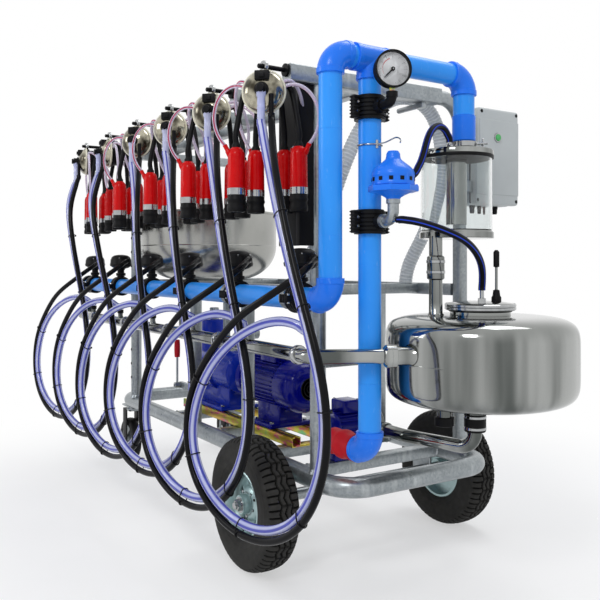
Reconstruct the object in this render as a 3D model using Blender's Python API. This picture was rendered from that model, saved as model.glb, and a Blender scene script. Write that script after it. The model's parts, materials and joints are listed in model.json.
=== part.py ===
"""Mobile bucketless milking machine on a tube trolley, six milking places.

Metres, +Z up. X runs along the trolley with the milk receiver at +X, the clusters hang on the -Y side,
and the origin lies on the ground under the middle of the machine.
"""

import math

import bmesh
import bpy
from mathutils import Matrix, Vector

# Fits
SEAT_GAP = 0.0003
RUN_GAP = 0.0006

# Stations
STATIONS = 6
HOOK_PITCH = 0.34
PLACE_PITCH = 0.375

# Trolley
AXLE_X = 0.47
TRACK = 0.81
BASE_TUBE_R = 0.03
BASE_Z = 0.30
BASE_HALF_WIDTH = 0.29
BASE_NEAR_X = 0.79
BASE_FAR_X = -1.03
BASE_CORNER_R = 0.10
SQUARE_TUBE = 0.04
BEND_STEPS = 3
LIGHT_TUBE = 0.036
CROSS_MEMBERS_X = (0.56, 0.30, -0.06, -0.46)
AXLE_TUBE_R = 0.019
AXLE_STUB_R = 0.0125
AXLE_PLATE_T = 0.012
AXLE_PLATE_HALF = 0.045
AXLE_PLATE_DROP = 0.03
AXLE_NUT_R = 0.021
AXLE_NUT_T = 0.014

# Road wheels
TYRE_R = 0.205
TYRE_HALF_W = 0.0575
BEAD_R = 0.107
BEAD_HALF_W = 0.044
TYRE_SHOULDER = 0.015
SHOULDER_IN = 0.006
TREAD_IN = 0.024
RIM_WALL = 0.008
RIM_DISC_T = 0.006
HUB_R = 0.03
HUB_HALF_L = 0.048
RIM_HOLES = 5
RIM_HOLE_R = 0.014
RIM_HOLE_CIRCLE = 0.066
WHEEL_SIDES = 20

# Castors
CASTOR_X = -0.97
CASTOR_Y = 0.265
CASTOR_R = 0.10
CASTOR_HALF_W = 0.021
CASTOR_TRAIL = 0.045
CASTOR_PIN_R = 0.006
CASTOR_HUB_R = 0.02
CASTOR_DISC_R = 0.065
CASTOR_PLATE_T = 0.008
CASTOR_PLATE_HALF_X = 0.05
CASTOR_PLATE_HALF_Y = 0.042
CASTOR_CROWN = 0.006
CASTOR_SIDES = 16
CASTOR_HEAD_R = 0.034
CASTOR_HEAD_T = 0.016
FORK_T = 0.006
FORK_WIDTH = 0.05
FORK_SIDE_GAP = 0.004

# Upper frame
HOOP_X = 0.66
FAR_HOOP_X = -0.87
POST_R = 0.024
TOP_BEAM = 0.05
TOP_Z = 1.50
HOOP_BEND_R = 0.085
BEAM_SHORT = 0.02
RECEIVER_BAR_DROP = 0.02
RECEIVER_SEAT_HALF = 0.11
RECEIVER_SEAT_BITE = 0.03
DUCT_HALF_X = 0.010
DUCT_Y = (-0.362, -0.295)
DUCT_LOW_Z = 1.0
ARM_END_Y = -0.40
RAIL_Y = -0.10
PEG_R = 0.007
PEG_LENGTH = 0.095
PEG_Z = TOP_Z + 0.008
SPIRAL_PEG_Y = 0.12
SPIRAL_PEG_Z = TOP_Z - 0.033
SPIRAL_PEG_R = 0.009
SPIRAL_PEG_LENGTH = 0.12

# Platform
PLATFORM_Z = 0.86
PLATFORM_POSTS_X = (0.225, -0.204)
PLATFORM_CROSS_X = (0.45, -0.53, -0.73)
BRACKET_T = 0.02
BRACKETS_X = (0.20, -0.18, -0.60)

# Wash tub
TUB_X = -0.63
TUB_Y = -0.03
TUB_R = 0.31
TUB_FOOT_R = 0.14
TUB_TOP_Z = 1.18
TUB_WALL_Z = 1.03
TUB_SHEET = 0.003
TUB_RIM = 0.009

# Vacuum pipes
PIPE_R = 0.0315
SOCKET_R = 0.0365
SOCKET_LENGTH = 0.058
ELBOW_BEND_R = 0.043
HEADER_X = 0.89
HEADER_Z = 1.505
RISER_Y = -0.405
REGULATOR_PIPE_Y = -0.274
TRAP_DROP_Y = 0.08
LINE_Z = 0.85
LINE_FAR_X = -1.23
SUCTION_Z = 0.43
STUB_LENGTH = 0.06
PIPE_SIDES = 8

# Pulsators
PULSATOR_X = 0.745
SADDLE_R = 0.043
SADDLE_HALF_L = 0.024
PULSATOR_NECK_R = 0.012
PULSATOR_BODY_R = 0.052
PULSATOR_BODY_Z = 0.93
PULSATOR_BODY_H = 0.06
PULSE_NIPPLE_R = 0.007
PULSE_NIPPLE_X = 0.064

# Gauge and regulator
GAUGE_X = 0.985
GAUGE_Z = 1.456
GAUGE_R = 0.05
GAUGE_DEPTH = 0.032
GAUGE_DIAL_DEPTH = 0.010
GAUGE_RING = 0.005
GAUGE_YAW = math.radians(-22.0)
GAUGE_SADDLE_Z = 1.37
NEEDLE_LENGTH = 0.034
NEEDLE_TAIL = 0.010
NEEDLE_HALF_W = 0.0022
NEEDLE_T = 0.0015
NEEDLE_HUB_R = 0.005
REGULATOR_X = 0.99
REGULATOR_R = 0.063
REGULATOR_BASE_Z = 1.115
REGULATOR_H = 0.127
REGULATOR_SADDLE_Z = 1.06
REGULATOR_WINDOWS = 6
BRANCH_R = 0.013

# Milk receiver
RECEIVER_X = 0.985
RECEIVER_Y = 0.05
RECEIVER_R = 0.27
RECEIVER_LOW_Z = 0.55
RECEIVER_TOP_Z = 0.80
RECEIVER_SHOULDER = 0.05
RECEIVER_CROWN = 0.62
RECEIVER_DISH = ((0.55, 0.22), (0.12, 0.7), (0.0, 1.25))
INLET_NECK = 0.045
NECK_WALL = 0.005
FLANGE_T = 0.015
OUTLET_IN = 0.02
OUTLET_DROP = 0.03
DRAIN_OFFSET = (-0.03, -0.11)
DRAIN_DROP = 0.05
DRAIN_CAP = (0.035, 0.06)
CAP_R = 0.027
RECEIVER_SIDES = 20
MANHOLE_R = 0.085
LID_R = 0.10
LID_H = 0.04
PROBE_R = 0.004
PROBE_TOP_Z = 0.986
PROBE_OFFSET = (0.015, 0.05)

# Moisture trap
TRAP_X = 0.91
TRAP_Y = 0.03
TRAP_R = 0.1025
TRAP_WALL = 0.005
TRAP_LOW_Z = 1.045
TRAP_TOP_Z = 1.25
TRAP_PLATE_R = 0.107
TRAP_PLATE_T = 0.025
FERRULE_R = 0.040
FERRULE_NECK = 0.02
FERRULE_LIP = 0.014
FERRULE_TOP_Z = 1.31
TRAP_PIPE_X = 0.92
TRAP_PIPE_Y = -0.06
TRAP_PIPE_R = 0.019
TRAP_SLEEVE_R = 0.025
TRAP_SLEEVE_Z = (0.905, 0.965)
SLEEVE_STEP = 0.005
TRAP_SIDES = 24
HOSE_TAIL_R = 0.006

# Milk line and delivery
MILK_PIPE_R = 0.02
MILK_LINE_Y = -0.45
MILK_LINE_Z = 0.70
MILK_STANDOFF_Y = -0.36
MILK_FAR_X = -1.23
MILK_TURN_X = 0.865
MILK_INLET_X = 0.87
MILK_HEEL = (0, 0.07, 0.03)
MILK_BEND_R = 0.045
MILK_RING_BACK = (0.075, 0.05)
INLET_R = 0.010
INLET_TOP_Z = 0.752
UNION_R = 0.031
DELIVERY_Z = 0.42
DELIVERY_END_X = 0.672
DELIVERY_END_Y = -0.03
DELIVERY_LEAD = 0.08
DELIVERY_BEND_R = 0.05
DELIVERY_SLEEVE = 0.05
MILK_PUMP_X = 0.56
MILK_PUMP_R = 0.065
MILK_PUMP_Z = 0.42
VOLUTE_HALF = 0.025
VOLUTE_WALL = 0.01
MILK_MOTOR_L = 0.16
MILK_FOOT_HALF = 0.018
MILK_FOOT_Y = (-0.14, -0.03)
MILK_TERMINAL_HALF = 0.035
MILK_TERMINAL_Y = (-0.12, -0.05)
MILK_TERMINAL_H = 0.028

# Vacuum pump set
RAIL_TOP_Z = 0.355
RAIL_WIDTH = 0.035
RAIL_OVERHANG = (0.03, 0.02)
RAIL_SPREAD = 0.07
RAIL_GROOVE = 0.008
RAIL_TIE_HALF = 0.02
RAIL_TIE_T = 0.006
FOOT_SPREAD = 0.085
FOOT_T = 0.016
WEB_HALF = 0.05
PUMP_SET_Y = -0.10
PUMP_SET_Z = 0.51
MOTOR_R = 0.0925
MOTOR_NEAR_X = 0.33
MOTOR_FAR_X = -0.08
MOTOR_FOOT = 0.16
MOTOR_FINS = 10
MOTOR_FIN_T = 0.004
MOTOR_FIN_H = 0.012
TERMINAL_ENDS = (0.02, 0.13)
TERMINAL_H = 0.035
PUMP_NEAR_X = -0.10
PUMP_FAR_X = -0.53
PUMP_R = 0.085
PUMP_FOOT = 0.30
PUMP_FOOT_IN = 0.04
TANK_IN = 0.10
TANK_R = 0.055
TANK_H = 0.20
EXHAUST_R = 0.02
EXHAUST_H = 0.25
PUMP_INLET_R = 0.024
PUMP_INLET_H = 0.15
PUMP_INLET_REACH = 0.10
PUMP_INLET_BEND = 0.04
LEVER_X = -0.565
LEVER_Y = -0.215
LEVER_Z = 0.415
LEVER_LENGTH = 0.20
LEVER_PIN_R = 0.005
LEVER_EYE_R = 0.013
LEVER_EYE_HALF = 0.012
LEVER_SHANK_R = 0.006
LEVER_GRIP_R = 0.013
CHEEK_HALF = 0.014
CHEEK_T = 0.018
CHEEK_ENDS = (0.02, 0.05)

# Control box
BOX_FRONT_X = 0.67
BOX_DEPTH = 0.12
BOX_Y = (0.37, 0.57)
BOX_Z = (TOP_Z - 0.345, TOP_Z - 0.01)
BOX_ROUND = 0.012
BOX_BRACKET_IN = (0.06, 0.08)
BOX_LID_DEPTH = 0.04
BOX_SEAM = 0.003
GLANDS = 3
GLAND_PITCH = 0.05
GLAND_R = 0.012
GLAND_DROP = 0.028
BUTTON_Y = 0.4585
BUTTON_Z = TOP_Z - 0.111
BUTTON_R = 0.012
BUTTON_OUT = 0.010
BUTTON_TRAVEL = 0.004
BUTTON_COLLAR_R = 0.017
BUTTON_COLLAR_OUT = 0.006
BUTTON_WELL = 0.012

# Clusters
CLAW_Y = -0.475
CLAW_Z = PEG_Z - 0.073
CLAW_R = 0.060
CLAW_RIM_R = 0.064
CLAW_BACK = 0.045
CLAW_BOSS_R = 0.016
CLAW_BLOCK_HALF = (0.016, 0.012, 0.012)
CLAW_BLOCK_AT = (0.024, 0.045)
RING_R = 0.017
RING_HALF = 0.006
LUG_HALF = 0.008
PULSE_TAIL_L = 0.05
PULSE_BACK = 0.012
PULSE_RAISE = 0.02
CLAW_YAWS = tuple(math.radians(a) for a in (50.0, 48.0, 46.0, 44.0, -8.0, -14.0))
CUP_PLACES = ((-0.085, 0.02), (-0.040, 0.085), (0.045, 0.085), (0.097, 0.02))
CUP_TOP_Z = -0.150
CUP_LENGTH = 0.19
CUP_NECK_R = 0.0115
CUP_SHOULDER = 0.024
SHELL_LENGTH = 0.14
SHELL_R = 0.0245
LINER_R = 0.027
LINER_BORE_R = 0.0125
LINER_DEPTH = 0.08
MILK_TUBE_R = 0.0085
NOZZLE_R = 0.011
NOZZLE_OUT = 0.058
NOZZLE_DROP = 0.088
VALVE_R = 0.012
VALVE_T = 0.009
VALVE_STEM_R = 0.005
VALVE_TRAVEL = 0.008
VALVE_STEM_L = 0.018

# Hoses
MILK_HOSE_R = 0.013
PULSE_HOSE_R = 0.010
BUNDLE_PITCH = 0.027
HOSE_STEP = 0.15
HOSE_LEAD = 0.025
CURVE_STEPS = 24
SPIRAL_HOSE_R = 0.024
STRIPED_HOSE_R = 0.010

# Route of the first milk hose below its claw, as (X, Y, Z)
LOOP_ROUTE = (
    (0.744, -0.516, 1.250),
    (0.812, -0.528, 1.120),
    (0.869, -0.532, 0.990),
    (0.921, -0.528, 0.880),
    (0.975, -0.530, 0.770),
    (1.030, -0.530, 0.655),
    (1.052, -0.532, 0.530),
    (1.025, -0.537, 0.410),
    (0.945, -0.548, 0.300),
    (0.800, -0.568, 0.240),
    (0.640, -0.592, 0.255),
    (0.520, -0.610, 0.330),
    (0.475, -0.618, 0.430),
    (0.500, -0.615, 0.540),
    (0.575, -0.604, 0.655),
    (0.680, -0.572, 0.748),
    (0.775, -0.522, 0.798),
    (0.842, -0.472, 0.804),
)
# The route point where the descent ends
LOOP_TURN = 4
# Shift of the upper route at the claws that face the front, as (X, Y)
FRONT_LEAN = (-0.06, -0.055)
# The route point after which the pulse hose leaves the milk hose
PULSE_LEAVES = 14
# How far each loop hangs below the first one
LOOP_DROPS = (0.0, 0.02, 0.0, 0.03, 0.01, -0.01)
# Last stretch of the pulse hose, as (X from the pulsator, Y, Z)
PULSE_TAIL = (
    (-0.045, -0.585, 0.800),
    (0.040, -0.560, 0.842),
    (0.112, -0.510, 0.897),
    (0.126, -0.445, 0.946),
)
SPIRAL_ROUTE = (
    (0.450, -0.190, 0.8793),
    (0.450, -0.190, 0.915),
    (0.490, -0.180, 1.020),
    (0.545, -0.160, 1.150),
    (0.575, -0.120, 1.290),
    (0.580, -0.050, TOP_Z - 0.090),
    (0.585, 0.040, TOP_Z - 0.015),
    (0.585, 0.130, TOP_Z + 0.008),
    (0.585, 0.220, TOP_Z - 0.025),
    (0.580, 0.275, TOP_Z - 0.120),
    (0.570, 0.285, 1.240),
    (0.530, 0.260, 1.080),
    (0.470, 0.235, 0.960),
    (0.450, 0.230, 0.915),
    (0.450, 0.230, 0.8793),
)
# Regulator to trap lid
TRAP_HOSE_ROUTE = (
    (0.9850, -0.2000, 1.1850),
    (0.9850, -0.1800, 1.2000),
    (0.9830, -0.1600, 1.2450),
    (0.9740, -0.1380, 1.3000),
    (0.9600, -0.0950, 1.3360),
    (0.9490, -0.0510, 1.3330),
    (0.9450, -0.0300, 1.3150),
    (0.9450, -0.0300, 1.2923),
)
# Regulator branch to receiver lid
RECEIVER_HOSE_ROUTE = (
    (1.0153, -0.2740, 1.0600),
    (1.0350, -0.2740, 1.0600),
    (1.0800, -0.2600, 1.0520),
    (1.1050, -0.2050, 1.0320),
    (1.1050, -0.1250, 1.0060),
    (1.0800, -0.0500, 0.9620),
    (1.0480, -0.0030, 0.9150),
    (1.0350, 0.0050, 0.8950),
    (1.0350, 0.0050, 0.8723),
)

COLOURS = {
    "galvanised": ((0.62, 0.66, 0.67), 0.42, 0.9),
    "stainless": ((0.72, 0.73, 0.74), 0.16, 1.0),
    "zinc": ((0.66, 0.70, 0.72), 0.35, 0.9),
    "yellow_zinc": ((0.70, 0.60, 0.28), 0.32, 0.9),
    "black_steel": ((0.03, 0.03, 0.035), 0.5, 0.4),
    "black_rubber": ((0.012, 0.012, 0.014), 0.6, 0.0),
    "tyre": ((0.02, 0.02, 0.021), 0.8, 0.0),
    "pipe_blue": ((0.04, 0.27, 0.86), 0.35, 0.0),
    "motor_blue": ((0.01, 0.02, 0.28), 0.35, 0.1),
    "pump_blue": ((0.01, 0.10, 0.62), 0.35, 0.1),
    "red_rubber": ((0.60, 0.02, 0.02), 0.4, 0.0),
    "cup_red": ((0.62, 0.01, 0.01), 0.3, 0.0),
    "claw": ((0.70, 0.66, 0.52), 0.25, 0.4),
    "clear": ((0.82, 0.86, 0.92), 0.1, 0.0),
    "box_grey": ((0.50, 0.54, 0.54), 0.5, 0.0),
    "button_green": ((0.02, 0.45, 0.08), 0.3, 0.0),
}


def clear_scene():
    for thing in list(bpy.data.objects):
        bpy.data.objects.remove(thing, do_unlink=True)


def material(name):
    found = bpy.data.materials.get(name)
    if found:
        return found
    colour, roughness, metallic = COLOURS[name]
    made = bpy.data.materials.new(name)
    made.use_nodes = True
    shader = made.node_tree.nodes["Principled BSDF"]
    shader.inputs["Base Color"].default_value = (*colour, 1.0)
    shader.inputs["Roughness"].default_value = roughness
    shader.inputs["Metallic"].default_value = metallic
    return made


# Solids in world coordinates

def as_object(bm):
    """Turn a bmesh into a scene object with its faces pointing out."""
    bmesh.ops.recalc_face_normals(bm, faces=bm.faces)
    mesh = bpy.data.meshes.new("solid")
    bm.to_mesh(mesh)
    bm.free()
    made = bpy.data.objects.new("solid", mesh)
    bpy.context.scene.collection.objects.link(made)
    return made


def box(low, high):
    bm = bmesh.new()
    bmesh.ops.create_cube(bm, size=1.0)
    size = Vector(high) - Vector(low)
    middle = (Vector(high) + Vector(low)) / 2
    bm.transform(Matrix.Translation(middle) @ Matrix.Diagonal((*size, 1.0)))
    return as_object(bm)


def rounded_box(low, high, radius, steps=2):
    made = box(low, high)
    bm = bmesh.new()
    bm.from_mesh(made.data)
    bmesh.ops.bevel(bm, geom=bm.edges, offset=radius, segments=steps, affect="EDGES", profile=0.5)
    bmesh.ops.recalc_face_normals(bm, faces=bm.faces)
    bm.to_mesh(made.data)
    bm.free()
    return made


def turned(profile, foot, axis, sides, ring=False):
    """Revolve (radius, height) points about the line through foot along axis; a ring joins last to first."""
    axis = Vector(axis).normalized()
    turn = axis.to_track_quat("Z", "Y").to_matrix()
    bm = bmesh.new()
    rows = []
    for radius, height in profile:
        row = []
        for step in range(sides):
            angle = 2 * math.pi * step / sides
            local = Vector((radius * math.cos(angle), radius * math.sin(angle), height))
            row.append(bm.verts.new(Vector(foot) + turn @ local))
        rows.append(row)
    pairs = list(zip(rows, rows[1:]))
    if ring:
        pairs.append((rows[-1], rows[0]))
    for low, high in pairs:
        for step in range(sides):
            after = (step + 1) % sides
            bm.faces.new((low[step], low[after], high[after], high[step]))
    if not ring:
        bm.faces.new(rows[0])
        bm.faces.new(rows[-1])
    return as_object(bm)


def rod(start, end, radius, sides=PIPE_SIDES):
    length = (Vector(end) - Vector(start)).length
    return turned(((radius, 0.0), (radius, length)), start, Vector(end) - Vector(start), sides)


def rounded_path(corners, radius, steps=4):
    """Points of a pipe centre line whose inner corners are arcs of one radius."""
    corners = [Vector(c) for c in corners]
    points = [corners[0]]
    for before, corner, after in zip(corners, corners[1:], corners[2:]):
        back = (before - corner).normalized()
        ahead = (after - corner).normalized()
        half = back.angle(ahead) / 2
        reach = radius / math.tan(half)
        centre = corner + (back + ahead).normalized() * radius / math.sin(half)
        start = corner + back * reach - centre
        end = corner + ahead * reach - centre
        for step in range(steps + 1):
            share = step / steps
            points.append(centre + start.slerp(end, share) * radius / start.slerp(end, share).length)
    points.append(corners[-1])
    return points


def swept(points, radius, sides=PIPE_SIDES, closed=False):
    """A round bar along points, its rings carried from one to the next without twist."""
    points = [Vector(p) for p in points]
    count = len(points)
    bm = bmesh.new()
    rows = []
    side = None
    for index, point in enumerate(points):
        before = points[index - 1] if index or closed else point
        after = points[(index + 1) % count] if index + 1 < count or closed else point
        along = (after - before).normalized()
        if side is None:
            side = along.orthogonal().normalized() if abs(along.z) > 0.9 else along.cross(Vector((0, 0, 1)))
        side = (side - along * side.dot(along)).normalized()
        other = along.cross(side)
        angles = [2 * math.pi * step / sides for step in range(sides)]
        offsets = [math.cos(a) * side + math.sin(a) * other for a in angles]
        rows.append([bm.verts.new(point + radius * offset) for offset in offsets])
    pairs = list(zip(rows, rows[1:]))
    if closed:
        pairs.append((rows[-1], rows[0]))
    for low, high in pairs:
        for step in range(sides):
            after = (step + 1) % sides
            bm.faces.new((low[step], low[after], high[after], high[step]))
    if not closed:
        bm.faces.new(rows[0])
        bm.faces.new(rows[-1])
    return as_object(bm)


def combine(base, others, operation):
    for other in others:
        step = base.modifiers.new(operation, "BOOLEAN")
        step.operation = operation
        step.solver = "EXACT"
        step.object = other
        with bpy.context.temp_override(object=base, active_object=base):
            bpy.ops.object.modifier_apply(modifier=step.name)
        bpy.data.objects.remove(other, do_unlink=True)
    return base


def merge_flat_faces(mesh):
    """Join the coplanar pieces that a Boolean leaves on a flat face."""
    bm = bmesh.new()
    bm.from_mesh(mesh)
    bmesh.ops.dissolve_limit(bm, angle_limit=math.radians(0.3), verts=bm.verts, edges=bm.edges)
    bm.to_mesh(mesh)
    bm.free()


def fuse(base, *others):
    return combine(base, others, "UNION")


def cut(base, *others):
    return combine(base, others, "DIFFERENCE")


def node(name, solid, colour, origin=(0.0, 0.0, 0.0), parent=None):
    """Name a solid, give it its material, and put its own origin where it turns or sits."""
    merge_flat_faces(solid.data)
    solid.name = name
    solid.data.name = name
    solid.data.transform(Matrix.Translation(-Vector(origin)))
    solid.location = origin
    solid.data.materials.clear()
    solid.data.materials.append(material(colour))
    solid.data.shade_smooth()
    solid.data.set_sharp_from_angle(angle=math.radians(35.0))
    if parent:
        solid.parent = parent
        solid.location = Vector(origin) - parent.location
    return solid


def pivot(name, place):
    made = bpy.data.objects.new(name, None)
    made.location = place
    bpy.context.scene.collection.objects.link(made)
    return made


# Hoses

def smooth_route(route, spacing):
    """Evenly spaced points on the Catmull-Rom curve through the route, with a straight lead at each end."""
    route = [Vector(p) for p in route]
    fine = []
    for a, b, c, d in zip(route, route[1:], route[2:], route[3:]):
        for step in range(CURVE_STEPS):
            t = step / CURVE_STEPS
            bend = (2 * a - 5 * b + 4 * c - d) * t**2 + (3 * b - a - 3 * c + d) * t**3
            fine.append(0.5 * (2 * b + (c - a) * t + bend))
    fine.append(route[-2])
    lengths = [0.0]
    for before, after in zip(fine, fine[1:]):
        lengths.append(lengths[-1] + (after - before).length)
    pieces = max(2, round(lengths[-1] / spacing))
    points = []
    index = 0
    for piece in range(pieces + 1):
        want = lengths[-1] * piece / pieces
        while index + 2 < len(fine) and lengths[index + 1] < want:
            index += 1
        share = (want - lengths[index]) / (lengths[index + 1] - lengths[index])
        points.append(fine[index].lerp(fine[index + 1], min(1.0, share)))
    return [route[0], *points, route[-1]]


def hose(name, points, radius, colour):
    data = bpy.data.curves.new(name, "CURVE")
    data.dimensions = "3D"
    data.bevel_depth = radius
    data.bevel_resolution = 2
    data.use_fill_caps = True
    line = data.splines.new("POLY")
    line.points.add(len(points) - 1)
    for slot, point in zip(line.points, points):
        slot.co = (*point, 1.0)
    data.materials.append(material(colour))
    made = bpy.data.objects.new(name, data)
    bpy.context.scene.collection.objects.link(made)
    return made


# Trolley

def base_frame():
    corners = [
        (BASE_NEAR_X, -BASE_HALF_WIDTH, BASE_Z),
        (BASE_NEAR_X, BASE_HALF_WIDTH, BASE_Z),
        (BASE_FAR_X, BASE_HALF_WIDTH, BASE_Z),
        (BASE_FAR_X, -BASE_HALF_WIDTH, BASE_Z),
    ]
    around = rounded_path([corners[-1], *corners, corners[0]], BASE_CORNER_R, BEND_STEPS)[1:-1]
    solid = swept(around, BASE_TUBE_R, closed=True)
    half = SQUARE_TUBE / 2
    for place in CROSS_MEMBERS_X:
        solid = fuse(solid, box((place - half, -BASE_HALF_WIDTH, BASE_Z - half),
                                (place + half, BASE_HALF_WIDTH, BASE_Z + half)))
    hub_face = TRACK / 2 - HUB_HALF_L - SEAT_GAP
    nut_face = TRACK / 2 + HUB_HALF_L + SEAT_GAP
    axle = rod((AXLE_X, -hub_face, TYRE_R), (AXLE_X, hub_face, TYRE_R), AXLE_TUBE_R)
    stub_end = nut_face + AXLE_NUT_T
    axle = fuse(axle, rod((AXLE_X, -stub_end, TYRE_R), (AXLE_X, stub_end, TYRE_R), AXLE_STUB_R))
    for side in (-1, 1):
        nut = rod((AXLE_X, side * nut_face, TYRE_R), (AXLE_X, side * stub_end, TYRE_R), AXLE_NUT_R, 6)
        plate = box((AXLE_X - AXLE_PLATE_HALF, side * BASE_HALF_WIDTH - AXLE_PLATE_T / 2,
                     TYRE_R - AXLE_PLATE_DROP),
                    (AXLE_X + AXLE_PLATE_HALF, side * BASE_HALF_WIDTH + AXLE_PLATE_T / 2, BASE_Z))
        axle = fuse(axle, nut, plate)
    solid = fuse(solid, axle)
    plate_low = BASE_Z - BASE_TUBE_R - CASTOR_PLATE_T / 2
    for side in (-1, 1):
        solid = fuse(solid, box((CASTOR_X - CASTOR_PLATE_HALF_X, side * CASTOR_Y - CASTOR_PLATE_HALF_Y,
                                 plate_low),
                                (CASTOR_X + CASTOR_PLATE_HALF_X, side * CASTOR_Y + CASTOR_PLATE_HALF_Y,
                                 plate_low + CASTOR_PLATE_T)))
    return node("base_frame", solid, "galvanised")


def tyre(side_name, side, parent):
    shoulder = TYRE_R - TYRE_SHOULDER
    wall = (TYRE_R + BEAD_R) / 2
    half = [(BEAD_R, BEAD_HALF_W), (wall, TYRE_HALF_W), (shoulder, TYRE_HALF_W - SHOULDER_IN),
            (TYRE_R, TYRE_HALF_W - TREAD_IN)]
    profile = half + [(r, -h) for r, h in reversed(half)]
    place = (AXLE_X, side * TRACK / 2, TYRE_R)
    solid = turned(profile, place, (0, 1, 0), WHEEL_SIDES, ring=True)
    return node(f"tyre_{side_name}", solid, "tyre", place, parent)


def rim(side_name, side, parent):
    outer = BEAD_R - SEAT_GAP
    inner = outer - RIM_WALL
    disc = RIM_DISC_T / 2
    bore = AXLE_STUB_R + RUN_GAP
    profile = [
        (bore, -HUB_HALF_L), (HUB_R, -HUB_HALF_L), (HUB_R, -disc), (inner, -disc), (inner, -BEAD_HALF_W),
        (outer, -BEAD_HALF_W), (outer, BEAD_HALF_W), (inner, BEAD_HALF_W), (inner, disc), (HUB_R, disc),
        (HUB_R, HUB_HALF_L), (bore, HUB_HALF_L),
    ]
    place = Vector((AXLE_X, side * TRACK / 2, TYRE_R))
    solid = turned(profile, place, (0, 1, 0), WHEEL_SIDES, ring=True)
    for hole in range(RIM_HOLES):
        angle = 2 * math.pi * (hole + 0.5) / RIM_HOLES
        at = place + RIM_HOLE_CIRCLE * Vector((math.cos(angle), 0, math.sin(angle)))
        reach = Vector((0, RIM_DISC_T * 2, 0))
        solid = cut(solid, rod(at - reach, at + reach, RIM_HOLE_R, 8))
    return node(f"rim_{side_name}", solid, "zinc", place, parent)


def road_wheels():
    for side_name, side in (("left", -1), ("right", 1)):
        hub = pivot(f"wheel_{side_name}_axis", (AXLE_X, side * TRACK / 2, TYRE_R))
        tyre(side_name, side, hub)
        rim(side_name, side, hub)


def castor(side_name, side):
    plate_low = BASE_Z - BASE_TUBE_R - CASTOR_PLATE_T / 2
    head_top = plate_low - SEAT_GAP
    top = Vector((CASTOR_X, side * CASTOR_Y, head_top))
    axle = Vector((CASTOR_X - CASTOR_TRAIL, side * CASTOR_Y, CASTOR_R))
    inner = CASTOR_HALF_W + FORK_SIDE_GAP
    outer = inner + FORK_T
    crown_z = head_top - CASTOR_HEAD_T
    solid = rod(top - Vector((0, 0, CASTOR_HEAD_T + FORK_T)), top, CASTOR_HEAD_R)
    crown = box((axle.x - FORK_WIDTH / 2, top.y - outer, crown_z - FORK_T),
                (top.x + FORK_WIDTH / 2, top.y + outer, crown_z))
    solid = fuse(solid, crown)
    for edge in (-1, 1):
        near, far = sorted((top.y + edge * inner, top.y + edge * outer))
        leg = box((axle.x - FORK_WIDTH / 2, near, axle.z - FORK_WIDTH / 2),
                  (axle.x + FORK_WIDTH / 2, far, crown_z))
        solid = fuse(solid, leg)
    pin = rod(axle - Vector((0, outer + FORK_T, 0)), axle + Vector((0, outer + FORK_T, 0)), CASTOR_PIN_R,
              10)
    solid = fuse(solid, pin)
    swivel = pivot(f"castor_{side_name}_swivel", top)
    node(f"castor_fork_{side_name}", solid, "black_steel", top, swivel)
    bore = CASTOR_PIN_R + RUN_GAP
    half = CASTOR_HALF_W
    tread = CASTOR_R - CASTOR_CROWN
    hub_half = inner - SEAT_GAP
    profile = [
        (bore, -hub_half), (CASTOR_HUB_R, -hub_half), (CASTOR_DISC_R, -half), (tread, -half), (CASTOR_R,
                                                                                               -half * 0.5),
        (CASTOR_R, half * 0.5), (tread, half), (CASTOR_DISC_R, half), (CASTOR_HUB_R, hub_half), (bore,
                                                                                                 hub_half),
    ]
    wheel = turned(profile, axle, (0, 1, 0), CASTOR_SIDES, ring=True)
    node(f"castor_wheel_{side_name}", wheel, "tyre", axle, swivel)


# Upper frame

def clear_radius(radius, sides=PIPE_SIDES):
    """Corner radius of a faceted hole whose flats clear a round bar of this radius."""
    return (radius + SEAT_GAP) / math.cos(math.pi / sides)


def coped(post, x, y):
    """Shape a post's foot to the round base tube that it stands on."""
    reach = BASE_TUBE_R * 2
    return cut(post, rod((x - reach, y, BASE_Z), (x + reach, y, BASE_Z), clear_radius(BASE_TUBE_R)))


def hook_x(station):
    return HOOP_X - HOOK_PITCH * station


def hanger_peg(x):
    """Peg in the end of an arm, for the ring of one cluster."""
    return rod((x, ARM_END_Y + PEG_R, PEG_Z), (x, ARM_END_Y - PEG_LENGTH, PEG_Z), PEG_R, 8)


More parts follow.
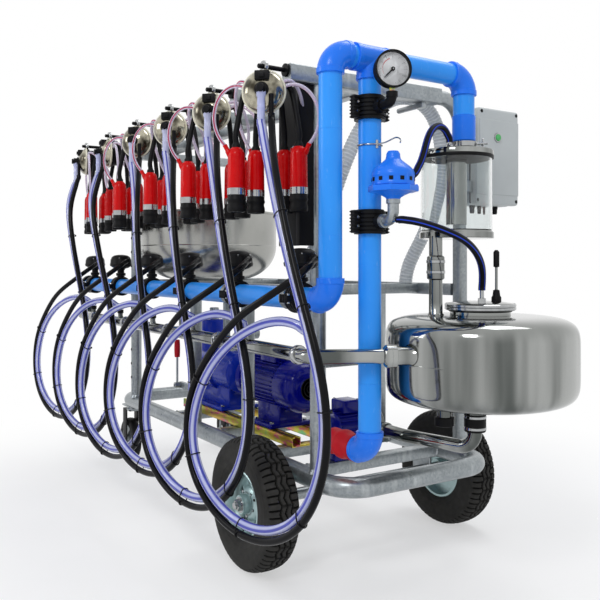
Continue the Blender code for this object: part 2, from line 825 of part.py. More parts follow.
def near_hoop():
    half = TOP_BEAM / 2
    beam_end = BASE_HALF_WIDTH - HOOP_BEND_R - BEAM_SHORT
    path = rounded_path([(HOOP_X, BASE_HALF_WIDTH, BASE_Z), (HOOP_X, BASE_HALF_WIDTH, TOP_Z),
                         (HOOP_X, 0.0, TOP_Z)],
                        HOOP_BEND_R)
    solid = coped(swept(path, POST_R), HOOP_X, BASE_HALF_WIDTH)
    post = coped(rod((HOOP_X, -BASE_HALF_WIDTH, BASE_Z), (HOOP_X, -BASE_HALF_WIDTH, TOP_Z), POST_R),
                 HOOP_X, -BASE_HALF_WIDTH)
    beam = box((HOOP_X - half, ARM_END_Y, TOP_Z - half), (HOOP_X + half, beam_end, TOP_Z + half))
    solid = fuse(solid, beam, post)
    arm = SQUARE_TUBE / 2
    rail_end = hook_x(STATIONS - 1) - arm
    solid = fuse(solid, box((rail_end, RAIL_Y - arm, TOP_Z - arm), (HOOP_X, RAIL_Y + arm, TOP_Z + arm)))
    for station in range(STATIONS):
        x = hook_x(station)
        if station:
            solid = fuse(solid, box((x - arm, ARM_END_Y, TOP_Z - arm), (x + arm, RAIL_Y, TOP_Z + arm)))
        solid = fuse(solid, hanger_peg(x))
    bar_z = (RECEIVER_LOW_Z + RECEIVER_TOP_Z) / 2 - RECEIVER_BAR_DROP
    bar = box((HOOP_X - arm / 2, -BASE_HALF_WIDTH, bar_z - arm),
              (HOOP_X + arm / 2, BASE_HALF_WIDTH, bar_z + arm))
    saddle = box((HOOP_X, RECEIVER_Y - RECEIVER_SEAT_HALF, bar_z - arm),
                 (RECEIVER_X - RECEIVER_R + RECEIVER_SEAT_BITE, RECEIVER_Y + RECEIVER_SEAT_HALF,
                  bar_z + arm))
    seat = rod((RECEIVER_X, RECEIVER_Y, RECEIVER_LOW_Z), (RECEIVER_X, RECEIVER_Y, RECEIVER_TOP_Z),
               RECEIVER_R + SEAT_GAP, RECEIVER_SIDES)
    solid = fuse(solid, bar, cut(saddle, seat))
    stub_y = REGULATOR_PIPE_Y
    solid = fuse(solid, rod((HOOP_X, stub_y, SUCTION_Z), (HOOP_X + STUB_LENGTH, stub_y, SUCTION_Z), PIPE_R))
    for z in (BOX_Z[0] + BOX_BRACKET_IN[0], BOX_Z[1] - BOX_BRACKET_IN[1]):
        solid = fuse(solid, box((HOOP_X - arm * 1.5, BASE_HALF_WIDTH - arm * 0.3, z - arm),
                                (HOOP_X - arm * 0.4, BOX_Y[0] - SEAT_GAP, z + arm)))
    peg = rod((HOOP_X, SPIRAL_PEG_Y, SPIRAL_PEG_Z), (HOOP_X - SPIRAL_PEG_LENGTH, SPIRAL_PEG_Y,
                                                     SPIRAL_PEG_Z),
              SPIRAL_PEG_R, 8)
    tab = box((HOOP_X - arm, SPIRAL_PEG_Y - arm / 2, SPIRAL_PEG_Z - arm / 2),
              (HOOP_X + arm / 2, SPIRAL_PEG_Y + arm / 2, TOP_Z))
    duct = box((HOOP_X - DUCT_HALF_X, DUCT_Y[0], DUCT_LOW_Z), (HOOP_X + DUCT_HALF_X, DUCT_Y[1], TOP_Z))
    solid = fuse(solid, tab, peg, duct)
    return node("near_hoop", solid, "galvanised")


def far_hoop():
    beam_half = SQUARE_TUBE / 2
    top = TOP_Z - SQUARE_TUBE / 2 - SEAT_GAP
    beam_z = top - beam_half
    solid = box((FAR_HOOP_X - beam_half, -BASE_HALF_WIDTH - POST_R, beam_z - beam_half),
                (FAR_HOOP_X + beam_half, BASE_HALF_WIDTH + POST_R, top))
    for y in (-BASE_HALF_WIDTH, BASE_HALF_WIDTH):
        solid = fuse(solid, coped(rod((FAR_HOOP_X, y, BASE_Z), (FAR_HOOP_X, y, beam_z), POST_R), FAR_HOOP_X,
                                  y))
    return node("far_hoop", solid, "galvanised")


def platform():
    half = SQUARE_TUBE / 2
    light = LIGHT_TUBE / 2
    near = HOOP_X - POST_R - SEAT_GAP
    far = FAR_HOOP_X + POST_R + SEAT_GAP
    solid = box((far, -BASE_HALF_WIDTH - half, PLATFORM_Z - half),
                (near, -BASE_HALF_WIDTH + half, PLATFORM_Z + half))
    deck = PLATFORM_Z + half - 0.001
    for x in PLATFORM_CROSS_X:
        solid = fuse(solid, box((x - light, -BASE_HALF_WIDTH, deck - LIGHT_TUBE),
                                (x + light, BASE_HALF_WIDTH, deck)))
    solid = fuse(solid, box((far, BASE_HALF_WIDTH - half, PLATFORM_Z - half),
                            (near, BASE_HALF_WIDTH + half, PLATFORM_Z + half)))
    for x in PLATFORM_POSTS_X:
        for y in (-BASE_HALF_WIDTH, BASE_HALF_WIDTH):
            solid = fuse(solid, coped(box((x - light, y - light, BASE_Z),
                                          (x + light, y + light, PLATFORM_Z)), x, y))
    for x in BRACKETS_X:
        solid = fuse(solid, line_bracket(x))
    return node("platform", solid, "galvanised")


def line_bracket(x):
    """Flat bracket that carries the vacuum line and, on its hanging leg, the milk line."""
    half = BRACKET_T / 2
    upper = box((x - half, RISER_Y + PIPE_R + SEAT_GAP, LINE_Z - half),
                (x + half, -BASE_HALF_WIDTH, LINE_Z + half))
    leg = box((x - half * 0.9, MILK_STANDOFF_Y - half, MILK_LINE_Z - half),
              (x + half * 0.9, MILK_STANDOFF_Y + half, LINE_Z))
    lower = box((x - half * 0.8, MILK_LINE_Y + MILK_PIPE_R + SEAT_GAP, MILK_LINE_Z - half * 0.8),
                (x + half * 0.8, MILK_STANDOFF_Y, MILK_LINE_Z + half * 0.8))
    return fuse(upper, leg, lower)


def wash_tub():
    foot_z = PLATFORM_Z + SQUARE_TUBE / 2 - 0.001 + SEAT_GAP
    sheet = TUB_SHEET
    mid_r = (TUB_FOOT_R + TUB_R * 2) / 3
    mid_z = foot_z + (TUB_WALL_Z - foot_z) * 0.42
    outer = [(TUB_FOOT_R, foot_z), (mid_r, mid_z), (TUB_R, TUB_WALL_Z), (TUB_R, TUB_TOP_Z - TUB_RIM),
             (TUB_R + TUB_RIM, TUB_TOP_Z - TUB_RIM), (TUB_R + TUB_RIM, TUB_TOP_Z)]
    inner = [(TUB_R - sheet, TUB_TOP_Z), (TUB_R - sheet, TUB_WALL_Z), (mid_r - sheet, mid_z + sheet),
             (TUB_FOOT_R - sheet, foot_z + sheet)]
    solid = turned(outer + inner, (TUB_X, TUB_Y, 0), (0, 0, 1), 20)
    return node("wash_tub", solid, "stainless")


# Vacuum system

def socket(place, direction):
    start = Vector(place)
    return rod(start, start + Vector(direction) * SOCKET_LENGTH, SOCKET_R, PIPE_SIDES)


def elbow(place, first, second):
    """A socket elbow: two sockets on a round heel."""
    place = Vector(place)
    ends = [place + Vector(way) * SOCKET_LENGTH for way in (first, second)]
    return swept(rounded_path([ends[0], place, ends[1]], ELBOW_BEND_R, BEND_STEPS), SOCKET_R)


def pipe(start, end, start_in=0.0, end_in=0.0):
    """A straight pipe, each end pulled back so that it stops inside its socket."""
    start, end = Vector(start), Vector(end)
    along = (end - start).normalized()
    return rod(start + along * start_in, end - along * end_in, PIPE_R)


def vacuum_header():
    up, down, back, left, right = (0, 0, 1), (0, 0, -1), (-1, 0, 0), (0, -1, 0), (0, 1, 0)
    top_left = (HEADER_X, RISER_Y, HEADER_Z)
    top_mid = (HEADER_X, REGULATOR_PIPE_Y, HEADER_Z)
    top_right = (HEADER_X, TRAP_DROP_Y, HEADER_Z)
    low_left = (HEADER_X, RISER_Y, LINE_Z)
    low_mid = (HEADER_X, REGULATOR_PIPE_Y, SUCTION_Z)
    inside = SOCKET_LENGTH * 0.9
    tee = Vector((0, SOCKET_LENGTH, 0))
    solid = fuse(
        elbow(top_left, down, right),
        pipe(top_left, top_right, inside, inside),
        rod(Vector(top_mid) - tee, Vector(top_mid) + tee, SOCKET_R),
        elbow(top_right, left, down),
        pipe(top_right, (HEADER_X, TRAP_DROP_Y, FERRULE_TOP_Z + SEAT_GAP), inside),
        pipe(top_left, low_left, inside, inside),
        elbow(low_left, up, back),
        socket(top_mid, down),
        pipe(top_mid, low_mid, inside, inside),
        elbow(low_mid, up, back),
    )
    return node("vacuum_header", solid, "pipe_blue")


def pulsator_x(station):
    return PULSATOR_X - PLACE_PITCH * station


def pulsator(x):
    """Saddle on the vacuum line, necked dome above it and side nipple."""
    low, r, height = PULSATOR_BODY_Z, PULSATOR_BODY_R, PULSATOR_BODY_H
    saddle = rod((x - SADDLE_HALF_L, RISER_Y, LINE_Z), (x + SADDLE_HALF_L, RISER_Y, LINE_Z), SADDLE_R)
    profile = [(PULSATOR_NECK_R, LINE_Z + SADDLE_R * 0.8), (PULSATOR_NECK_R, low),
               (r * 0.95, low + height * 0.2),
               (r, low + height * 0.5), (r * 0.6, low + height)]
    dome = turned(profile, (x, RISER_Y, 0), (0, 0, 1), 8)
    nipple_z = low + height * 0.5
    nipple = rod((x, RISER_Y, nipple_z), (x + PULSE_NIPPLE_X, RISER_Y, nipple_z), PULSE_NIPPLE_R, 6)
    return saddle, dome, nipple


def vacuum_line():
    near_x = HEADER_X - SOCKET_LENGTH - SEAT_GAP
    solid = rod((near_x, RISER_Y, LINE_Z), (LINE_FAR_X, RISER_Y, LINE_Z), PIPE_R)
    solid = fuse(solid, rod((LINE_FAR_X, RISER_Y, LINE_Z), (LINE_FAR_X + 0.03, RISER_Y, LINE_Z), SADDLE_R))
    for station in range(STATIONS):
        solid = fuse(solid, *pulsator(pulsator_x(station)))
    return node("vacuum_line", solid, "pipe_blue")


def red_coupling():
    far_x = HOOP_X + STUB_LENGTH + SEAT_GAP
    length = HEADER_X - SOCKET_LENGTH - SEAT_GAP - far_x
    profile = [(SOCKET_R, 0), (SOCKET_R + 0.004, length * 0.12), (SOCKET_R + 0.004, length * 0.28),
               (SOCKET_R, length * 0.32),
               (SOCKET_R, length * 0.68), (SOCKET_R + 0.004, length * 0.72),
               (SOCKET_R + 0.004, length * 0.88), (SOCKET_R, length)]
    return node("red_coupling", turned(profile, (far_x, REGULATOR_PIPE_Y, SUCTION_Z), (1, 0, 0),
                                       PIPE_SIDES), "red_rubber")


def hose_tail(end, beyond, length):
    """A nipple that stops just short of a hose end, in line with the hose's lead."""
    end = Vector(end)
    back = (end - Vector(beyond)).normalized()
    return rod(end + back * SEAT_GAP, end + back * length, HOSE_TAIL_R, 8)


def pipe_saddle(z, half_height=0.022):
    """Split clamp round the regulator pipe, facet on facet, with a boss that faces +X."""
    bore = PIPE_R + SEAT_GAP / math.cos(math.pi / PIPE_SIDES)
    ring = turned([(bore, -half_height), (SADDLE_R, -half_height), (SADDLE_R, half_height),
                   (bore, half_height)],
                  (HEADER_X, REGULATOR_PIPE_Y, z), (0, 0, 1), PIPE_SIDES, ring=True)
    boss = rod((HEADER_X + SADDLE_R * 0.85, REGULATOR_PIPE_Y, z),
               (HEADER_X + SADDLE_R + 0.012, REGULATOR_PIPE_Y, z), BRANCH_R + 0.005)
    return fuse(ring, boss)


def regulator():
    y = REGULATOR_PIPE_Y
    base = REGULATOR_BASE_Z
    r = REGULATOR_R
    bell = turned(
        [(r * 0.45, base), (r * 0.92, base + REGULATOR_H * 0.30), (r, base + REGULATOR_H * 0.36),
         (r, base + REGULATOR_H * 0.46),
         (r * 0.86, base + REGULATOR_H * 0.50), (r * 0.84, base + REGULATOR_H * 0.74),
         (r * 0.3, base + REGULATOR_H * 0.86),
         (r * 0.25, base + REGULATOR_H)],
        (REGULATOR_X, y, 0), (0, 0, 1), 12)
    for window in range(REGULATOR_WINDOWS):
        angle = 2 * math.pi * (window + 0.5) / REGULATOR_WINDOWS
        out = Vector((math.cos(angle), math.sin(angle), 0))
        middle = Vector((REGULATOR_X, y, base + REGULATOR_H * 0.62)) + out * r * 0.86
        slot = box((-0.008, -0.009, -0.010), (0.008, 0.009, 0.010))
        slot.data.transform(Matrix.Translation(middle) @ Matrix.Rotation(angle, 4, "Z"))
        bell = cut(bell, slot)
    path = rounded_path([(HEADER_X + SADDLE_R, y, REGULATOR_SADDLE_Z), (REGULATOR_X, y, REGULATOR_SADDLE_Z),
                         (REGULATOR_X, y, base + 0.02)], 0.025, 3)
    nipple = hose_tail(TRAP_HOSE_ROUTE[0], TRAP_HOSE_ROUTE[1], REGULATOR_R * 1.45)
    branch = hose_tail(RECEIVER_HOSE_ROUTE[0], RECEIVER_HOSE_ROUTE[1], REGULATOR_R)
    solid = fuse(pipe_saddle(REGULATOR_SADDLE_Z), swept(path, BRANCH_R), bell, nipple, branch)
    return node("regulator", solid, "pipe_blue")


def gauge():
    facing = Vector((math.cos(GAUGE_YAW), math.sin(GAUGE_YAW), 0))
    centre = Vector((GAUGE_X, REGULATOR_PIPE_Y, GAUGE_Z))
    back = centre - facing * GAUGE_DEPTH / 2
    dial = GAUGE_DEPTH - GAUGE_DIAL_DEPTH
    case = turned([(GAUGE_R, 0), (GAUGE_R, GAUGE_DEPTH), (GAUGE_R - GAUGE_RING, GAUGE_DEPTH),
                   (GAUGE_R - GAUGE_RING, dial)],
                  back, facing, 16)
    spindle = rod(back + facing * (dial - 0.004), back + facing * (dial + 0.0075), NEEDLE_HUB_R * 0.4, 8)
    stem = rounded_path([(HEADER_X + SADDLE_R, REGULATOR_PIPE_Y, GAUGE_SADDLE_Z),
                         (GAUGE_X, REGULATOR_PIPE_Y, GAUGE_SADDLE_Z),
                         (GAUGE_X, REGULATOR_PIPE_Y, GAUGE_Z - GAUGE_R + 0.01)], 0.02, 3)
    case = fuse(case, spindle, swept(stem, BRANCH_R * 0.8, 10), pipe_saddle(GAUGE_SADDLE_Z))
    node("gauge_case", case, "black_rubber")
    face = back + facing * (dial + 0.003)
    axis = pivot("gauge_needle_axis", face)
    rest = math.radians(-45.0)
    hub = turned([(NEEDLE_HUB_R * 0.4 + SEAT_GAP, 0), (NEEDLE_HUB_R, 0), (NEEDLE_HUB_R, NEEDLE_T * 2),
                  (NEEDLE_HUB_R * 0.4 + SEAT_GAP, NEEDLE_T * 2)],
                 face, facing, 8, ring=True)
    side = facing.cross(Vector((0, 0, 1)))
    pointing = math.cos(rest) * side + math.sin(rest) * Vector((0, 0, 1))
    across = facing.cross(pointing)
    bm = bmesh.new()
    for depth in (0.0, NEEDLE_T):
        for along, wide in ((NEEDLE_LENGTH, 0.3), (NEEDLE_HUB_R * 0.7, 1.0)):
            for edge in (-1, 1):
                bm.verts.new(face + facing * depth + pointing * along + across * edge * wide * NEEDLE_HALF_W)
    bmesh.ops.convex_hull(bm, input=bm.verts)
    arm = as_object(bm)
    node("gauge_needle", fuse(hub, arm), "black_steel", face, axis)


# Milk system


def receiver():
    r = RECEIVER_R
    s = RECEIVER_SHOULDER
    low, top = RECEIVER_LOW_Z, RECEIVER_TOP_Z
    lower = [(r * RECEIVER_CROWN, low)] + [(r - s * inset, low + s * rise) for inset, rise in RECEIVER_DISH]
    upper = [(radius, low + top - z) for radius, z in reversed(lower)]
    solid = turned(lower + upper, (RECEIVER_X, RECEIVER_Y, 0), (0, 0, 1), RECEIVER_SIDES)
    inlet, toward = milk_neck()
    stub = rod(inlet - toward * INLET_NECK / 2, inlet + toward * INLET_NECK, MILK_PIPE_R + NECK_WALL)
    flange = rod(inlet + toward * (INLET_NECK - FLANGE_T), inlet + toward * INLET_NECK, UNION_R)
    outlet_y = RECEIVER_Y - OUTLET_IN
    outlet = rod((RECEIVER_X, outlet_y, low + s / 2), (RECEIVER_X, outlet_y, low - OUTLET_DROP), UNION_R)
    x, y = RECEIVER_X + DRAIN_OFFSET[0], RECEIVER_Y + DRAIN_OFFSET[1]
    drain = rod((x, y, low + s / 2), (x, y, low - DRAIN_DROP), MILK_PIPE_R)
    cap = rod((x, y, low - DRAIN_CAP[0]), (x, y, low - DRAIN_CAP[1]), CAP_R)
    return node("receiver", fuse(solid, stub, flange, outlet, drain, cap), "stainless")


def milk_neck():
    """Where the milk line meets the receiver's wall, and the way from there to the line's turn."""
    inlet = Vector((RECEIVER_X, RECEIVER_Y - RECEIVER_R, MILK_LINE_Z))
    turn = Vector((MILK_TURN_X, MILK_LINE_Y, MILK_LINE_Z))
    return inlet, (turn - inlet).normalized()


def receiver_lid():
    base = RECEIVER_TOP_Z + SEAT_GAP
    profile = [(MANHOLE_R, base), (MANHOLE_R, base + LID_H * 0.35), (LID_R, base + LID_H * 0.4),
               (LID_R, base + LID_H * 0.8), (LID_R - 0.012, base + LID_H)]
    centre = (RECEIVER_X, RECEIVER_Y, 0)
    solid = turned(profile, centre, (0, 0, 1), 24)
    probe_x, probe_y = RECEIVER_X + PROBE_OFFSET[0], RECEIVER_Y + PROBE_OFFSET[1]
    boot = rod((probe_x, probe_y, base + LID_H * 0.9), (probe_x, probe_y, base + LID_H + 0.03), 0.013, 10)
    probe = rod((probe_x, probe_y, base + LID_H), (probe_x, probe_y, PROBE_TOP_Z), PROBE_R, 8)
    tail = hose_tail(RECEIVER_HOSE_ROUTE[-1], RECEIVER_HOSE_ROUTE[-2], LID_H)
    return node("receiver_lid", fuse(solid, boot, probe, tail), "stainless")


def trap():
    centre = (TRAP_X, TRAP_Y, 0)
    jar = turned([(TRAP_R - TRAP_WALL, TRAP_LOW_Z), (TRAP_R, TRAP_LOW_Z), (TRAP_R, TRAP_TOP_Z),
                  (TRAP_R - TRAP_WALL, TRAP_TOP_Z)],
                 centre, (0, 0, 1), TRAP_SIDES, ring=True)
    node("trap_cylinder", jar, "clear")
    lid_low = TRAP_TOP_Z + SEAT_GAP
    lid = rod((TRAP_X, TRAP_Y, lid_low), (TRAP_X, TRAP_Y, lid_low + TRAP_PLATE_T), TRAP_PLATE_R, TRAP_SIDES)
    ferrule = turned([(PIPE_R, lid_low + TRAP_PLATE_T / 2), (PIPE_R, FERRULE_TOP_Z - FERRULE_NECK),
                      (FERRULE_R, FERRULE_TOP_Z - FERRULE_LIP), (FERRULE_R, FERRULE_TOP_Z)],
                     (HEADER_X, TRAP_DROP_Y, 0), (0, 0, 1), 16)
    tail = hose_tail(TRAP_HOSE_ROUTE[-1], TRAP_HOSE_ROUTE[-2], TRAP_PLATE_T)
    node("trap_lid", fuse(lid, ferrule, tail), "stainless")
    plate_top = TRAP_LOW_Z - SEAT_GAP
    plate = rod((TRAP_X, TRAP_Y, plate_top - TRAP_PLATE_T), (TRAP_X, TRAP_Y, plate_top), TRAP_PLATE_R,
                TRAP_SIDES)
    foot = RECEIVER_TOP_Z + SEAT_GAP
    pipe = turned([(TRAP_PIPE_R, foot), (TRAP_PIPE_R, TRAP_SLEEVE_Z[0] - SLEEVE_STEP),
                   (TRAP_SLEEVE_R, TRAP_SLEEVE_Z[0]), (TRAP_SLEEVE_R, TRAP_SLEEVE_Z[1]),
                   (TRAP_PIPE_R, TRAP_SLEEVE_Z[1] + SLEEVE_STEP),
                   (TRAP_PIPE_R, plate_top - TRAP_PLATE_T / 2)], (TRAP_PIPE_X, TRAP_PIPE_Y, 0), (0, 0, 1),
                   PIPE_SIDES)
    node("trap_pipe", fuse(plate, pipe), "stainless")


def milk_inlet_x(station):
    return MILK_INLET_X - PLACE_PITCH * station


def milk_line():
    inlet, toward = milk_neck()
    turn = Vector((MILK_TURN_X, MILK_LINE_Y, MILK_LINE_Z))
    end = inlet + toward * (INLET_NECK + SEAT_GAP)
    heel = Vector((MILK_FAR_X, MILK_LINE_Y, MILK_LINE_Z))
    path = rounded_path([heel + Vector(MILK_HEEL), heel, turn, end], MILK_BEND_R, BEND_STEPS)
    collar = rod(end, end + toward * FLANGE_T, UNION_R)
    along = Vector((1, 0, 0))
    ring = rod(turn - along * MILK_RING_BACK[0], turn - along * MILK_RING_BACK[1], CAP_R)
    solid = fuse(swept(path, MILK_PIPE_R), collar, ring)
    for station in range(STATIONS):
        x = milk_inlet_x(station)
        solid = fuse(solid, rod((x, MILK_LINE_Y, MILK_LINE_Z), (x, MILK_LINE_Y, INLET_TOP_Z), INLET_R, 8))
    return node("milk_line", solid, "stainless")


def delivery_pipe():
    top = Vector((RECEIVER_X, RECEIVER_Y - OUTLET_IN, RECEIVER_LOW_Z - OUTLET_DROP - SEAT_GAP))
    end = Vector((DELIVERY_END_X, DELIVERY_END_Y, DELIVERY_Z))
    lead = Vector((DELIVERY_LEAD, 0, 0))
    path = rounded_path([top, (top.x, top.y, DELIVERY_Z), end + lead, end], DELIVERY_BEND_R, BEND_STEPS + 1)
    sleeve = rod(top, top - Vector((0, 0, DELIVERY_SLEEVE)), UNION_R)
    return node("delivery_pipe", fuse(swept(path, MILK_PIPE_R), sleeve), "stainless")


def milk_pump():
    """Volute on the delivery pipe with its motor lying across the trolley."""
    x, z = MILK_PUMP_X, MILK_PUMP_Z
    floor = BASE_Z + SQUARE_TUBE / 2 + SEAT_GAP
    volute_y = DELIVERY_END_Y
    volute = rod((x, volute_y - VOLUTE_HALF, z), (x, volute_y + VOLUTE_HALF, z), MILK_PUMP_R + VOLUTE_WALL,
                 16)
    inlet = rod((x, volute_y, z), (DELIVERY_END_X - SEAT_GAP, volute_y, z), MILK_PIPE_R + NECK_WALL)
    r, length = MILK_PUMP_R, MILK_MOTOR_L
    motor = turned([(r * 0.7, 0), (r, length * 0.12), (r, length * 0.8), (r * 0.9, length * 0.84),
                    (r * 0.9, length)],
                   (x, volute_y - VOLUTE_HALF * 0.8, z), (0, -1, 0), 16)
    foot = box((x - MILK_FOOT_HALF, volute_y + MILK_FOOT_Y[0], floor),
               (x + MILK_FOOT_HALF, volute_y + MILK_FOOT_Y[1], z))
    terminal = box((x - MILK_TERMINAL_HALF, volute_y + MILK_TERMINAL_Y[0], z + r / 2),
                   (x + MILK_TERMINAL_HALF, volute_y + MILK_TERMINAL_Y[1], z + r + MILK_TERMINAL_H))
    return node("milk_pump", fuse(volute, inlet, motor, foot, terminal), "motor_blue")


# Vacuum pump set

def motor_rails():
    low = BASE_Z + SQUARE_TUBE / 2 + SEAT_GAP
    half = RAIL_WIDTH / 2
    far, near = PUMP_FAR_X - RAIL_OVERHANG[0], MOTOR_NEAR_X + RAIL_OVERHANG[1]
    solid = None
    for y in (PUMP_SET_Y - RAIL_SPREAD, PUMP_SET_Y + RAIL_SPREAD):
        rail = box((far, y - half, low), (near, y + half, RAIL_TOP_Z))
        groove = box((far + RAIL_TIE_HALF, y - half / 3, RAIL_TOP_Z - RAIL_GROOVE),
                     (near - RAIL_TIE_HALF, y + half / 3, RAIL_TOP_Z + RAIL_GROOVE))
        rail = cut(rail, groove)
        solid = fuse(solid, rail) if solid else rail
    for x in (far + RAIL_TIE_HALF, (far + near) / 2, near - RAIL_TIE_HALF):
        solid = fuse(solid, box((x - RAIL_TIE_HALF, PUMP_SET_Y - RAIL_SPREAD, low),
                                (x + RAIL_TIE_HALF, PUMP_SET_Y + RAIL_SPREAD, low + RAIL_TIE_T)))
    return node("motor_rails", solid, "yellow_zinc")


def machine_foot(far_x, near_x, shaft_r):
    """Foot plate on both rails and the web that carries the machine above it."""
    low = RAIL_TOP_Z + SEAT_GAP
    plate = box((far_x, PUMP_SET_Y - FOOT_SPREAD, low), (near_x, PUMP_SET_Y + FOOT_SPREAD, low + FOOT_T))
    web = box((far_x, PUMP_SET_Y - WEB_HALF, low + FOOT_T / 2),
              (near_x, PUMP_SET_Y + WEB_HALF, PUMP_SET_Z - shaft_r * 0.8))
    return fuse(plate, web)


def motor():
    axis = (MOTOR_FAR_X, PUMP_SET_Y, PUMP_SET_Z)
    length = MOTOR_NEAR_X - MOTOR_FAR_X
    r = MOTOR_R
    body = turned([(r * 0.35, 0), (r * 0.95, 0.012), (r, 0.05), (r * 0.94, 0.055),
                   (r * 0.94, length * 0.72), (r, length * 0.73), (r, length * 0.95),
                   (r * 0.8, length)], axis, (1, 0, 0), 16)
    fins = []
    for step in range(MOTOR_FINS):
        angle = math.radians(18.0 + 16.0 * step)
        out = Vector((0, math.cos(angle), math.sin(angle)))
        fin = box((MOTOR_FAR_X + length * 0.17, -MOTOR_FIN_T / 2, 0),
                  (MOTOR_FAR_X + length * 0.71, MOTOR_FIN_T / 2, MOTOR_FIN_H))
        fin.data.transform(Matrix.Translation(Vector((0, PUMP_SET_Y, PUMP_SET_Z)) + out * (r * 0.92))
                           @ Matrix.Rotation(angle - math.pi / 2, 4, "X"))
        fins.append(fin)
    foot_x = MOTOR_FAR_X + length * 0.3
    terminal = box((foot_x + TERMINAL_ENDS[0], PUMP_SET_Y - WEB_HALF, PUMP_SET_Z + r * 0.85),
                   (foot_x + TERMINAL_ENDS[1], PUMP_SET_Y + WEB_HALF, PUMP_SET_Z + r + TERMINAL_H))
    solid = fuse(body, *fins, machine_foot(foot_x, foot_x + MOTOR_FOOT, r), terminal)
    return node("motor", solid, "motor_blue")


def vacuum_pump():
    length = PUMP_NEAR_X - PUMP_FAR_X
    coupling_end = MOTOR_FAR_X - SEAT_GAP - PUMP_FAR_X
    r = PUMP_R
    body = turned([(r * 0.8, 0), (r, 0.012), (r, length * 0.42), (r * 1.12, length * 0.44),
                   (r * 1.12, length * 0.52), (r, length * 0.54),
                   (r, length * 0.9), (r * 0.55, length * 0.92), (r * 0.55, coupling_end)],
                  (PUMP_FAR_X, PUMP_SET_Y, PUMP_SET_Z), (1, 0, 0), 16)
    tank_foot = Vector((PUMP_FAR_X + TANK_IN, PUMP_SET_Y, PUMP_SET_Z))
    tank = rod(tank_foot, tank_foot + Vector((0, 0, TANK_H)), TANK_R, 12)
    exhaust = rod(tank_foot + Vector((0, 0, TANK_H - EXHAUST_R)), tank_foot + Vector((0, 0, EXHAUST_H)),
                  EXHAUST_R, 10)
    inlet_x = PUMP_FAR_X + length * 0.7
    inlet_top = PUMP_SET_Z + PUMP_INLET_H
    inlet_path = [(inlet_x, PUMP_SET_Y, PUMP_SET_Z), (inlet_x, PUMP_SET_Y, inlet_top),
                  (inlet_x, PUMP_SET_Y + PUMP_INLET_REACH, inlet_top)]
    inlet = swept(rounded_path(inlet_path, PUMP_INLET_BEND, BEND_STEPS), PUMP_INLET_R, 10)
    foot_x = PUMP_FAR_X + PUMP_FOOT_IN
    face_y = LEVER_Y + LEVER_EYE_HALF + RUN_GAP
    cheek = box((LEVER_X - LEVER_EYE_HALF, face_y, LEVER_Z - CHEEK_HALF),
                (PUMP_FAR_X + CHEEK_ENDS[1], face_y + CHEEK_T, LEVER_Z + CHEEK_HALF))
    arm = box((PUMP_FAR_X + CHEEK_ENDS[0], face_y + CHEEK_T / 2, LEVER_Z - CHEEK_HALF),
              (PUMP_FAR_X + CHEEK_ENDS[1], PUMP_SET_Y, LEVER_Z + CHEEK_HALF))
    pin = rod((LEVER_X, LEVER_Y - LEVER_EYE_HALF - LEVER_PIN_R, LEVER_Z),
              (LEVER_X, face_y + CHEEK_T / 2, LEVER_Z), LEVER_PIN_R, 8)
    solid = fuse(body, tank, exhaust, inlet, machine_foot(foot_x, foot_x + PUMP_FOOT, r), arm, cheek, pin)
    return node("vacuum_pump", solid, "pump_blue")


def drain_lever():
    """Flat lever with a red grip, on the pin of the pump's cock."""
    place = Vector((LEVER_X, LEVER_Y, LEVER_Z))
    axis = pivot("drain_lever_axis", place)
    bore, half = LEVER_PIN_R + SEAT_GAP, LEVER_EYE_HALF
    eye = turned([(bore, -half), (LEVER_EYE_R, -half), (LEVER_EYE_R, half), (bore, half)], place, (0, 1, 0),
                 12, ring=True)
    up = Vector((0, 0, 1))
    shank = rod(place + up * (LEVER_EYE_R - LEVER_PIN_R / 2), place + up * LEVER_LENGTH * 0.7,
                LEVER_SHANK_R, 8)
    grip = turned([(LEVER_GRIP_R * 0.7, LEVER_LENGTH * 0.62), (LEVER_GRIP_R, LEVER_LENGTH * 0.65),
                   (LEVER_GRIP_R, LEVER_LENGTH * 0.96), (LEVER_GRIP_R * 0.6, LEVER_LENGTH)], place,
                   (0, 0, 1), 10)
    node("drain_lever", fuse(eye, shank, grip), "cup_red", place, axis)


# Control box

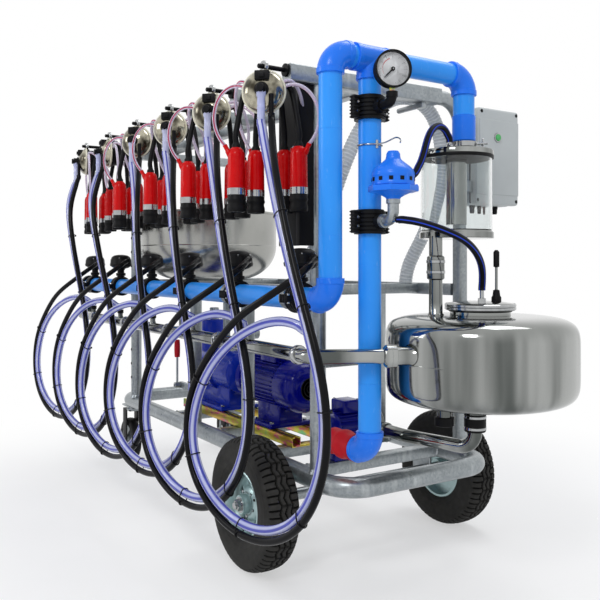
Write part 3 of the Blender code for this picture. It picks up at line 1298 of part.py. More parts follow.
def control_box():
    back = BOX_FRONT_X - BOX_DEPTH
    solid = rounded_box((back, BOX_Y[0], BOX_Z[0]), (BOX_FRONT_X, BOX_Y[1], BOX_Z[1]), BOX_ROUND, 1)
    seam = BOX_FRONT_X - BOX_LID_DEPTH
    frame = box((seam, BOX_Y[0] - 0.01, BOX_Z[0] - 0.01),
                (seam + BOX_SEAM, BOX_Y[1] + 0.01, BOX_Z[1] + 0.01))
    core = box((seam - 0.01, BOX_Y[0] + BOX_SEAM, BOX_Z[0] + BOX_SEAM),
               (seam + 0.01, BOX_Y[1] - BOX_SEAM, BOX_Z[1] - BOX_SEAM))
    solid = cut(solid, cut(frame, core))
    collar = rod((BOX_FRONT_X - BUTTON_WELL / 2, BUTTON_Y, BUTTON_Z),
                 (BOX_FRONT_X + BUTTON_COLLAR_OUT, BUTTON_Y, BUTTON_Z), BUTTON_COLLAR_R, 16)
    solid = fuse(solid, collar)
    well = rod((BOX_FRONT_X - BUTTON_WELL, BUTTON_Y, BUTTON_Z),
               (BOX_FRONT_X + BUTTON_COLLAR_OUT * 2, BUTTON_Y, BUTTON_Z), BUTTON_R + SEAT_GAP, 16)
    solid = cut(solid, well)
    for number in range(1, GLANDS + 1):
        y = BOX_Y[0] + GLAND_PITCH * number
        gland = rod((back + GLAND_PITCH, y, BOX_Z[0] + BOX_ROUND / 2),
                    (back + GLAND_PITCH, y, BOX_Z[0] - GLAND_DROP), GLAND_R, 10)
        solid = fuse(solid, gland)
    node("control_box", solid, "box_grey")
    place = (BOX_FRONT_X, BUTTON_Y, BUTTON_Z)
    axis = pivot("start_button_axis", place)
    foot = BUTTON_TRAVEL + SEAT_GAP - BUTTON_WELL
    button = turned([(BUTTON_R, foot), (BUTTON_R, BUTTON_OUT - 0.002), (BUTTON_R - 0.002, BUTTON_OUT)],
                    place, (1, 0, 0), 16)
    node("start_button", button, "button_green", place, axis)


# Clusters

def facing_of(station):
    yaw = CLAW_YAWS[station]
    return Vector((math.sin(yaw), -math.cos(yaw), 0)), Vector((math.cos(yaw), math.sin(yaw), 0))


def claw_centre(station):
    return Vector((hook_x(station), CLAW_Y, CLAW_Z))


def nozzle_end(station):
    facing, _ = facing_of(station)
    return claw_centre(station) + facing * (NOZZLE_OUT - NOZZLE_R) - Vector((0, 0, NOZZLE_DROP))


def pulse_end(station):
    """Foot of the claw's pulse tail, beside the milk nozzle."""
    facing, across = facing_of(station)
    return nozzle_end(station) + across * BUNDLE_PITCH - facing * PULSE_BACK + Vector((0, 0, PULSE_RAISE))


def teat_cup(top):
    """Shell, band and liner in one turned solid, open at the mouth below."""
    length = CUP_LENGTH
    profile = [(CUP_NECK_R, 0), (SHELL_R, -CUP_SHOULDER), (LINER_R, -SHELL_LENGTH), (LINER_R, -length),
               (LINER_BORE_R, -length),
               (LINER_BORE_R, -length + LINER_DEPTH)]
    return turned(profile, top, (0, 0, 1), 8)


def cluster(station):
    centre = claw_centre(station)
    facing, across = facing_of(station)
    up = Vector((0, 0, 1))
    bowl = turned([(CLAW_R * 0.6, -CLAW_BACK), (CLAW_R * 0.9, -CLAW_BACK * 0.8), (CLAW_RIM_R, -0.003),
                   (CLAW_RIM_R, 0.010), (CLAW_R * 0.86, CLAW_BACK * 0.7),
                   (CLAW_R * 0.4, CLAW_BACK)], centre, facing, 12)
    boss = rod(centre + facing * CLAW_BACK / 2, centre + facing * NOZZLE_OUT, CLAW_BOSS_R, 8)
    nozzle = rod(centre + facing * (NOZZLE_OUT - NOZZLE_R), nozzle_end(station), NOZZLE_R, 6)
    block = box([-half for half in CLAW_BLOCK_HALF], CLAW_BLOCK_HALF)
    turn = Matrix((across, facing, up)).transposed().to_4x4()
    block_at = centre + facing * CLAW_BLOCK_AT[0] + up * CLAW_BLOCK_AT[1]
    block.data.transform(Matrix.Translation(block_at) @ turn)
    eye = clear_radius(PEG_R, 8)
    ring = turned([(eye, -RING_HALF), (RING_R, -RING_HALF), (RING_R, RING_HALF), (eye, RING_HALF)],
                  (centre.x, CLAW_Y, PEG_Z), (0, 1, 0), 8, ring=True)
    lug = box((centre.x - LUG_HALF, CLAW_Y - RING_HALF, CLAW_Z + CLAW_R * 0.7),
              (centre.x + LUG_HALF, CLAW_Y + RING_HALF, PEG_Z - RING_R * 0.7))
    tail = rod(pulse_end(station) + up * PULSE_TAIL_L, pulse_end(station), PULSE_NIPPLE_R, 6)
    solid = fuse(bowl, boss, nozzle, block, lug, ring, tail)
    for side, behind in CUP_PLACES:
        top = centre + across * side - facing * behind + up * CUP_TOP_Z
        start = centre + across * side * 0.3 - facing * 0.03 + up * 0.005
        rise = centre + across * side * 0.72 - facing * (behind * 0.5 + 0.028) + up * 0.018
        tube = swept(smooth_route([start, rise, top + up * 0.045, top - up * 0.008], 0.06), MILK_TUBE_R, 5)
        solid = fuse(solid, fuse(teat_cup(top), tube))
    bore = rod(centre + facing * (NOZZLE_OUT - VALVE_STEM_L - 0.002), centre + facing * (NOZZLE_OUT + 0.01),
               VALVE_STEM_R + RUN_GAP, 8)
    return node(f"cluster_{station + 1}", cut(solid, bore), "claw", centre)


def claw_valve(station):
    facing, _ = facing_of(station)
    face = claw_centre(station) + facing * NOZZLE_OUT
    axis = pivot(f"claw_valve_{station + 1}_axis", face)
    profile = [(VALVE_STEM_R, -VALVE_STEM_L), (VALVE_STEM_R, SEAT_GAP), (VALVE_R, SEAT_GAP),
               (VALVE_R, VALVE_T - 0.002), (VALVE_R - 0.002, VALVE_T)]
    node(f"claw_valve_{station + 1}", turned(profile, face, facing, 8), "black_rubber", face, axis)


def loop_point(station, index):
    """A point of the first hose's route, moved to another station and hung lower or higher."""
    x, y, z = LOOP_ROUTE[index]
    top, low = LOOP_ROUTE[0][2], LOOP_ROUTE[LOOP_TURN][2]
    share = min(1.0, max(0.0, (top - z) / (top - low)))
    shift = HOOK_PITCH + (PLACE_PITCH - HOOK_PITCH) * share
    hang = max(0.0, (low - z) / low)
    lean = (1.0 - share) if CLAW_YAWS[station] < 0 else 0.0
    return Vector((x - shift * station + FRONT_LEAN[0] * lean, y + FRONT_LEAN[1] * lean,
                   z - LOOP_DROPS[station] * hang))


def milk_points(station, spacing=HOSE_STEP):
    start = nozzle_end(station) - Vector((0, 0, SEAT_GAP))
    end = Vector((milk_inlet_x(station), MILK_LINE_Y, INLET_TOP_Z + SEAT_GAP))
    lead = Vector((0, 0, HOSE_LEAD))
    loop = [loop_point(station, index) for index in range(len(LOOP_ROUTE))]
    return smooth_route([start, start - lead, *loop, end + lead, end], spacing)


def pulse_points(station, spacing=HOSE_STEP):
    """Beside the milk hose on the outside of its loop, then up in front of the line to the pulsator."""
    milk = milk_points(station, spacing)
    leaves = loop_point(station, PULSE_LEAVES)
    last = min(range(len(milk)), key=lambda index: (milk[index] - leaves).length)
    start = pulse_end(station) - Vector((0, 0, SEAT_GAP))
    points = [start, start - Vector((0, 0, HOSE_LEAD))]
    for index in range(2, last + 1):
        along = (milk[index + 1] - milk[index - 1]).normalized()
        out = Vector((-along.z, 0, along.x)).normalized()
        points.append(milk[index] + out * BUNDLE_PITCH)
    x = pulsator_x(station)
    end = Vector((x + PULSE_NIPPLE_X + SEAT_GAP, RISER_Y, PULSATOR_BODY_Z + PULSATOR_BODY_H * 0.5))
    tail = [Vector((x + ahead, y, z)) for ahead, y, z in PULSE_TAIL]
    rest = smooth_route([*points[-2:], *tail, end + Vector((HOSE_LEAD, 0, 0)), end], spacing * 0.5)
    return points + rest[2:]


def hoses():
    for station in range(STATIONS):
        hose(f"milk_hose_{station + 1}", milk_points(station), MILK_HOSE_R, "clear")
        hose(f"pulse_hose_{station + 1}", pulse_points(station), PULSE_HOSE_R, "black_rubber")
    hose("spiral_hose", smooth_route(SPIRAL_ROUTE, SPIRAL_HOSE_R * 4), SPIRAL_HOSE_R, "clear")
    hose("trap_hose", smooth_route(TRAP_HOSE_ROUTE, STRIPED_HOSE_R * 4), STRIPED_HOSE_R, "black_rubber")
    hose("receiver_hose", smooth_route(RECEIVER_HOSE_ROUTE, STRIPED_HOSE_R * 4), STRIPED_HOSE_R,
         "black_rubber")


def main():
    clear_scene()
    base_frame()
    road_wheels()
    castor("left", -1)
    castor("right", 1)
    near_hoop()
    far_hoop()
    platform()
    wash_tub()
    vacuum_header()
    vacuum_line()
    red_coupling()
    regulator()
    gauge()
    receiver()
    receiver_lid()
    trap()
    milk_line()
    delivery_pipe()
    milk_pump()
    motor_rails()
    motor()
    vacuum_pump()
    drain_lever()
    control_box()
    for station in range(STATIONS):
        cluster(station)
        claw_valve(station)
    hoses()


main()
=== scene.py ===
"""Dressed model of the mobile milking machine: surfaces worked out with numpy, finishes worked out with nodes."""

import json
import math

import bmesh
import bpy
import numpy as np
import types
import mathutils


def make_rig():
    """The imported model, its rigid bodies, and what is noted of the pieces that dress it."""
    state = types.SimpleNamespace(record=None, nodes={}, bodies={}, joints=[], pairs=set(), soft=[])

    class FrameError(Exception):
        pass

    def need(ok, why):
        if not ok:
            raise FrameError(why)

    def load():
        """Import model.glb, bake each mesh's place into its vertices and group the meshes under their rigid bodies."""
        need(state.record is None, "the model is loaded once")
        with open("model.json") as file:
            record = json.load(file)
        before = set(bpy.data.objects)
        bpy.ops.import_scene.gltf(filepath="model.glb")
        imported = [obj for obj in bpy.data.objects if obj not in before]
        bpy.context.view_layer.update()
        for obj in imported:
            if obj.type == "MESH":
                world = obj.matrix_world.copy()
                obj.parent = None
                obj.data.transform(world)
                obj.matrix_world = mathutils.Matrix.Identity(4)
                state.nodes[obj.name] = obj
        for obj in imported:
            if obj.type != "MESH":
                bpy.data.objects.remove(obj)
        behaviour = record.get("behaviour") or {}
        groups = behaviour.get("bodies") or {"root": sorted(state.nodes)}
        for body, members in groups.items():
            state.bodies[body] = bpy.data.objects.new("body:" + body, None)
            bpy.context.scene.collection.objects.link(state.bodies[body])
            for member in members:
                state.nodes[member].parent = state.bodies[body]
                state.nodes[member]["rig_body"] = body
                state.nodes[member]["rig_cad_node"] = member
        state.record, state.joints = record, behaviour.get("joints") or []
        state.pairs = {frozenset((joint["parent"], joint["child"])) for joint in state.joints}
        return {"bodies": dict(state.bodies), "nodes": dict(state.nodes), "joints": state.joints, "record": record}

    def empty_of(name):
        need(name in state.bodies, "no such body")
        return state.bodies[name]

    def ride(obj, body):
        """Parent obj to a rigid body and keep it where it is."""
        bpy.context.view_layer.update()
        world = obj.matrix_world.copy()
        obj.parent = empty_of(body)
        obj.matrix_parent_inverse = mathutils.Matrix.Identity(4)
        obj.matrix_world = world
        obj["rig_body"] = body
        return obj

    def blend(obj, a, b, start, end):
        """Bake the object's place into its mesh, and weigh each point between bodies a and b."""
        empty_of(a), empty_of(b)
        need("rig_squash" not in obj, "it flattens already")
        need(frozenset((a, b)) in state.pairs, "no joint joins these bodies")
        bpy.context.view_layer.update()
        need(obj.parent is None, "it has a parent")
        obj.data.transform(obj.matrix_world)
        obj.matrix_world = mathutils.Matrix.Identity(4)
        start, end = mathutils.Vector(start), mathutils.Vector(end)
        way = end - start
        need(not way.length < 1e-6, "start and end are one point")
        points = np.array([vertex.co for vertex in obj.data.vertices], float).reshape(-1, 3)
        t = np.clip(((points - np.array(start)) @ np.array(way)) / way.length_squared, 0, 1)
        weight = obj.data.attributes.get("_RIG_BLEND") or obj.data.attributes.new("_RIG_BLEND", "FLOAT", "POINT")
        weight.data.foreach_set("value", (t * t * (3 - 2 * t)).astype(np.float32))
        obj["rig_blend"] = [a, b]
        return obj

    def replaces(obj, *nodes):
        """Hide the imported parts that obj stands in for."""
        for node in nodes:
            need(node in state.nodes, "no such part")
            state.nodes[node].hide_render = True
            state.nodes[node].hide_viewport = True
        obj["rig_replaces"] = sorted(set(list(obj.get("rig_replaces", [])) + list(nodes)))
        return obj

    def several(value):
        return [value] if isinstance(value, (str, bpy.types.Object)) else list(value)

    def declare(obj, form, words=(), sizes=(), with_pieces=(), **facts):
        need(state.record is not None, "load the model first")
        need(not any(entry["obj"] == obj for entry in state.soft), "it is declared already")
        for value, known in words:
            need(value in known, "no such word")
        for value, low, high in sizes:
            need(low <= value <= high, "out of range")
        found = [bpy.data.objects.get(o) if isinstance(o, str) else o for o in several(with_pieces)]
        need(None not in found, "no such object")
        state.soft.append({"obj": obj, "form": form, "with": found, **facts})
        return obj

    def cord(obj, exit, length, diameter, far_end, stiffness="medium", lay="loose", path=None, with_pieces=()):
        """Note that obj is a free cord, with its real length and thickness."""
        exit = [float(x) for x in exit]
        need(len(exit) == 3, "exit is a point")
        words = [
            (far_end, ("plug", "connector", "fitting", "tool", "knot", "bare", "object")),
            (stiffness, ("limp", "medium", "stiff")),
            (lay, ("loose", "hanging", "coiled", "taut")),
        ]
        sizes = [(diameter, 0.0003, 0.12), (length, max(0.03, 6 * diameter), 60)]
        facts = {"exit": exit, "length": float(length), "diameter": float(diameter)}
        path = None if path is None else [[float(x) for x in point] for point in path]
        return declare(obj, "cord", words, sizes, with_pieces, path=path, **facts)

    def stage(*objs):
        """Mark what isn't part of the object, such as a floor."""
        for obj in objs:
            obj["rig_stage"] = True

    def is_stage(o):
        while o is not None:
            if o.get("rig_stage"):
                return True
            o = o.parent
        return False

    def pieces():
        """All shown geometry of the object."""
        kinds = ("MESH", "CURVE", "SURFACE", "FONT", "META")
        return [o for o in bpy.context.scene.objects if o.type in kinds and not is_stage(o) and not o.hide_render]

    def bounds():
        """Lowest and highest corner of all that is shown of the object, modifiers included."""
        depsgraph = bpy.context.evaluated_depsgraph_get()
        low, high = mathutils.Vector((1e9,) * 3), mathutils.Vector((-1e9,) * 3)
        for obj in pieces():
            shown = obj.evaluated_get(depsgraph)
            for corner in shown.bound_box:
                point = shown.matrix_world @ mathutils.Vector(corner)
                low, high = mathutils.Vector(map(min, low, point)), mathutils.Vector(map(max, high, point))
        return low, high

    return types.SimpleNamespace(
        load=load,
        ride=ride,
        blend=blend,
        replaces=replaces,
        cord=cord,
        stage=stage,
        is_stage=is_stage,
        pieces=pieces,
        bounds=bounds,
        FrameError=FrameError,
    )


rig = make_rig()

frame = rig.load()
cad_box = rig.bounds()

# Places and sizes, as in the solids
GAP = 0.0003
STATIONS = 6
HOOK_PITCH = 0.34
PLACE_PITCH = 0.375
AXLE_X, TRACK = 0.47, 0.81
TYRE_R, BEAD_R = 0.205, 0.107
BASE_R, BASE_Z, BASE_Y = 0.03, 0.30, 0.29
BASE_NEAR_X, BASE_FAR_X, BASE_BEND = 0.79, -1.03, 0.10
CROSS_X = (0.56, 0.30, -0.06, -0.46)
CASTOR_X, CASTOR_Y, CASTOR_R, CASTOR_TRAIL = -0.97, 0.265, 0.10, 0.045
HOOP_X, FAR_HOOP_X, POST_R, TOP_Z = 0.66, -0.87, 0.024, 1.50
ARM_END_Y, RAIL_Y = -0.40, -0.10
PEG_R, PEG_LENGTH, PEG_Z = 0.007, 0.095, 1.508
SPIRAL_PEG_Y, SPIRAL_PEG_Z, SPIRAL_PEG_R = 0.12, 1.467, 0.009
PLATFORM_Z = 0.86
PLATFORM_POSTS_X = (0.225, -0.204)
PLATFORM_CROSS_X = (0.45, -0.53, -0.73)
BRACKETS_X = (0.20, -0.18, -0.60)
TUB_X, TUB_Y, TUB_R, TUB_FOOT_R = -0.63, -0.03, 0.31, 0.14
TUB_FOOT_Z, TUB_WALL_Z, TUB_TOP_Z = 0.8793, 1.03, 1.18
PIPE_R, SOCKET_R, SOCKET_LENGTH = 0.0315, 0.0365, 0.058
HEADER_X, HEADER_Z, RISER_Y, REG_Y, DROP_Y = 0.89, 1.505, -0.405, -0.274, 0.08
LINE_Z, LINE_FAR_X, SUCTION_Z = 0.85, -1.23, 0.43
PULSATOR_X, SADDLE_R, SADDLE_HALF, SADDLE_TALL = 0.745, 0.043, 0.024, 0.033
PULSE_Z, PULSE_NIPPLE_X = 0.96, 0.064
GAUGE_X, GAUGE_Z, GAUGE_R, GAUGE_YAW = 0.985, 1.456, 0.05, math.radians(-22.0)
GAUGE_DEPTH, GAUGE_DIAL_DEPTH, GAUGE_SADDLE_Z = 0.032, 0.010, 1.37
REG_X, REG_R, REG_BASE_Z, REG_H, REG_SADDLE_Z = 0.99, 0.063, 1.115, 0.127, 1.06
REC_X, REC_Y, REC_R, REC_LOW, REC_TOP = 0.985, 0.05, 0.27, 0.55, 0.80
LID_R, LID_H = 0.10, 0.04
PROBE_X, PROBE_Y, PROBE_TOP_Z = 1.0, 0.10, 0.986
TRAP_X, TRAP_Y, TRAP_R, TRAP_LOW, TRAP_TOP = 0.91, 0.03, 0.1025, 1.045, 1.25
TRAP_PLATE_R, TRAP_PLATE_T, FERRULE_TOP = 0.107, 0.025, 1.31
TRAP_PIPE_X, TRAP_PIPE_Y = 0.92, -0.06
MILK_R, MILK_Y, MILK_Z, MILK_FAR_X, MILK_TURN_X = 0.02, -0.45, 0.70, -1.23, 0.865
MILK_INLET_X, INLET_TOP_Z, UNION_R = 0.87, 0.752, 0.031
DELIVERY_Z, DELIVERY_END_X, DELIVERY_END_Y = 0.42, 0.672, -0.03
MILK_PUMP_X, MILK_PUMP_R = 0.56, 0.065
RAIL_TOP_Z, PUMP_Y, PUMP_Z = 0.355, -0.10, 0.51
MOTOR_R, MOTOR_NEAR_X, MOTOR_FAR_X = 0.0925, 0.33, -0.08
PUMP_NEAR_X, PUMP_FAR_X, PUMP_R = -0.10, -0.53, 0.085
LEVER_X, LEVER_Y, LEVER_Z, LEVER_LENGTH = -0.565, -0.215, 0.415, 0.20
BOX_X, BOX_Y, BOX_Z = (0.55, 0.67), (0.37, 0.57), (1.155, 1.49)
BUTTON_Y, BUTTON_Z, BUTTON_R = 0.4585, 1.389, 0.012
CLAW_Y, CLAW_Z, CLAW_R = -0.475, 1.435, 0.060
CLAW_YAWS = tuple(math.radians(a) for a in (50.0, 48.0, 46.0, 44.0, -8.0, -14.0))
CUP_PLACES = ((-0.085, 0.02), (-0.040, 0.085), (0.045, 0.085), (0.097, 0.02))
CUP_TOP_Z, CUP_LENGTH, LINER_BORE_R, LINER_DEPTH = -0.150, 0.19, 0.0125, 0.08
NOZZLE_R, NOZZLE_OUT, NOZZLE_DROP = 0.011, 0.058, 0.088
MILK_HOSE_R, PULSE_HOSE_R, BUNDLE_PITCH, HOSE_LEAD = 0.013, 0.010, 0.027, 0.025
BUNDLE_LEAN, LEAN_POINTS = math.radians(18.0), 2.0
SPIRAL_HOSE_R, STRIPED_HOSE_R = 0.024, 0.010
TIE_R, TIE_SHARES = 0.0018, (0.13, 0.24, 0.35, 0.47, 0.58, 0.70, 0.80)
HOSE_STEP, FINE_STEP, SHORT_STEP, RIB_STEP = 0.15, 0.012, 0.006, 0.002
LONG_EASE = {"reach": 0.06, "passes": 3, "lead": 0.010}
SHORT_EASE = {"reach": 0.036, "passes": 2, "lead": 0.006}
HANG_LOW, HANG_HIGH = (0.0, 0.0, 0.99), (0.0, 0.0, 1.32)

LOOP_ROUTE = (
    (0.744, -0.516, 1.250), (0.812, -0.528, 1.120), (0.869, -0.532, 0.990), (0.921, -0.528, 0.880),
    (0.975, -0.530, 0.770), (1.030, -0.530, 0.655), (1.052, -0.532, 0.530), (1.025, -0.537, 0.410),
    (0.945, -0.548, 0.300), (0.800, -0.568, 0.240), (0.640, -0.592, 0.255), (0.520, -0.610, 0.330),
    (0.475, -0.618, 0.430), (0.500, -0.615, 0.540), (0.575, -0.604, 0.655), (0.680, -0.572, 0.748),
    (0.775, -0.522, 0.798), (0.842, -0.472, 0.804),
)
LOOP_TURN, PULSE_LEAVES = 4, 14
FRONT_LEAN = np.array((-0.06, -0.055, 0.0))
LOOP_DROPS = (0.0, 0.02, 0.0, 0.03, 0.01, -0.01)
PULSE_TAIL = ((-0.045, -0.585, 0.800), (0.040, -0.560, 0.842), (0.112, -0.510, 0.897), (0.126, -0.445, 0.946))
SPIRAL_ROUTE = (
    (0.450, -0.190, 0.8793), (0.450, -0.190, 0.915), (0.490, -0.180, 1.020), (0.545, -0.160, 1.150),
    (0.575, -0.120, 1.290), (0.580, -0.050, 1.410), (0.585, 0.040, 1.485), (0.585, 0.130, 1.508),
    (0.585, 0.220, 1.475), (0.580, 0.275, 1.380), (0.570, 0.285, 1.240), (0.530, 0.260, 1.080),
    (0.470, 0.235, 0.960), (0.450, 0.230, 0.915), (0.450, 0.230, 0.8793),
)
TRAP_HOSE_ROUTE = (
    (0.9850, -0.2000, 1.1850), (0.9850, -0.1800, 1.2000), (0.9830, -0.1600, 1.2450), (0.9740, -0.1380, 1.3000),
    (0.9600, -0.0950, 1.3360), (0.9490, -0.0510, 1.3330), (0.9450, -0.0300, 1.3150), (0.9450, -0.0300, 1.2923),
)
RECEIVER_HOSE_ROUTE = (
    (1.0153, -0.2740, 1.0600), (1.0350, -0.2740, 1.0600), (1.0800, -0.2600, 1.0520), (1.1050, -0.2050, 1.0320),
    (1.1050, -0.1250, 1.0060), (1.0800, -0.0500, 0.9620), (1.0480, -0.0030, 0.9150), (1.0350, 0.0050, 0.8950),
    (1.0350, 0.0050, 0.8723),
)
UP = np.array((0.0, 0.0, 1.0))


class Wire:
    """A shader socket that takes part in Python arithmetic: each operator adds one Math node."""

    def __init__(self, finish, socket):
        self.finish = finish
        self.socket = socket

    def reckon(self, operation, *values):
        return self.finish.node("ShaderNodeMath", {"operation": operation}, dict(enumerate(values)))

    def __add__(self, other):
        return self.reckon("ADD", self, other)

    def __sub__(self, other):
        return self.reckon("SUBTRACT", self, other)

    def __rsub__(self, other):
        return self.reckon("SUBTRACT", other, self)

    def __mul__(self, other):
        return self.reckon("MULTIPLY", self, other)

    def __truediv__(self, other):
        return self.reckon("DIVIDE", self, other)

    def __rtruediv__(self, other):
        return self.reckon("DIVIDE", other, self)

    def __pow__(self, other):
        return self.reckon("POWER", self, other)

    def __gt__(self, other):
        return self.reckon("GREATER_THAN", self, other)

    def __lt__(self, other):
        return self.reckon("LESS_THAN", self, other)

    def __abs__(self):
        return self.reckon("ABSOLUTE", self)

    def sine(self):
        return self.reckon("SINE", self)

    def rise(self, low, high):
        """0 below low, 1 above high, smooth between."""
        values = {"Value": self, "From Min": low, "From Max": high}
        return self.finish.node("ShaderNodeMapRange", {"interpolation_type": "SMOOTHSTEP"}, values)

    __radd__ = __add__
    __rmul__ = __mul__


class Finish:
    """One material: constants go straight on the shader's sockets, what varies is linked."""

    def __init__(self, name, **sockets):
        self.material = bpy.data.materials.new(name)
        self.material.use_nodes = True
        self.tree = self.material.node_tree
        self.shader = self.tree.nodes["Principled BSDF"]
        self.set(**sockets)

    def set(self, **sockets):
        for key, value in sockets.items():
            self.join(value, self.shader.inputs[key.replace("_", " ")])
        return self

    def join(self, value, socket):
        if isinstance(value, Wire):
            self.tree.links.new(value.socket, socket)
        elif socket.type == "RGBA":
            socket.default_value = (*value, 1.0)
        else:
            socket.default_value = value

    def node(self, kind, settings=None, inputs=None, out=0):
        made = self.tree.nodes.new(kind)
        for key, value in (settings or {}).items():
            setattr(made, key, value)
        for key, value in (inputs or {}).items():
            self.join(value, made.inputs[key])
        return Wire(self, made.outputs[out])

    def place(self):
        return self.node("ShaderNodeTexCoord", out="Object")

    def stretched(self, scale):
        return self.node("ShaderNodeMapping", {}, {"Vector": self.place(), "Scale": scale})

    def noise(self, scale, detail=3.0, vector=None):
        values = {"Vector": vector or self.place(), "Scale": scale, "Detail": detail}
        return self.node("ShaderNodeTexNoise", {}, values)

    def cells(self, scale):
        """A random grey for each Voronoi cell, as the crystals of a zinc coat."""
        colour = self.node("ShaderNodeTexVoronoi", {}, {"Vector": self.place(), "Scale": scale}, "Color")
        return self.parts(colour)[0]

    def parts(self, vector):
        made = self.tree.nodes.new("ShaderNodeSeparateXYZ")
        self.join(vector, made.inputs[0])
        return [Wire(self, made.outputs[axis]) for axis in range(3)]

    def trace(self):
        """The three numbers stored on each vertex: round and along a hose, or a mask."""
        return self.parts(self.node("ShaderNodeAttribute", {"attribute_name": "trace"}, out="Vector"))

    def rays(self, kind):
        return self.node("ShaderNodeLightPath", out=kind)

    def blend(self, factor, first, second):
        return self.node("ShaderNodeMix", {"data_type": "RGBA"}, {0: factor, 6: first, 7: second}, 2)

    def bump(self, height, strength, distance=0.001):
        values = {"Height": height, "Strength": strength, "Distance": distance}
        self.set(Normal=self.node("ShaderNodeBump", {}, values))
        return self


def galvanised():
    """Zinc crystals as Voronoi greys over cloudy noise, rougher where dull."""
    f = Finish("galvanised", Metallic=0.75)
    spangle = f.cells(150.0) * 0.28 + f.noise(9.0, 5.0) * 0.72
    streak = f.noise(30.0, 4.0, f.stretched((1.0, 1.0, 0.15))).rise(0.55, 0.75)
    colour = f.blend(spangle, (0.17, 0.195, 0.205), (0.44, 0.47, 0.485))
    f.set(Base_Color=f.blend(streak * 0.35, colour, (0.72, 0.75, 0.75)), Roughness=0.22 + spangle * 0.20)
    return f.bump(f.noise(180.0, 4.0), 0.12)


def polished():
    """Polished stainless: upright bands of brighter and darker colour as painted reflections, left out on the
    receiver's shoulder, drawn lines and haze.
    """
    f = Finish("polished_steel", Metallic=1.0)
    upright = f.stretched((1.0, 1.0, 0.05))
    lines = f.noise(60.0, 3.0, f.stretched((1.0, 1.0, 14.0)))
    # painted reflection: broad upright noise bands, near black to bright, stand in for reflections of the surroundings
    band = (f.noise(10.0, 2.0, upright) * 0.92 + f.noise(48.0, 2.0, upright) * 0.08).rise(0.36, 0.64)
    haze = f.noise(6.0, 4.0)
    height = f.parts(f.place())[2]
    # where the painted reflection bands go: all polished parts but the receiver's shoulder, gone from 0.79 to 0.81 m
    # high
    wall = 1.0 - height.rise(0.74, 0.79) * (1.0 - height.rise(0.81, 0.84))
    even = f.blend(haze, (0.22, 0.23, 0.22), (0.36, 0.37, 0.36))
    painted_reflection_steel = f.blend(band, (0.06, 0.068, 0.064), (0.38, 0.39, 0.38))
    f.set(Base_Color=f.blend(wall * 0.85, even, painted_reflection_steel), Roughness=0.05 + lines * 0.06 + haze * 0.05)
    return f.bump(lines, 0.02)


def sheet_steel():
    """Brushed stainless sheet of the tub, lines round the bowl."""
    f = Finish("sheet_steel", Metallic=1.0)
    lines = f.noise(90.0, 4.0, f.stretched((1.0, 1.0, 10.0)))
    haze = f.noise(5.0, 4.0)
    f.set(Base_Color=f.blend(haze, (0.28, 0.285, 0.27), (0.44, 0.44, 0.42)), Roughness=0.16 + lines * 0.14)
    return f.bump(lines, 0.04)


def pressure_pipe(name, dark, light):
    """Pressure pipe and its fittings: even blue, a little paler where scuffed."""
    f = Finish(name, Specular_IOR_Level=0.2, Coat_Weight=0.1, Coat_Roughness=0.08)
    cloud = f.noise(7.0, 4.0)
    scuff = f.noise(120.0, 5.0, f.stretched((1.0, 1.0, 0.25))).rise(0.62, 0.80)
    colour = f.blend(cloud, dark, light)
    f.set(Base_Color=f.blend(scuff * 0.25, colour, (0.30, 0.52, 0.95)), Roughness=0.28 + scuff * 0.2 + cloud * 0.06)
    return f.bump(f.noise(60.0, 3.0), 0.03)


def plastic_black():
    """Moulded black plastic with a fine grain."""
    f = Finish("plastic_black", Specular_IOR_Level=0.1)
    grain = f.noise(700.0, 3.0)
    cloud = f.noise(20.0, 4.0)
    f.set(Base_Color=f.blend(cloud, (0.003, 0.003, 0.004), (0.010, 0.010, 0.011)), Roughness=0.30 + cloud * 0.2)
    return f.bump(grain, 0.10, 0.0004)


def rubber_black():
    """Soft black rubber: dull bloom in clouds over a smooth skin."""
    f = Finish("rubber_black", Specular_IOR_Level=0.1)
    bloom = f.noise(25.0, 5.0)
    f.set(Base_Color=f.blend(bloom, (0.003, 0.003, 0.003), (0.011, 0.011, 0.012)), Roughness=0.34 + bloom * 0.25)
    return f.bump(f.noise(350.0, 2.0), 0.06, 0.0005)


def twin_hose():
    """Black pulse hose: fine drawn lines along it, its gloss varying with the lines and in clouds."""
    f = Finish("twin_hose", Specular_IOR_Level=0.1)
    around, other, along = f.trace()
    lines = (around * 34.0).sine() * 0.5 + 0.5
    bloom = f.noise(18.0, 4.0)
    f.set(Base_Color=f.blend(bloom, (0.002, 0.002, 0.003), (0.008, 0.008, 0.009)), Roughness=0.14 + lines * 0.06 + bloom * 0.12)
    return f.bump(lines, 0.05, 0.0003)


def striped_hose():
    """Black hose with thin blue lines along it."""
    f = Finish("striped_hose", Specular_IOR_Level=0.1)
    around, other, along = f.trace()
    line = abs(around).rise(0.972, 0.984) + abs(other).rise(0.972, 0.984)
    bloom = f.noise(30.0, 4.0)
    black = f.blend(bloom, (0.003, 0.003, 0.004), (0.010, 0.010, 0.012))
    f.set(Base_Color=f.blend(line, black, (0.02, 0.06, 0.55)), Roughness=0.30 + bloom * 0.2)
    return f.bump(f.noise(300.0, 2.0), 0.05, 0.0004)


def clear_hose():
    """Clear milk hose: lavender wall, paler in milky clouds, with deep blue bands that run along it as painted light,
    in place of the dark edges that refraction gives a clear tube.
    """
    f = Finish("clear_hose", Transmission_Weight=0.30, IOR=1.25, Coat_Weight=0.5, Coat_Roughness=0.05)
    around, other, along = f.trace()
    # painted light: deep blue bands set by the angle round the hose stand in for the dark refraction edges of a clear
    # wall
    deep = ((around + other * 0.7) * 5.2).sine().rise(-0.10, 0.80)
    milk = f.noise(14.0, 4.0)
    pale = f.blend(milk, (0.46, 0.50, 0.90), (0.84, 0.86, 0.98))
    f.set(Base_Color=f.blend(deep * 0.92, pale, (0.02, 0.03, 0.44)), Roughness=0.10 + milk * 0.10)
    return f


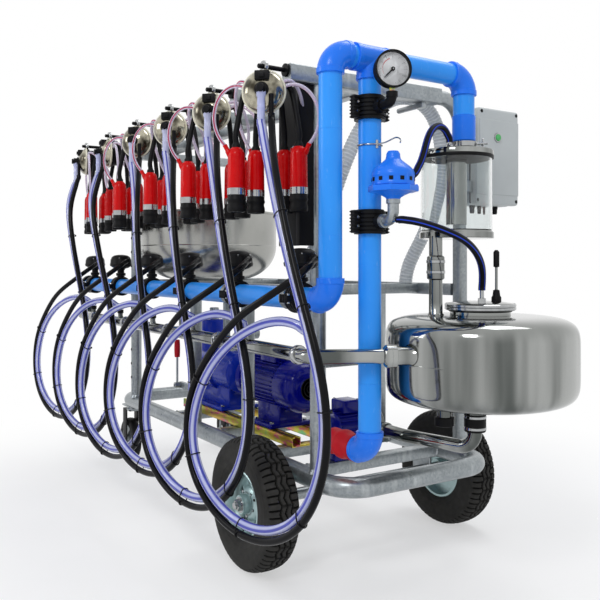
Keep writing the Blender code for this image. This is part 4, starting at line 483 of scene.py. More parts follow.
def pulse_tube():
    """Short clear pulse tube with a thin red line."""
    f = Finish("pulse_tube", Transmission_Weight=0.4, IOR=1.25, Coat_Weight=0.4)
    around, other, along = f.trace()
    cloud = f.noise(40.0, 3.0)
    clear = f.blend(cloud, (0.68, 0.62, 0.80), (0.88, 0.84, 0.94))
    f.set(Base_Color=f.blend(around.rise(0.86, 0.93), clear, (0.55, 0.05, 0.12)), Roughness=0.12 + cloud * 0.1)
    return f


def spiral_hose():
    """Clear suction hose with a white helix and smoke-grey wall."""
    f = Finish("spiral_hose", Transmission_Weight=0.35, IOR=1.2, Coat_Weight=0.3)
    around, other, along = f.trace()
    cloud = f.noise(20.0, 3.0)
    wall = f.blend(cloud, (0.52, 0.56, 0.58), (0.70, 0.73, 0.75))
    f.set(Base_Color=f.blend(along, wall, (0.90, 0.92, 0.93)), Roughness=0.16 + cloud * 0.15)
    return f


def cup_red():
    """Red shell of the teat cups, glossy with a few scratches."""
    f = Finish("cup_red", Specular_IOR_Level=0.08, Coat_Weight=0.12, Coat_Roughness=0.04)
    cloud = f.noise(30.0, 4.0)
    scratch = f.noise(260.0, 4.0, f.stretched((1.0, 1.0, 0.12))).rise(0.66, 0.78)
    colour = f.blend(cloud, (0.50, 0.001, 0.002), (0.66, 0.003, 0.004))
    f.set(Base_Color=f.blend(scratch * 0.15, colour, (0.75, 0.15, 0.12)), Roughness=0.22 + cloud * 0.1 + scratch * 0.2)
    return f


def red_rubber():
    """Red rubber sleeve, chalky in patches."""
    f = Finish("red_rubber", Specular_IOR_Level=0.15)
    cloud = f.noise(40.0, 5.0)
    f.set(Base_Color=f.blend(cloud, (0.42, 0.004, 0.010), (0.60, 0.018, 0.028)), Roughness=0.38 + cloud * 0.2)
    return f.bump(f.noise(250.0, 3.0), 0.1)


def claw_bowl():
    """Claw bowl: bright cream metal with painted shade, noise blotches of near-black brown."""
    f = Finish("claw_bowl", Metallic=0.85, Coat_Weight=0.4, Coat_Roughness=0.04)
    # painted shade: noise blotches darken the cream nearly to black, in place of the shade in the bowl
    painted_shade_blotch = f.noise(24.0, 2.0).rise(0.34, 0.68)
    f.set(Base_Color=f.blend(painted_shade_blotch, (0.46, 0.43, 0.33), (0.030, 0.024, 0.010)), Roughness=0.09 + painted_shade_blotch * 0.08)
    return f


def claw_rim():
    """Cream moulded rim of the claw, a little yellowed."""
    f = Finish("claw_rim", Specular_IOR_Level=0.3, Coat_Weight=0.2, Coat_Roughness=0.06)
    cloud = f.noise(40.0, 4.0)
    f.set(Base_Color=f.blend(cloud, (0.62, 0.58, 0.42), (0.78, 0.76, 0.64)), Roughness=0.22 + cloud * 0.12)
    return f


def chrome():
    """Plated rings, bands and nuts."""
    f = Finish("chrome", Metallic=1.0)
    haze = f.noise(50.0, 4.0)
    f.set(Base_Color=f.blend(haze, (0.28, 0.29, 0.30), (0.50, 0.51, 0.51)), Roughness=0.10 + haze * 0.14)
    return f


def zinc_rim():
    """Blue-white zinc plate with painted shade: the stored masks darken the holes near black and the corners of the
    dish to dark grey.
    """
    f = Finish("zinc_rim", Metallic=0.7)
    hole, depth, rest = f.trace()
    cloud = f.noise(16.0, 5.0)
    plate = f.blend(cloud, (0.26, 0.38, 0.385), (0.52, 0.66, 0.66))
    # painted shade: dark grey in the steep corners of the dish
    painted_shade_plate = f.blend(depth * 0.8, plate, (0.05, 0.07, 0.07))
    # painted shade: the pressed holes near black, as the shade seen through a hole
    f.set(Base_Color=f.blend(hole, painted_shade_plate, (0.01, 0.012, 0.012)), Roughness=0.24 + cloud * 0.2)
    return f.bump(f.noise(120.0, 3.0), 0.05)


def yellow_zinc():
    """Yellow passivated zinc: gold that drifts to green and rose."""
    f = Finish("yellow_zinc", Metallic=0.9)
    drift = f.noise(13.0, 3.0)
    other = f.noise(21.0, 3.0, f.stretched((1.0, 2.0, 3.0)))
    gold = f.blend(drift.rise(0.35, 0.65), (0.70, 0.44, 0.05), (0.66, 0.66, 0.10))
    rose = f.blend(other.rise(0.50, 0.66), gold, (0.74, 0.14, 0.26))
    green = f.noise(17.0, 2.0).rise(0.56, 0.70)
    f.set(Base_Color=f.blend(green * 0.8, rose, (0.10, 0.55, 0.26)), Roughness=0.24 + drift * 0.15)
    return f


def paint(name, dark, light):
    """Sprayed gloss paint with orange peel."""
    f = Finish(name, Specular_IOR_Level=0.1, Coat_Weight=0.3, Coat_Roughness=0.03)
    cloud = f.noise(11.0, 4.0)
    f.set(Base_Color=f.blend(cloud, dark, light), Roughness=0.22 + cloud * 0.10)
    return f.bump(f.noise(220.0, 2.0), 0.10, 0.0006)


def tyre_rubber():
    """Tyre: dusty crown, with painted shade near black in the grooves by the stored depth."""
    f = Finish("tyre_rubber", Specular_IOR_Level=0.1)
    groove, wall, rest = f.trace()
    dust = f.noise(45.0, 6.0)
    crown = f.blend(dust, (0.016, 0.016, 0.015), (0.056, 0.054, 0.050))
    # painted shade: the grooves near black; the dust on the crown is the tyre's own
    f.set(Base_Color=f.blend(groove * 0.9, crown, (0.002, 0.002, 0.002)), Roughness=0.55 + dust * 0.25)
    return f.bump(f.noise(420.0, 4.0), 0.25, 0.0006)


def box_grey():
    """Grey moulded housing with a fine even grain."""
    f = Finish("box_grey")
    cloud = f.noise(10.0, 4.0)
    f.set(Base_Color=f.blend(cloud, (0.44, 0.47, 0.47), (0.54, 0.57, 0.57)), Roughness=0.42 + cloud * 0.12)
    return f.bump(f.noise(900.0, 2.0), 0.12, 0.0003)


def button_green():
    """Green button, paler and darker in fine clouds."""
    f = Finish("button_green", Coat_Weight=0.5)
    cloud = f.noise(90.0, 3.0)
    f.set(Base_Color=f.blend(cloud, (0.01, 0.30, 0.05), (0.05, 0.55, 0.12)), Roughness=0.22 + cloud * 0.1)
    return f


def dial_face():
    """White dial: ticks by angle and a red arc, from the stored polar places."""
    f = Finish("dial_face")
    radius, turn, rest = f.trace()
    fine = abs((turn * 30.0).sine()) < 0.22
    coarse = abs((turn * 6.0).sine()) < 0.10
    inside = (turn > 0.12) * (turn < 0.88 * math.pi * 2)
    ring = (radius > 0.80) * (radius < 0.90) * fine + (radius > 0.68) * (radius < 0.90) * coarse
    paper = f.noise(60.0, 3.0)
    white = f.blend(paper, (0.90, 0.91, 0.92), (0.96, 0.96, 0.96))
    red = (radius > 0.60) * (radius < 0.65) * (turn > 3.4) * (turn < 5.2)
    marked = f.blend(ring * inside, white, (0.02, 0.02, 0.02))
    f.set(Base_Color=f.blend(red, marked, (0.6, 0.02, 0.02)), Roughness=0.35 + paper * 0.1)
    return f


def jar_clear():
    """Clear jar wall, faintly smoked in its haze."""
    f = Finish("jar_clear", Transmission_Weight=1.0, IOR=1.40)
    haze = f.noise(12.0, 4.0)
    f.set(Base_Color=f.blend(haze, (0.78, 0.82, 0.82), (0.90, 0.92, 0.92)), Roughness=0.01 + haze * 0.03)
    return f


MAKERS = {
    "galvanised": galvanised, "polished": polished, "sheet_steel": sheet_steel,
    "plastic_black": plastic_black, "rubber_black": rubber_black, "twin_hose": twin_hose,
    "striped_hose": striped_hose, "clear_hose": clear_hose, "pulse_tube": pulse_tube, "spiral_hose": spiral_hose,
    "cup_red": cup_red, "red_rubber": red_rubber, "claw_bowl": claw_bowl, "claw_rim": claw_rim, "chrome": chrome, "zinc_rim": zinc_rim,
    "yellow_zinc": yellow_zinc, "tyre_rubber": tyre_rubber, "box_grey": box_grey, "button_green": button_green,
    "dial_face": dial_face, "jar_clear": jar_clear,
    "pipe_blue": lambda: pressure_pipe("pipe_blue", (0.022, 0.27, 0.88), (0.036, 0.34, 0.97)),
    "fitting_blue": lambda: pressure_pipe("fitting_blue", (0.010, 0.165, 0.82), (0.020, 0.215, 0.94)),
    "motor_blue": lambda: paint("motor_blue", (0.0005, 0.002, 0.15), (0.002, 0.005, 0.28)),
    "pump_blue": lambda: paint("pump_blue", (0.001, 0.014, 0.30), (0.004, 0.034, 0.46)),
}
finishes = {}


def finish_named(name):
    if name not in finishes:
        finishes[name] = MAKERS[name]().material
    return finishes[name]


def unit(vector):
    vector = np.asarray(vector, float)
    return vector / np.linalg.norm(vector)


def basis(axis):
    """Two unit vectors square to an axis, then the axis itself."""
    w = unit(axis)
    u = unit(np.cross(UP if abs(w[2]) < 0.9 else (1.0, 0.0, 0.0), w))
    return u, np.cross(w, u), w


class Form:
    """The arrays of one piece: rows of points joined into faces, a finish and a trace for each patch."""

    def __init__(self):
        self.points, self.traces, self.faces, self.coats = [], [], [], []
        self.count = 0

    def patch(self, points, coat, trace=None, ring=False, caps=True, around=True):
        """Join each row of points to the next; rows close on themselves unless around is off."""
        rows, columns = points.shape[:2]
        index = self.count + np.arange(rows * columns).reshape(rows, columns)
        low, high = (index, np.roll(index, -1, 0)) if ring else (index[:-1], index[1:])
        if around:
            quads = np.stack((low, np.roll(low, -1, 1), np.roll(high, -1, 1), high), -1)
        else:
            quads = np.stack((low[:, :-1], low[:, 1:], high[:, 1:], high[:, :-1]), -1)
        faces = quads.reshape(-1, 4).tolist()
        if caps and not ring:
            faces += [index[0, ::-1].tolist(), index[-1].tolist()]
        self.points.append(points.reshape(-1, 3))
        self.traces.append(np.zeros((rows * columns, 3)) if trace is None else np.broadcast_to(trace, points.shape).reshape(-1, 3))
        self.faces += faces
        self.coats += [coat] * len(faces)
        self.count += rows * columns
        return self

    def turned(self, profile, foot, axis, coat, sides=40, ring=False, caps=True):
        """Radius and height pairs carried round an axis: foot + r (cos a u + sin a v) + h w."""
        u, v, w = basis(axis)
        profile = np.asarray(profile, float)
        angle = np.linspace(0.0, 2 * np.pi, sides, endpoint=False)[None, :, None]
        circle = np.cos(angle) * u + np.sin(angle) * v
        points = np.asarray(foot, float) + profile[:, 0, None, None] * circle + profile[:, 1, None, None] * w
        return self.patch(points, coat, ring=ring, caps=caps)

    def rod(self, start, end, radius, coat, sides=24, lip=0.0):
        """A straight bar, its end edges broken by lip."""
        start, end = np.asarray(start, float), np.asarray(end, float)
        length = np.linalg.norm(end - start)
        rows = [(radius, 0.0), (radius, length)]
        if lip:
            rows = [(radius - lip, 0.0), (radius, lip), (radius, length - lip), (radius - lip, length)]
        return self.turned(rows, start, end - start, coat, sides)

    def swept(self, path, radius, coat, sides=24, closed=False, caps=True, squeeze=1.0):
        """A round section carried along a path without twist; the trace holds cos, sin and length along."""
        path = np.asarray(path, float)
        side, other = carried(path, closed)
        angle = np.linspace(0.0, 2 * np.pi, sides, endpoint=False)[None, :, None]
        radius = np.broadcast_to(np.asarray(radius, float), (len(path),))[:, None, None]
        shape = np.sqrt(np.cos(angle) ** 2 + (squeeze * np.sin(angle)) ** 2)
        points = path[:, None] + radius * shape * (np.cos(angle) * side[:, None] + np.sin(angle) * other[:, None])
        along = np.concatenate(([0.0], np.cumsum(np.linalg.norm(np.diff(path, axis=0), axis=1))))
        trace = np.empty(points.shape)
        trace[..., 0] = np.cos(angle[..., 0])
        trace[..., 1] = np.sin(angle[..., 0])
        trace[..., 2] = along[:, None]
        return self.patch(points, coat, trace, ring=closed, caps=caps)

    def bar(self, start, end, width, height, coat, corner=0.004, up=UP):
        """A rounded rectangle carried from start to end: width across, height along up."""
        start, end = np.asarray(start, float), np.asarray(end, float)
        w = unit(end - start)
        across = unit(np.cross(up, w))
        lift = np.cross(w, across)
        flat = rounded_section(width, height, corner)
        ring = flat[:, :1] * across + flat[:, 1:] * lift
        return self.patch(np.stack((start + ring, end + ring)), coat)

    def block(self, low, high, coat, corner=0.004, axes=None, origin=(0.0, 0.0, 0.0)):
        """A box whose edges are all rounded: quarter-circle insets at its two ends, rounded section between."""
        low, high = np.asarray(low, float), np.asarray(high, float)
        size, middle = high - low, (high + low) / 2
        angle = np.linspace(0.0, np.pi / 2, 4)
        inset = np.concatenate((corner * (1 - np.sin(angle)), corner * (1 - np.sin(angle[::-1]))))
        level = np.concatenate((low[2] + corner * (1 - np.cos(angle)), high[2] - corner * (1 - np.cos(angle[::-1]))))
        rows = []
        for pull, z in zip(inset, level):
            flat = rounded_section(size[0] - 2 * pull, size[1] - 2 * pull, max(corner - pull, 0.0002))
            rows.append(np.column_stack((flat + middle[:2], np.full(len(flat), z))))
        points = np.stack(rows)
        if axes is not None:
            points = points @ np.asarray(axes, float) + np.asarray(origin, float)
        return self.patch(points, coat)

    def bolt(self, place, axis, radius, height, coat="chrome"):
        """Hexagon head with a broken upper edge."""
        rows = [(radius, 0.0), (radius, height * 0.75), (radius * 0.82, height)]
        return self.turned(rows, place, axis, coat, 6)


def rounded_section(width, height, corner, steps=3):
    """Four corner arcs joined by straight sides, as (across, up) pairs."""
    angle = np.linspace(0.0, np.pi / 2, steps + 1)
    turn = (np.arange(4) * np.pi / 2)[:, None] + angle
    centre = np.array(((1, 1), (-1, 1), (-1, -1), (1, -1)))[:, None] * (width / 2 - corner, height / 2 - corner)
    return (centre + corner * np.stack((np.cos(turn), np.sin(turn)), -1)).reshape(-1, 2)


def carried(path, closed=False):
    """A side vector for each point of a path, projected from one point to the next, and its partner."""
    ahead = np.roll(path, -1, 0) - np.roll(path, 1, 0)
    if not closed:
        ahead[0], ahead[-1] = path[1] - path[0], path[-1] - path[-2]
    along = ahead / np.linalg.norm(ahead, axis=1)[:, None]
    side = np.empty_like(along)
    side[0] = basis(along[0])[0]
    for index in range(1, len(path)):
        side[index] = unit(side[index - 1] - along[index] * side[index - 1].dot(along[index]))
    return side, np.cross(along, side)


def rounded_path(corners, radius, steps=8):
    """Straight runs whose inner corners are arcs: centre + radius (cos, sin) between the two tangents."""
    corners = [np.asarray(c, float) for c in corners]
    points = [corners[0][None]]
    for before, corner, after in zip(corners, corners[1:], corners[2:]):
        back, ahead = unit(before - corner), unit(after - corner)
        half = math.acos(max(-1.0, min(1.0, back.dot(ahead)))) / 2
        centre = corner + unit(back + ahead) * radius / math.sin(half)
        first = unit(corner + back * radius / math.tan(half) - centre)
        last = unit(corner + ahead * radius / math.tan(half) - centre)
        sweep = math.acos(max(-1.0, min(1.0, first.dot(last))))
        other = unit(last - first * first.dot(last))
        angle = np.linspace(0.0, sweep, steps + 1)[:, None]
        points.append(centre + radius * (np.cos(angle) * first + np.sin(angle) * other))
    points.append(corners[-1][None])
    return np.concatenate(points)


def smooth_route(route, spacing):
    """Evenly spaced points on the Catmull-Rom curve through a route, with a straight lead at each end."""
    route = np.asarray(route, float)
    t = np.linspace(0.0, 1.0, 24, endpoint=False)[:, None]
    spans = []
    for a, b, c, d in zip(route, route[1:], route[2:], route[3:]):
        spans.append(0.5 * (2 * b + (c - a) * t + (2 * a - 5 * b + 4 * c - d) * t**2 + (3 * b - a - 3 * c + d) * t**3))
    points = evenly(np.concatenate((*spans, route[-2:-1])), spacing)
    return np.concatenate((route[:1], points, route[-1:]))


def evenly(points, spacing):
    """Points at even distances along a chain of short straight runs."""
    lengths = np.concatenate(([0.0], np.cumsum(np.linalg.norm(np.diff(points, axis=0), axis=1))))
    want = np.linspace(0.0, lengths[-1], max(2, round(lengths[-1] / spacing)) + 1)
    return np.stack([np.interp(want, lengths, points[:, axis]) for axis in range(3)], -1)


def length_of(points):
    return float(np.linalg.norm(np.diff(points, axis=0), axis=1).sum())


def piece(name, form, body, *nodes, crease=38.0, hung=None):
    """Turn a form into an object that rides on a body, or bends from it to the body it hangs on, and stands for its CAD nodes."""
    mesh = bpy.data.meshes.new(name)
    mesh.from_pydata(np.concatenate(form.points), [], form.faces)
    coats = sorted(set(form.coats))
    for coat in coats:
        mesh.materials.append(finish_named(coat))
    mesh.polygons.foreach_set("material_index", [coats.index(c) for c in form.coats])
    trace = mesh.attributes.new("trace", "FLOAT_VECTOR", "POINT")
    trace.data.foreach_set("vector", np.concatenate(form.traces).ravel())
    solid = bmesh.new()
    solid.from_mesh(mesh)
    bmesh.ops.recalc_face_normals(solid, faces=solid.faces)
    solid.to_mesh(mesh)
    solid.free()
    mesh.shade_smooth()
    mesh.set_sharp_from_angle(angle=math.radians(crease))
    made = bpy.data.objects.new(name, mesh)
    bpy.context.scene.collection.objects.link(made)
    if hung:
        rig.blend(made, body, hung, start=HANG_LOW, end=HANG_HIGH)
    else:
        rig.ride(made, body)
    if nodes:
        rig.replaces(made, *nodes)
    return made


# Camera, light and floor

def camera():
    data = bpy.data.cameras.new("camera")
    data.sensor_width = 36.0
    data.lens = 45.1
    data.shift_y = -0.0567
    made = bpy.data.objects.new("camera", data)
    made.location = (2.521, -1.539, 0.94)
    made.rotation_euler = (math.pi / 2, 0.0, math.atan2(0.843, 0.537))
    bpy.context.scene.collection.objects.link(made)
    bpy.context.scene.camera = made


def lamp(name, place, aim, size, power):
    data = bpy.data.lights.new(name, "AREA")
    data.size = size
    data.energy = power
    made = bpy.data.objects.new(name, data)
    made.location = place
    u, v, w = basis(np.asarray(place, float) - np.asarray(aim, float))
    made.rotation_euler = bpy_matrix(u, v, w).to_euler()
    bpy.context.scene.collection.objects.link(made)


def bpy_matrix(u, v, w):
    from mathutils import Matrix
    return Matrix((u, v, w)).transposed()


def studio():
    world = bpy.data.worlds.new("studio")
    world.use_nodes = True
    bpy.context.scene.world = world
    tree = world.node_tree
    light, white = tree.nodes["Background"], tree.nodes.new("ShaderNodeBackground")
    light.inputs["Color"].default_value = (0.94, 0.96, 1.0, 1.0)
    light.inputs["Strength"].default_value = 0.66
    rays = tree.nodes.new("ShaderNodeLightPath")
    seen = rays.outputs["Is Camera Ray"]
    for name in ("Is Glossy Ray", "Is Transmission Ray"):
        either = tree.nodes.new("ShaderNodeMath")
        either.operation = "MAXIMUM"
        tree.links.new(seen, either.inputs[0])
        tree.links.new(rays.outputs[name], either.inputs[1])
        seen = either.outputs[0]
    mix = tree.nodes.new("ShaderNodeMixShader")
    tree.links.new(seen, mix.inputs[0])
    tree.links.new(light.outputs[0], mix.inputs[1])
    tree.links.new(white.outputs[0], mix.inputs[2])
    white.inputs["Color"].default_value = (1.0, 1.0, 1.0, 1.0)
    tree.links.new(mix.outputs[0], tree.nodes["World Output"].inputs["Surface"])
    lamp("key", (3.2, -3.6, 4.2), (0.2, -0.2, 0.8), 1.3, 80.0)
    lamp("fill", (-2.0, -4.5, 2.6), (0.0, -0.3, 0.7), 1.4, 32.0)
    lamp("top", (0.3, 1.6, 4.6), (0.0, 0.0, 0.9), 1.8, 44.0)
    bpy.context.scene.view_settings.view_transform = "Standard"


def floor():
    """A pale disc that fades to white with the distance from its middle."""
    f = Finish("floor_pale", Roughness=0.9, Specular_IOR_Level=0.0)
    grain = f.noise(3.0, 3.0)
    x, y, z = f.parts(f.place())
    seen = f.rays("Is Camera Ray") + f.rays("Is Glossy Ray") + f.rays("Is Transmission Ray")
    far = (0.5 + ((x * x + y * y) ** 0.5).rise(0.9, 2.3) * 0.5) * (seen > 0.5)
    f.set(Base_Color=f.blend(grain, (0.93, 0.93, 0.94), (0.96, 0.96, 0.96)))
    glow = f.tree.nodes.new("ShaderNodeEmission")
    mix = f.tree.nodes.new("ShaderNodeMixShader")
    f.join(far, mix.inputs[0])
    f.tree.links.new(f.shader.outputs[0], mix.inputs[1])
    f.tree.links.new(glow.outputs[0], mix.inputs[2])
    f.tree.links.new(mix.outputs[0], f.tree.nodes["Material Output"].inputs["Surface"])
    mesh = bpy.data.meshes.new("floor")
    angle = np.linspace(0.0, 2 * np.pi, 96, endpoint=False)
    points = np.stack((14 * np.cos(angle), 14 * np.sin(angle), np.full(96, -0.0005)), -1)
    mesh.from_pydata(points, [], [list(range(96))])
    mesh.materials.append(f.material)
    made = bpy.data.objects.new("floor", mesh)
    bpy.context.scene.collection.objects.link(made)
    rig.stage(made)


# Hoses

def hook_x(station):
    return HOOP_X - HOOK_PITCH * station


def facing_of(station):
    yaw = CLAW_YAWS[station]
    return np.array((math.sin(yaw), -math.cos(yaw), 0.0)), np.array((math.cos(yaw), math.sin(yaw), 0.0))


def claw_centre(station):
    return np.array((hook_x(station), CLAW_Y, CLAW_Z))


def nozzle_end(station):
    facing, across = facing_of(station)
    return claw_centre(station) + facing * (NOZZLE_OUT - NOZZLE_R) - UP * NOZZLE_DROP


def pulse_end(station):
    facing, across = facing_of(station)
    return nozzle_end(station) + across * BUNDLE_PITCH - facing * 0.012 + UP * 0.02


def loop_point(station, index):
    """A route point of the first hose, moved to another station and hung lower or higher."""
    x, y, z = LOOP_ROUTE[index]
    top, low = LOOP_ROUTE[0][2], LOOP_ROUTE[LOOP_TURN][2]
    share = min(1.0, max(0.0, (top - z) / (top - low)))
    shift = HOOK_PITCH + (PLACE_PITCH - HOOK_PITCH) * share
    lean = FRONT_LEAN * (1.0 - share) if CLAW_YAWS[station] < 0 else 0.0
    return np.array((x - shift * station, y, z - LOOP_DROPS[station] * max(0.0, (low - z) / low))) + lean


def milk_points(station, spacing):
    start = nozzle_end(station) - UP * GAP
    end = np.array((MILK_INLET_X - PLACE_PITCH * station, MILK_Y, INLET_TOP_Z + GAP))
    loop = [loop_point(station, index) for index in range(len(LOOP_ROUTE))]
    return smooth_route([start, start - UP * HOSE_LEAD, *loop, end + UP * HOSE_LEAD, end], spacing)


def pulse_points(station, spacing):
    """Beside the milk hose, outside its loop and a little in front, then up to the pulsator."""
    milk = milk_points(station, HOSE_STEP)
    leaves = loop_point(station, PULSE_LEAVES)
    last = int(np.linalg.norm(milk - leaves, axis=1).argmin())
    start = pulse_end(station) - UP * GAP
    along = milk[3:last + 2] - milk[1:last]
    out = np.stack((-along[:, 2], np.zeros(len(along)), along[:, 0]), -1)
    lean = BUNDLE_LEAN * np.clip(np.arange(len(along)) / LEAN_POINTS, 0.0, 1.0)[:, None]
    out = out / np.linalg.norm(out, axis=1)[:, None] * np.cos(lean) - np.sin(lean) * UP[[0, 2, 1]]
    beside = milk[2:last + 1] + out * BUNDLE_PITCH
    x = PULSATOR_X - PLACE_PITCH * station
    end = np.array((x + PULSE_NIPPLE_X + GAP, RISER_Y, PULSE_Z))
    tail = [np.array((x + ahead, y, z)) for ahead, y, z in PULSE_TAIL]
    return smooth_route([start, start - UP * HOSE_LEAD, *beside, *tail, end + (HOSE_LEAD, 0, 0), end], spacing)


def eased(points, spacing, reach, passes, lead):
    """Running mean over a reach to each side, which widens tight bends; each end stays where it is and leaves straight."""
    points = evenly(points, spacing)
    count, beside = len(points), round(reach / spacing)
    place = np.arange(count) * spacing
    share = np.clip((np.minimum(place, place[::-1]) - lead) / 0.024, 0.0, 1.0)[:, None]
    for _ in range(passes):
        padded = np.pad(points, ((beside, beside), (0, 0)), "reflect", reflect_type="odd")
        mean = sum(padded[step:step + count] for step in range(2 * beside + 1)) / (2 * beside + 1)
        points = points + (mean - points) * share
    return points


def laid_hose(name, points, radius, coat, ties=(), hung=None):
    form = Form().swept(points, radius, coat, 20)
    made = piece(f"{name}_dressed", form, "chassis", name, hung=hung)
    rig.cord(made, exit=points[0], length=length_of(points), diameter=radius * 2, far_end="object",
            stiffness="medium", lay="hanging", path=points, with_pieces=ties)
    return made


def tie_rings(station, milk, pulse):
    """Narrow black ties, one rounded oval (cos and sin to the power 0.8) about both hoses at each place where they lie side by side."""
    form = Form()
    angle = np.linspace(0.0, 2 * np.pi, 32, endpoint=False)[:, None]
    across = np.sign(np.cos(angle)) * np.abs(np.cos(angle)) ** 0.8
    through = np.sign(np.sin(angle)) * np.abs(np.sin(angle)) ** 0.8
    for share in TIE_SHARES:
        index = int(len(milk) * share)
        apart = pulse[np.linalg.norm(pulse - milk[index], axis=1).argmin()] - milk[index]
        if np.linalg.norm(apart) > BUNDLE_PITCH * 1.2:
            continue
        along = unit(milk[index + 1] - milk[index - 1])
        wide = unit(apart - along * apart.dot(along))
        deep = np.cross(along, wide)
        middle = milk[index] + apart / 2 - wide * (MILK_HOSE_R - PULSE_HOSE_R) / 2
        reach = (np.linalg.norm(apart) + MILK_HOSE_R + PULSE_HOSE_R) / 2 + TIE_R / 2
        form.swept(middle + reach * across * wide + (MILK_HOSE_R + TIE_R) * through * deep, TIE_R, "plastic_black", 8, closed=True)
        form.block((-0.004, -0.003, -0.003), (0.004, 0.003, 0.003), "plastic_black", 0.001,
                   (along, wide, deep), middle - deep * (MILK_HOSE_R + 2 * TIE_R))
    return piece(f"hose_ties_{station + 1}", form, "chassis", hung=f"cluster_{station + 1}")


def hoses():
    for station in range(STATIONS):
        milk = eased(milk_points(station, FINE_STEP), FINE_STEP, **LONG_EASE)
        pulse = eased(pulse_points(station, FINE_STEP), FINE_STEP, **LONG_EASE)
        ties, hung = tie_rings(station, milk, pulse), f"cluster_{station + 1}"
        laid_hose(f"milk_hose_{station + 1}", milk, MILK_HOSE_R, "clear_hose", [ties], hung)
        laid_hose(f"pulse_hose_{station + 1}", pulse, PULSE_HOSE_R, "twin_hose", (), hung)
    for name, route in (("trap_hose", TRAP_HOSE_ROUTE), ("receiver_hose", RECEIVER_HOSE_ROUTE)):
        points = eased(smooth_route(route, SHORT_STEP), SHORT_STEP, **SHORT_EASE)
        laid_hose(name, points, STRIPED_HOSE_R, "striped_hose")
    points = eased(smooth_route(SPIRAL_ROUTE, RIB_STEP), RIB_STEP, **SHORT_EASE)
    along = np.arange(len(points)) * RIB_STEP
    rib = 0.5 + 0.5 * np.cos(2 * np.pi * along / 0.012)
    form = Form().swept(points, SPIRAL_HOSE_R - 0.0012 + 0.0016 * rib**3, "spiral_hose", 24)
    form.traces[-1] = np.repeat(np.stack((rib * 0, rib * 0, rib**4), -1), 24, axis=0)
    made = piece("spiral_hose_dressed", form, "chassis", "spiral_hose")
    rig.cord(made, exit=points[0], length=length_of(points), diameter=SPIRAL_HOSE_R * 2, far_end="object",
            stiffness="stiff", lay="hanging", path=points[::4])


# Trolley

def base_frame():
    form = Form()
    y = BASE_Y
    corners = [(BASE_NEAR_X, -y, BASE_Z), (BASE_NEAR_X, y, BASE_Z), (BASE_FAR_X, y, BASE_Z), (BASE_FAR_X, -y, BASE_Z)]
    loop = rounded_path([corners[-1], *corners, corners[0]], BASE_BEND, 12)[1:-1]
    form.swept(loop, BASE_R, "galvanised", 32, closed=True)
    for x in CROSS_X:
        form.bar((x, -y + 0.012, BASE_Z), (x, y - 0.012, BASE_Z), 0.04, 0.04, "galvanised")
        for side in (-1, 1):
            form.turned([(0.022, 0.0), (0.026, 0.004), (0.022, 0.010)], (x, side * (y - BASE_R + 0.004), BASE_Z),
                        (0, -side, 0), "galvanised", 24)
    hub, nut = TRACK / 2 - 0.0483, TRACK / 2 + 0.0483
    form.rod((AXLE_X, -hub, TYRE_R), (AXLE_X, hub, TYRE_R), 0.019, "galvanised", 28)
    for side in (-1, 1):
        form.rod((AXLE_X, side * hub, TYRE_R), (AXLE_X, side * (nut + 0.020), TYRE_R), 0.0115, "chrome", 20, 0.002)
        form.turned([(0.019, 0.0), (0.019, 0.002), (0.0125, 0.002)], (AXLE_X, side * nut, TYRE_R), (0, side, 0), "chrome", 28)
        form.bolt((AXLE_X, side * (nut + 0.002), TYRE_R), (0, side, 0), 0.0185, 0.012)
        form.block((AXLE_X - 0.045, side * y - 0.006, TYRE_R - 0.03), (AXLE_X + 0.045, side * y + 0.006, BASE_Z), "galvanised", 0.003)
        cy = side * CASTOR_Y
        form.block((CASTOR_X - 0.05, cy - 0.042, 0.266), (CASTOR_X + 0.05, cy + 0.042, 0.274), "galvanised", 0.002)
        for dx in (-0.036, 0.036):
            for dy in (-0.028, 0.028):
                form.bolt((CASTOR_X + dx, cy + dy, 0.266), (0, 0, -1), 0.006, 0.006)
    piece("base_frame_dressed", form, "chassis", "base_frame")


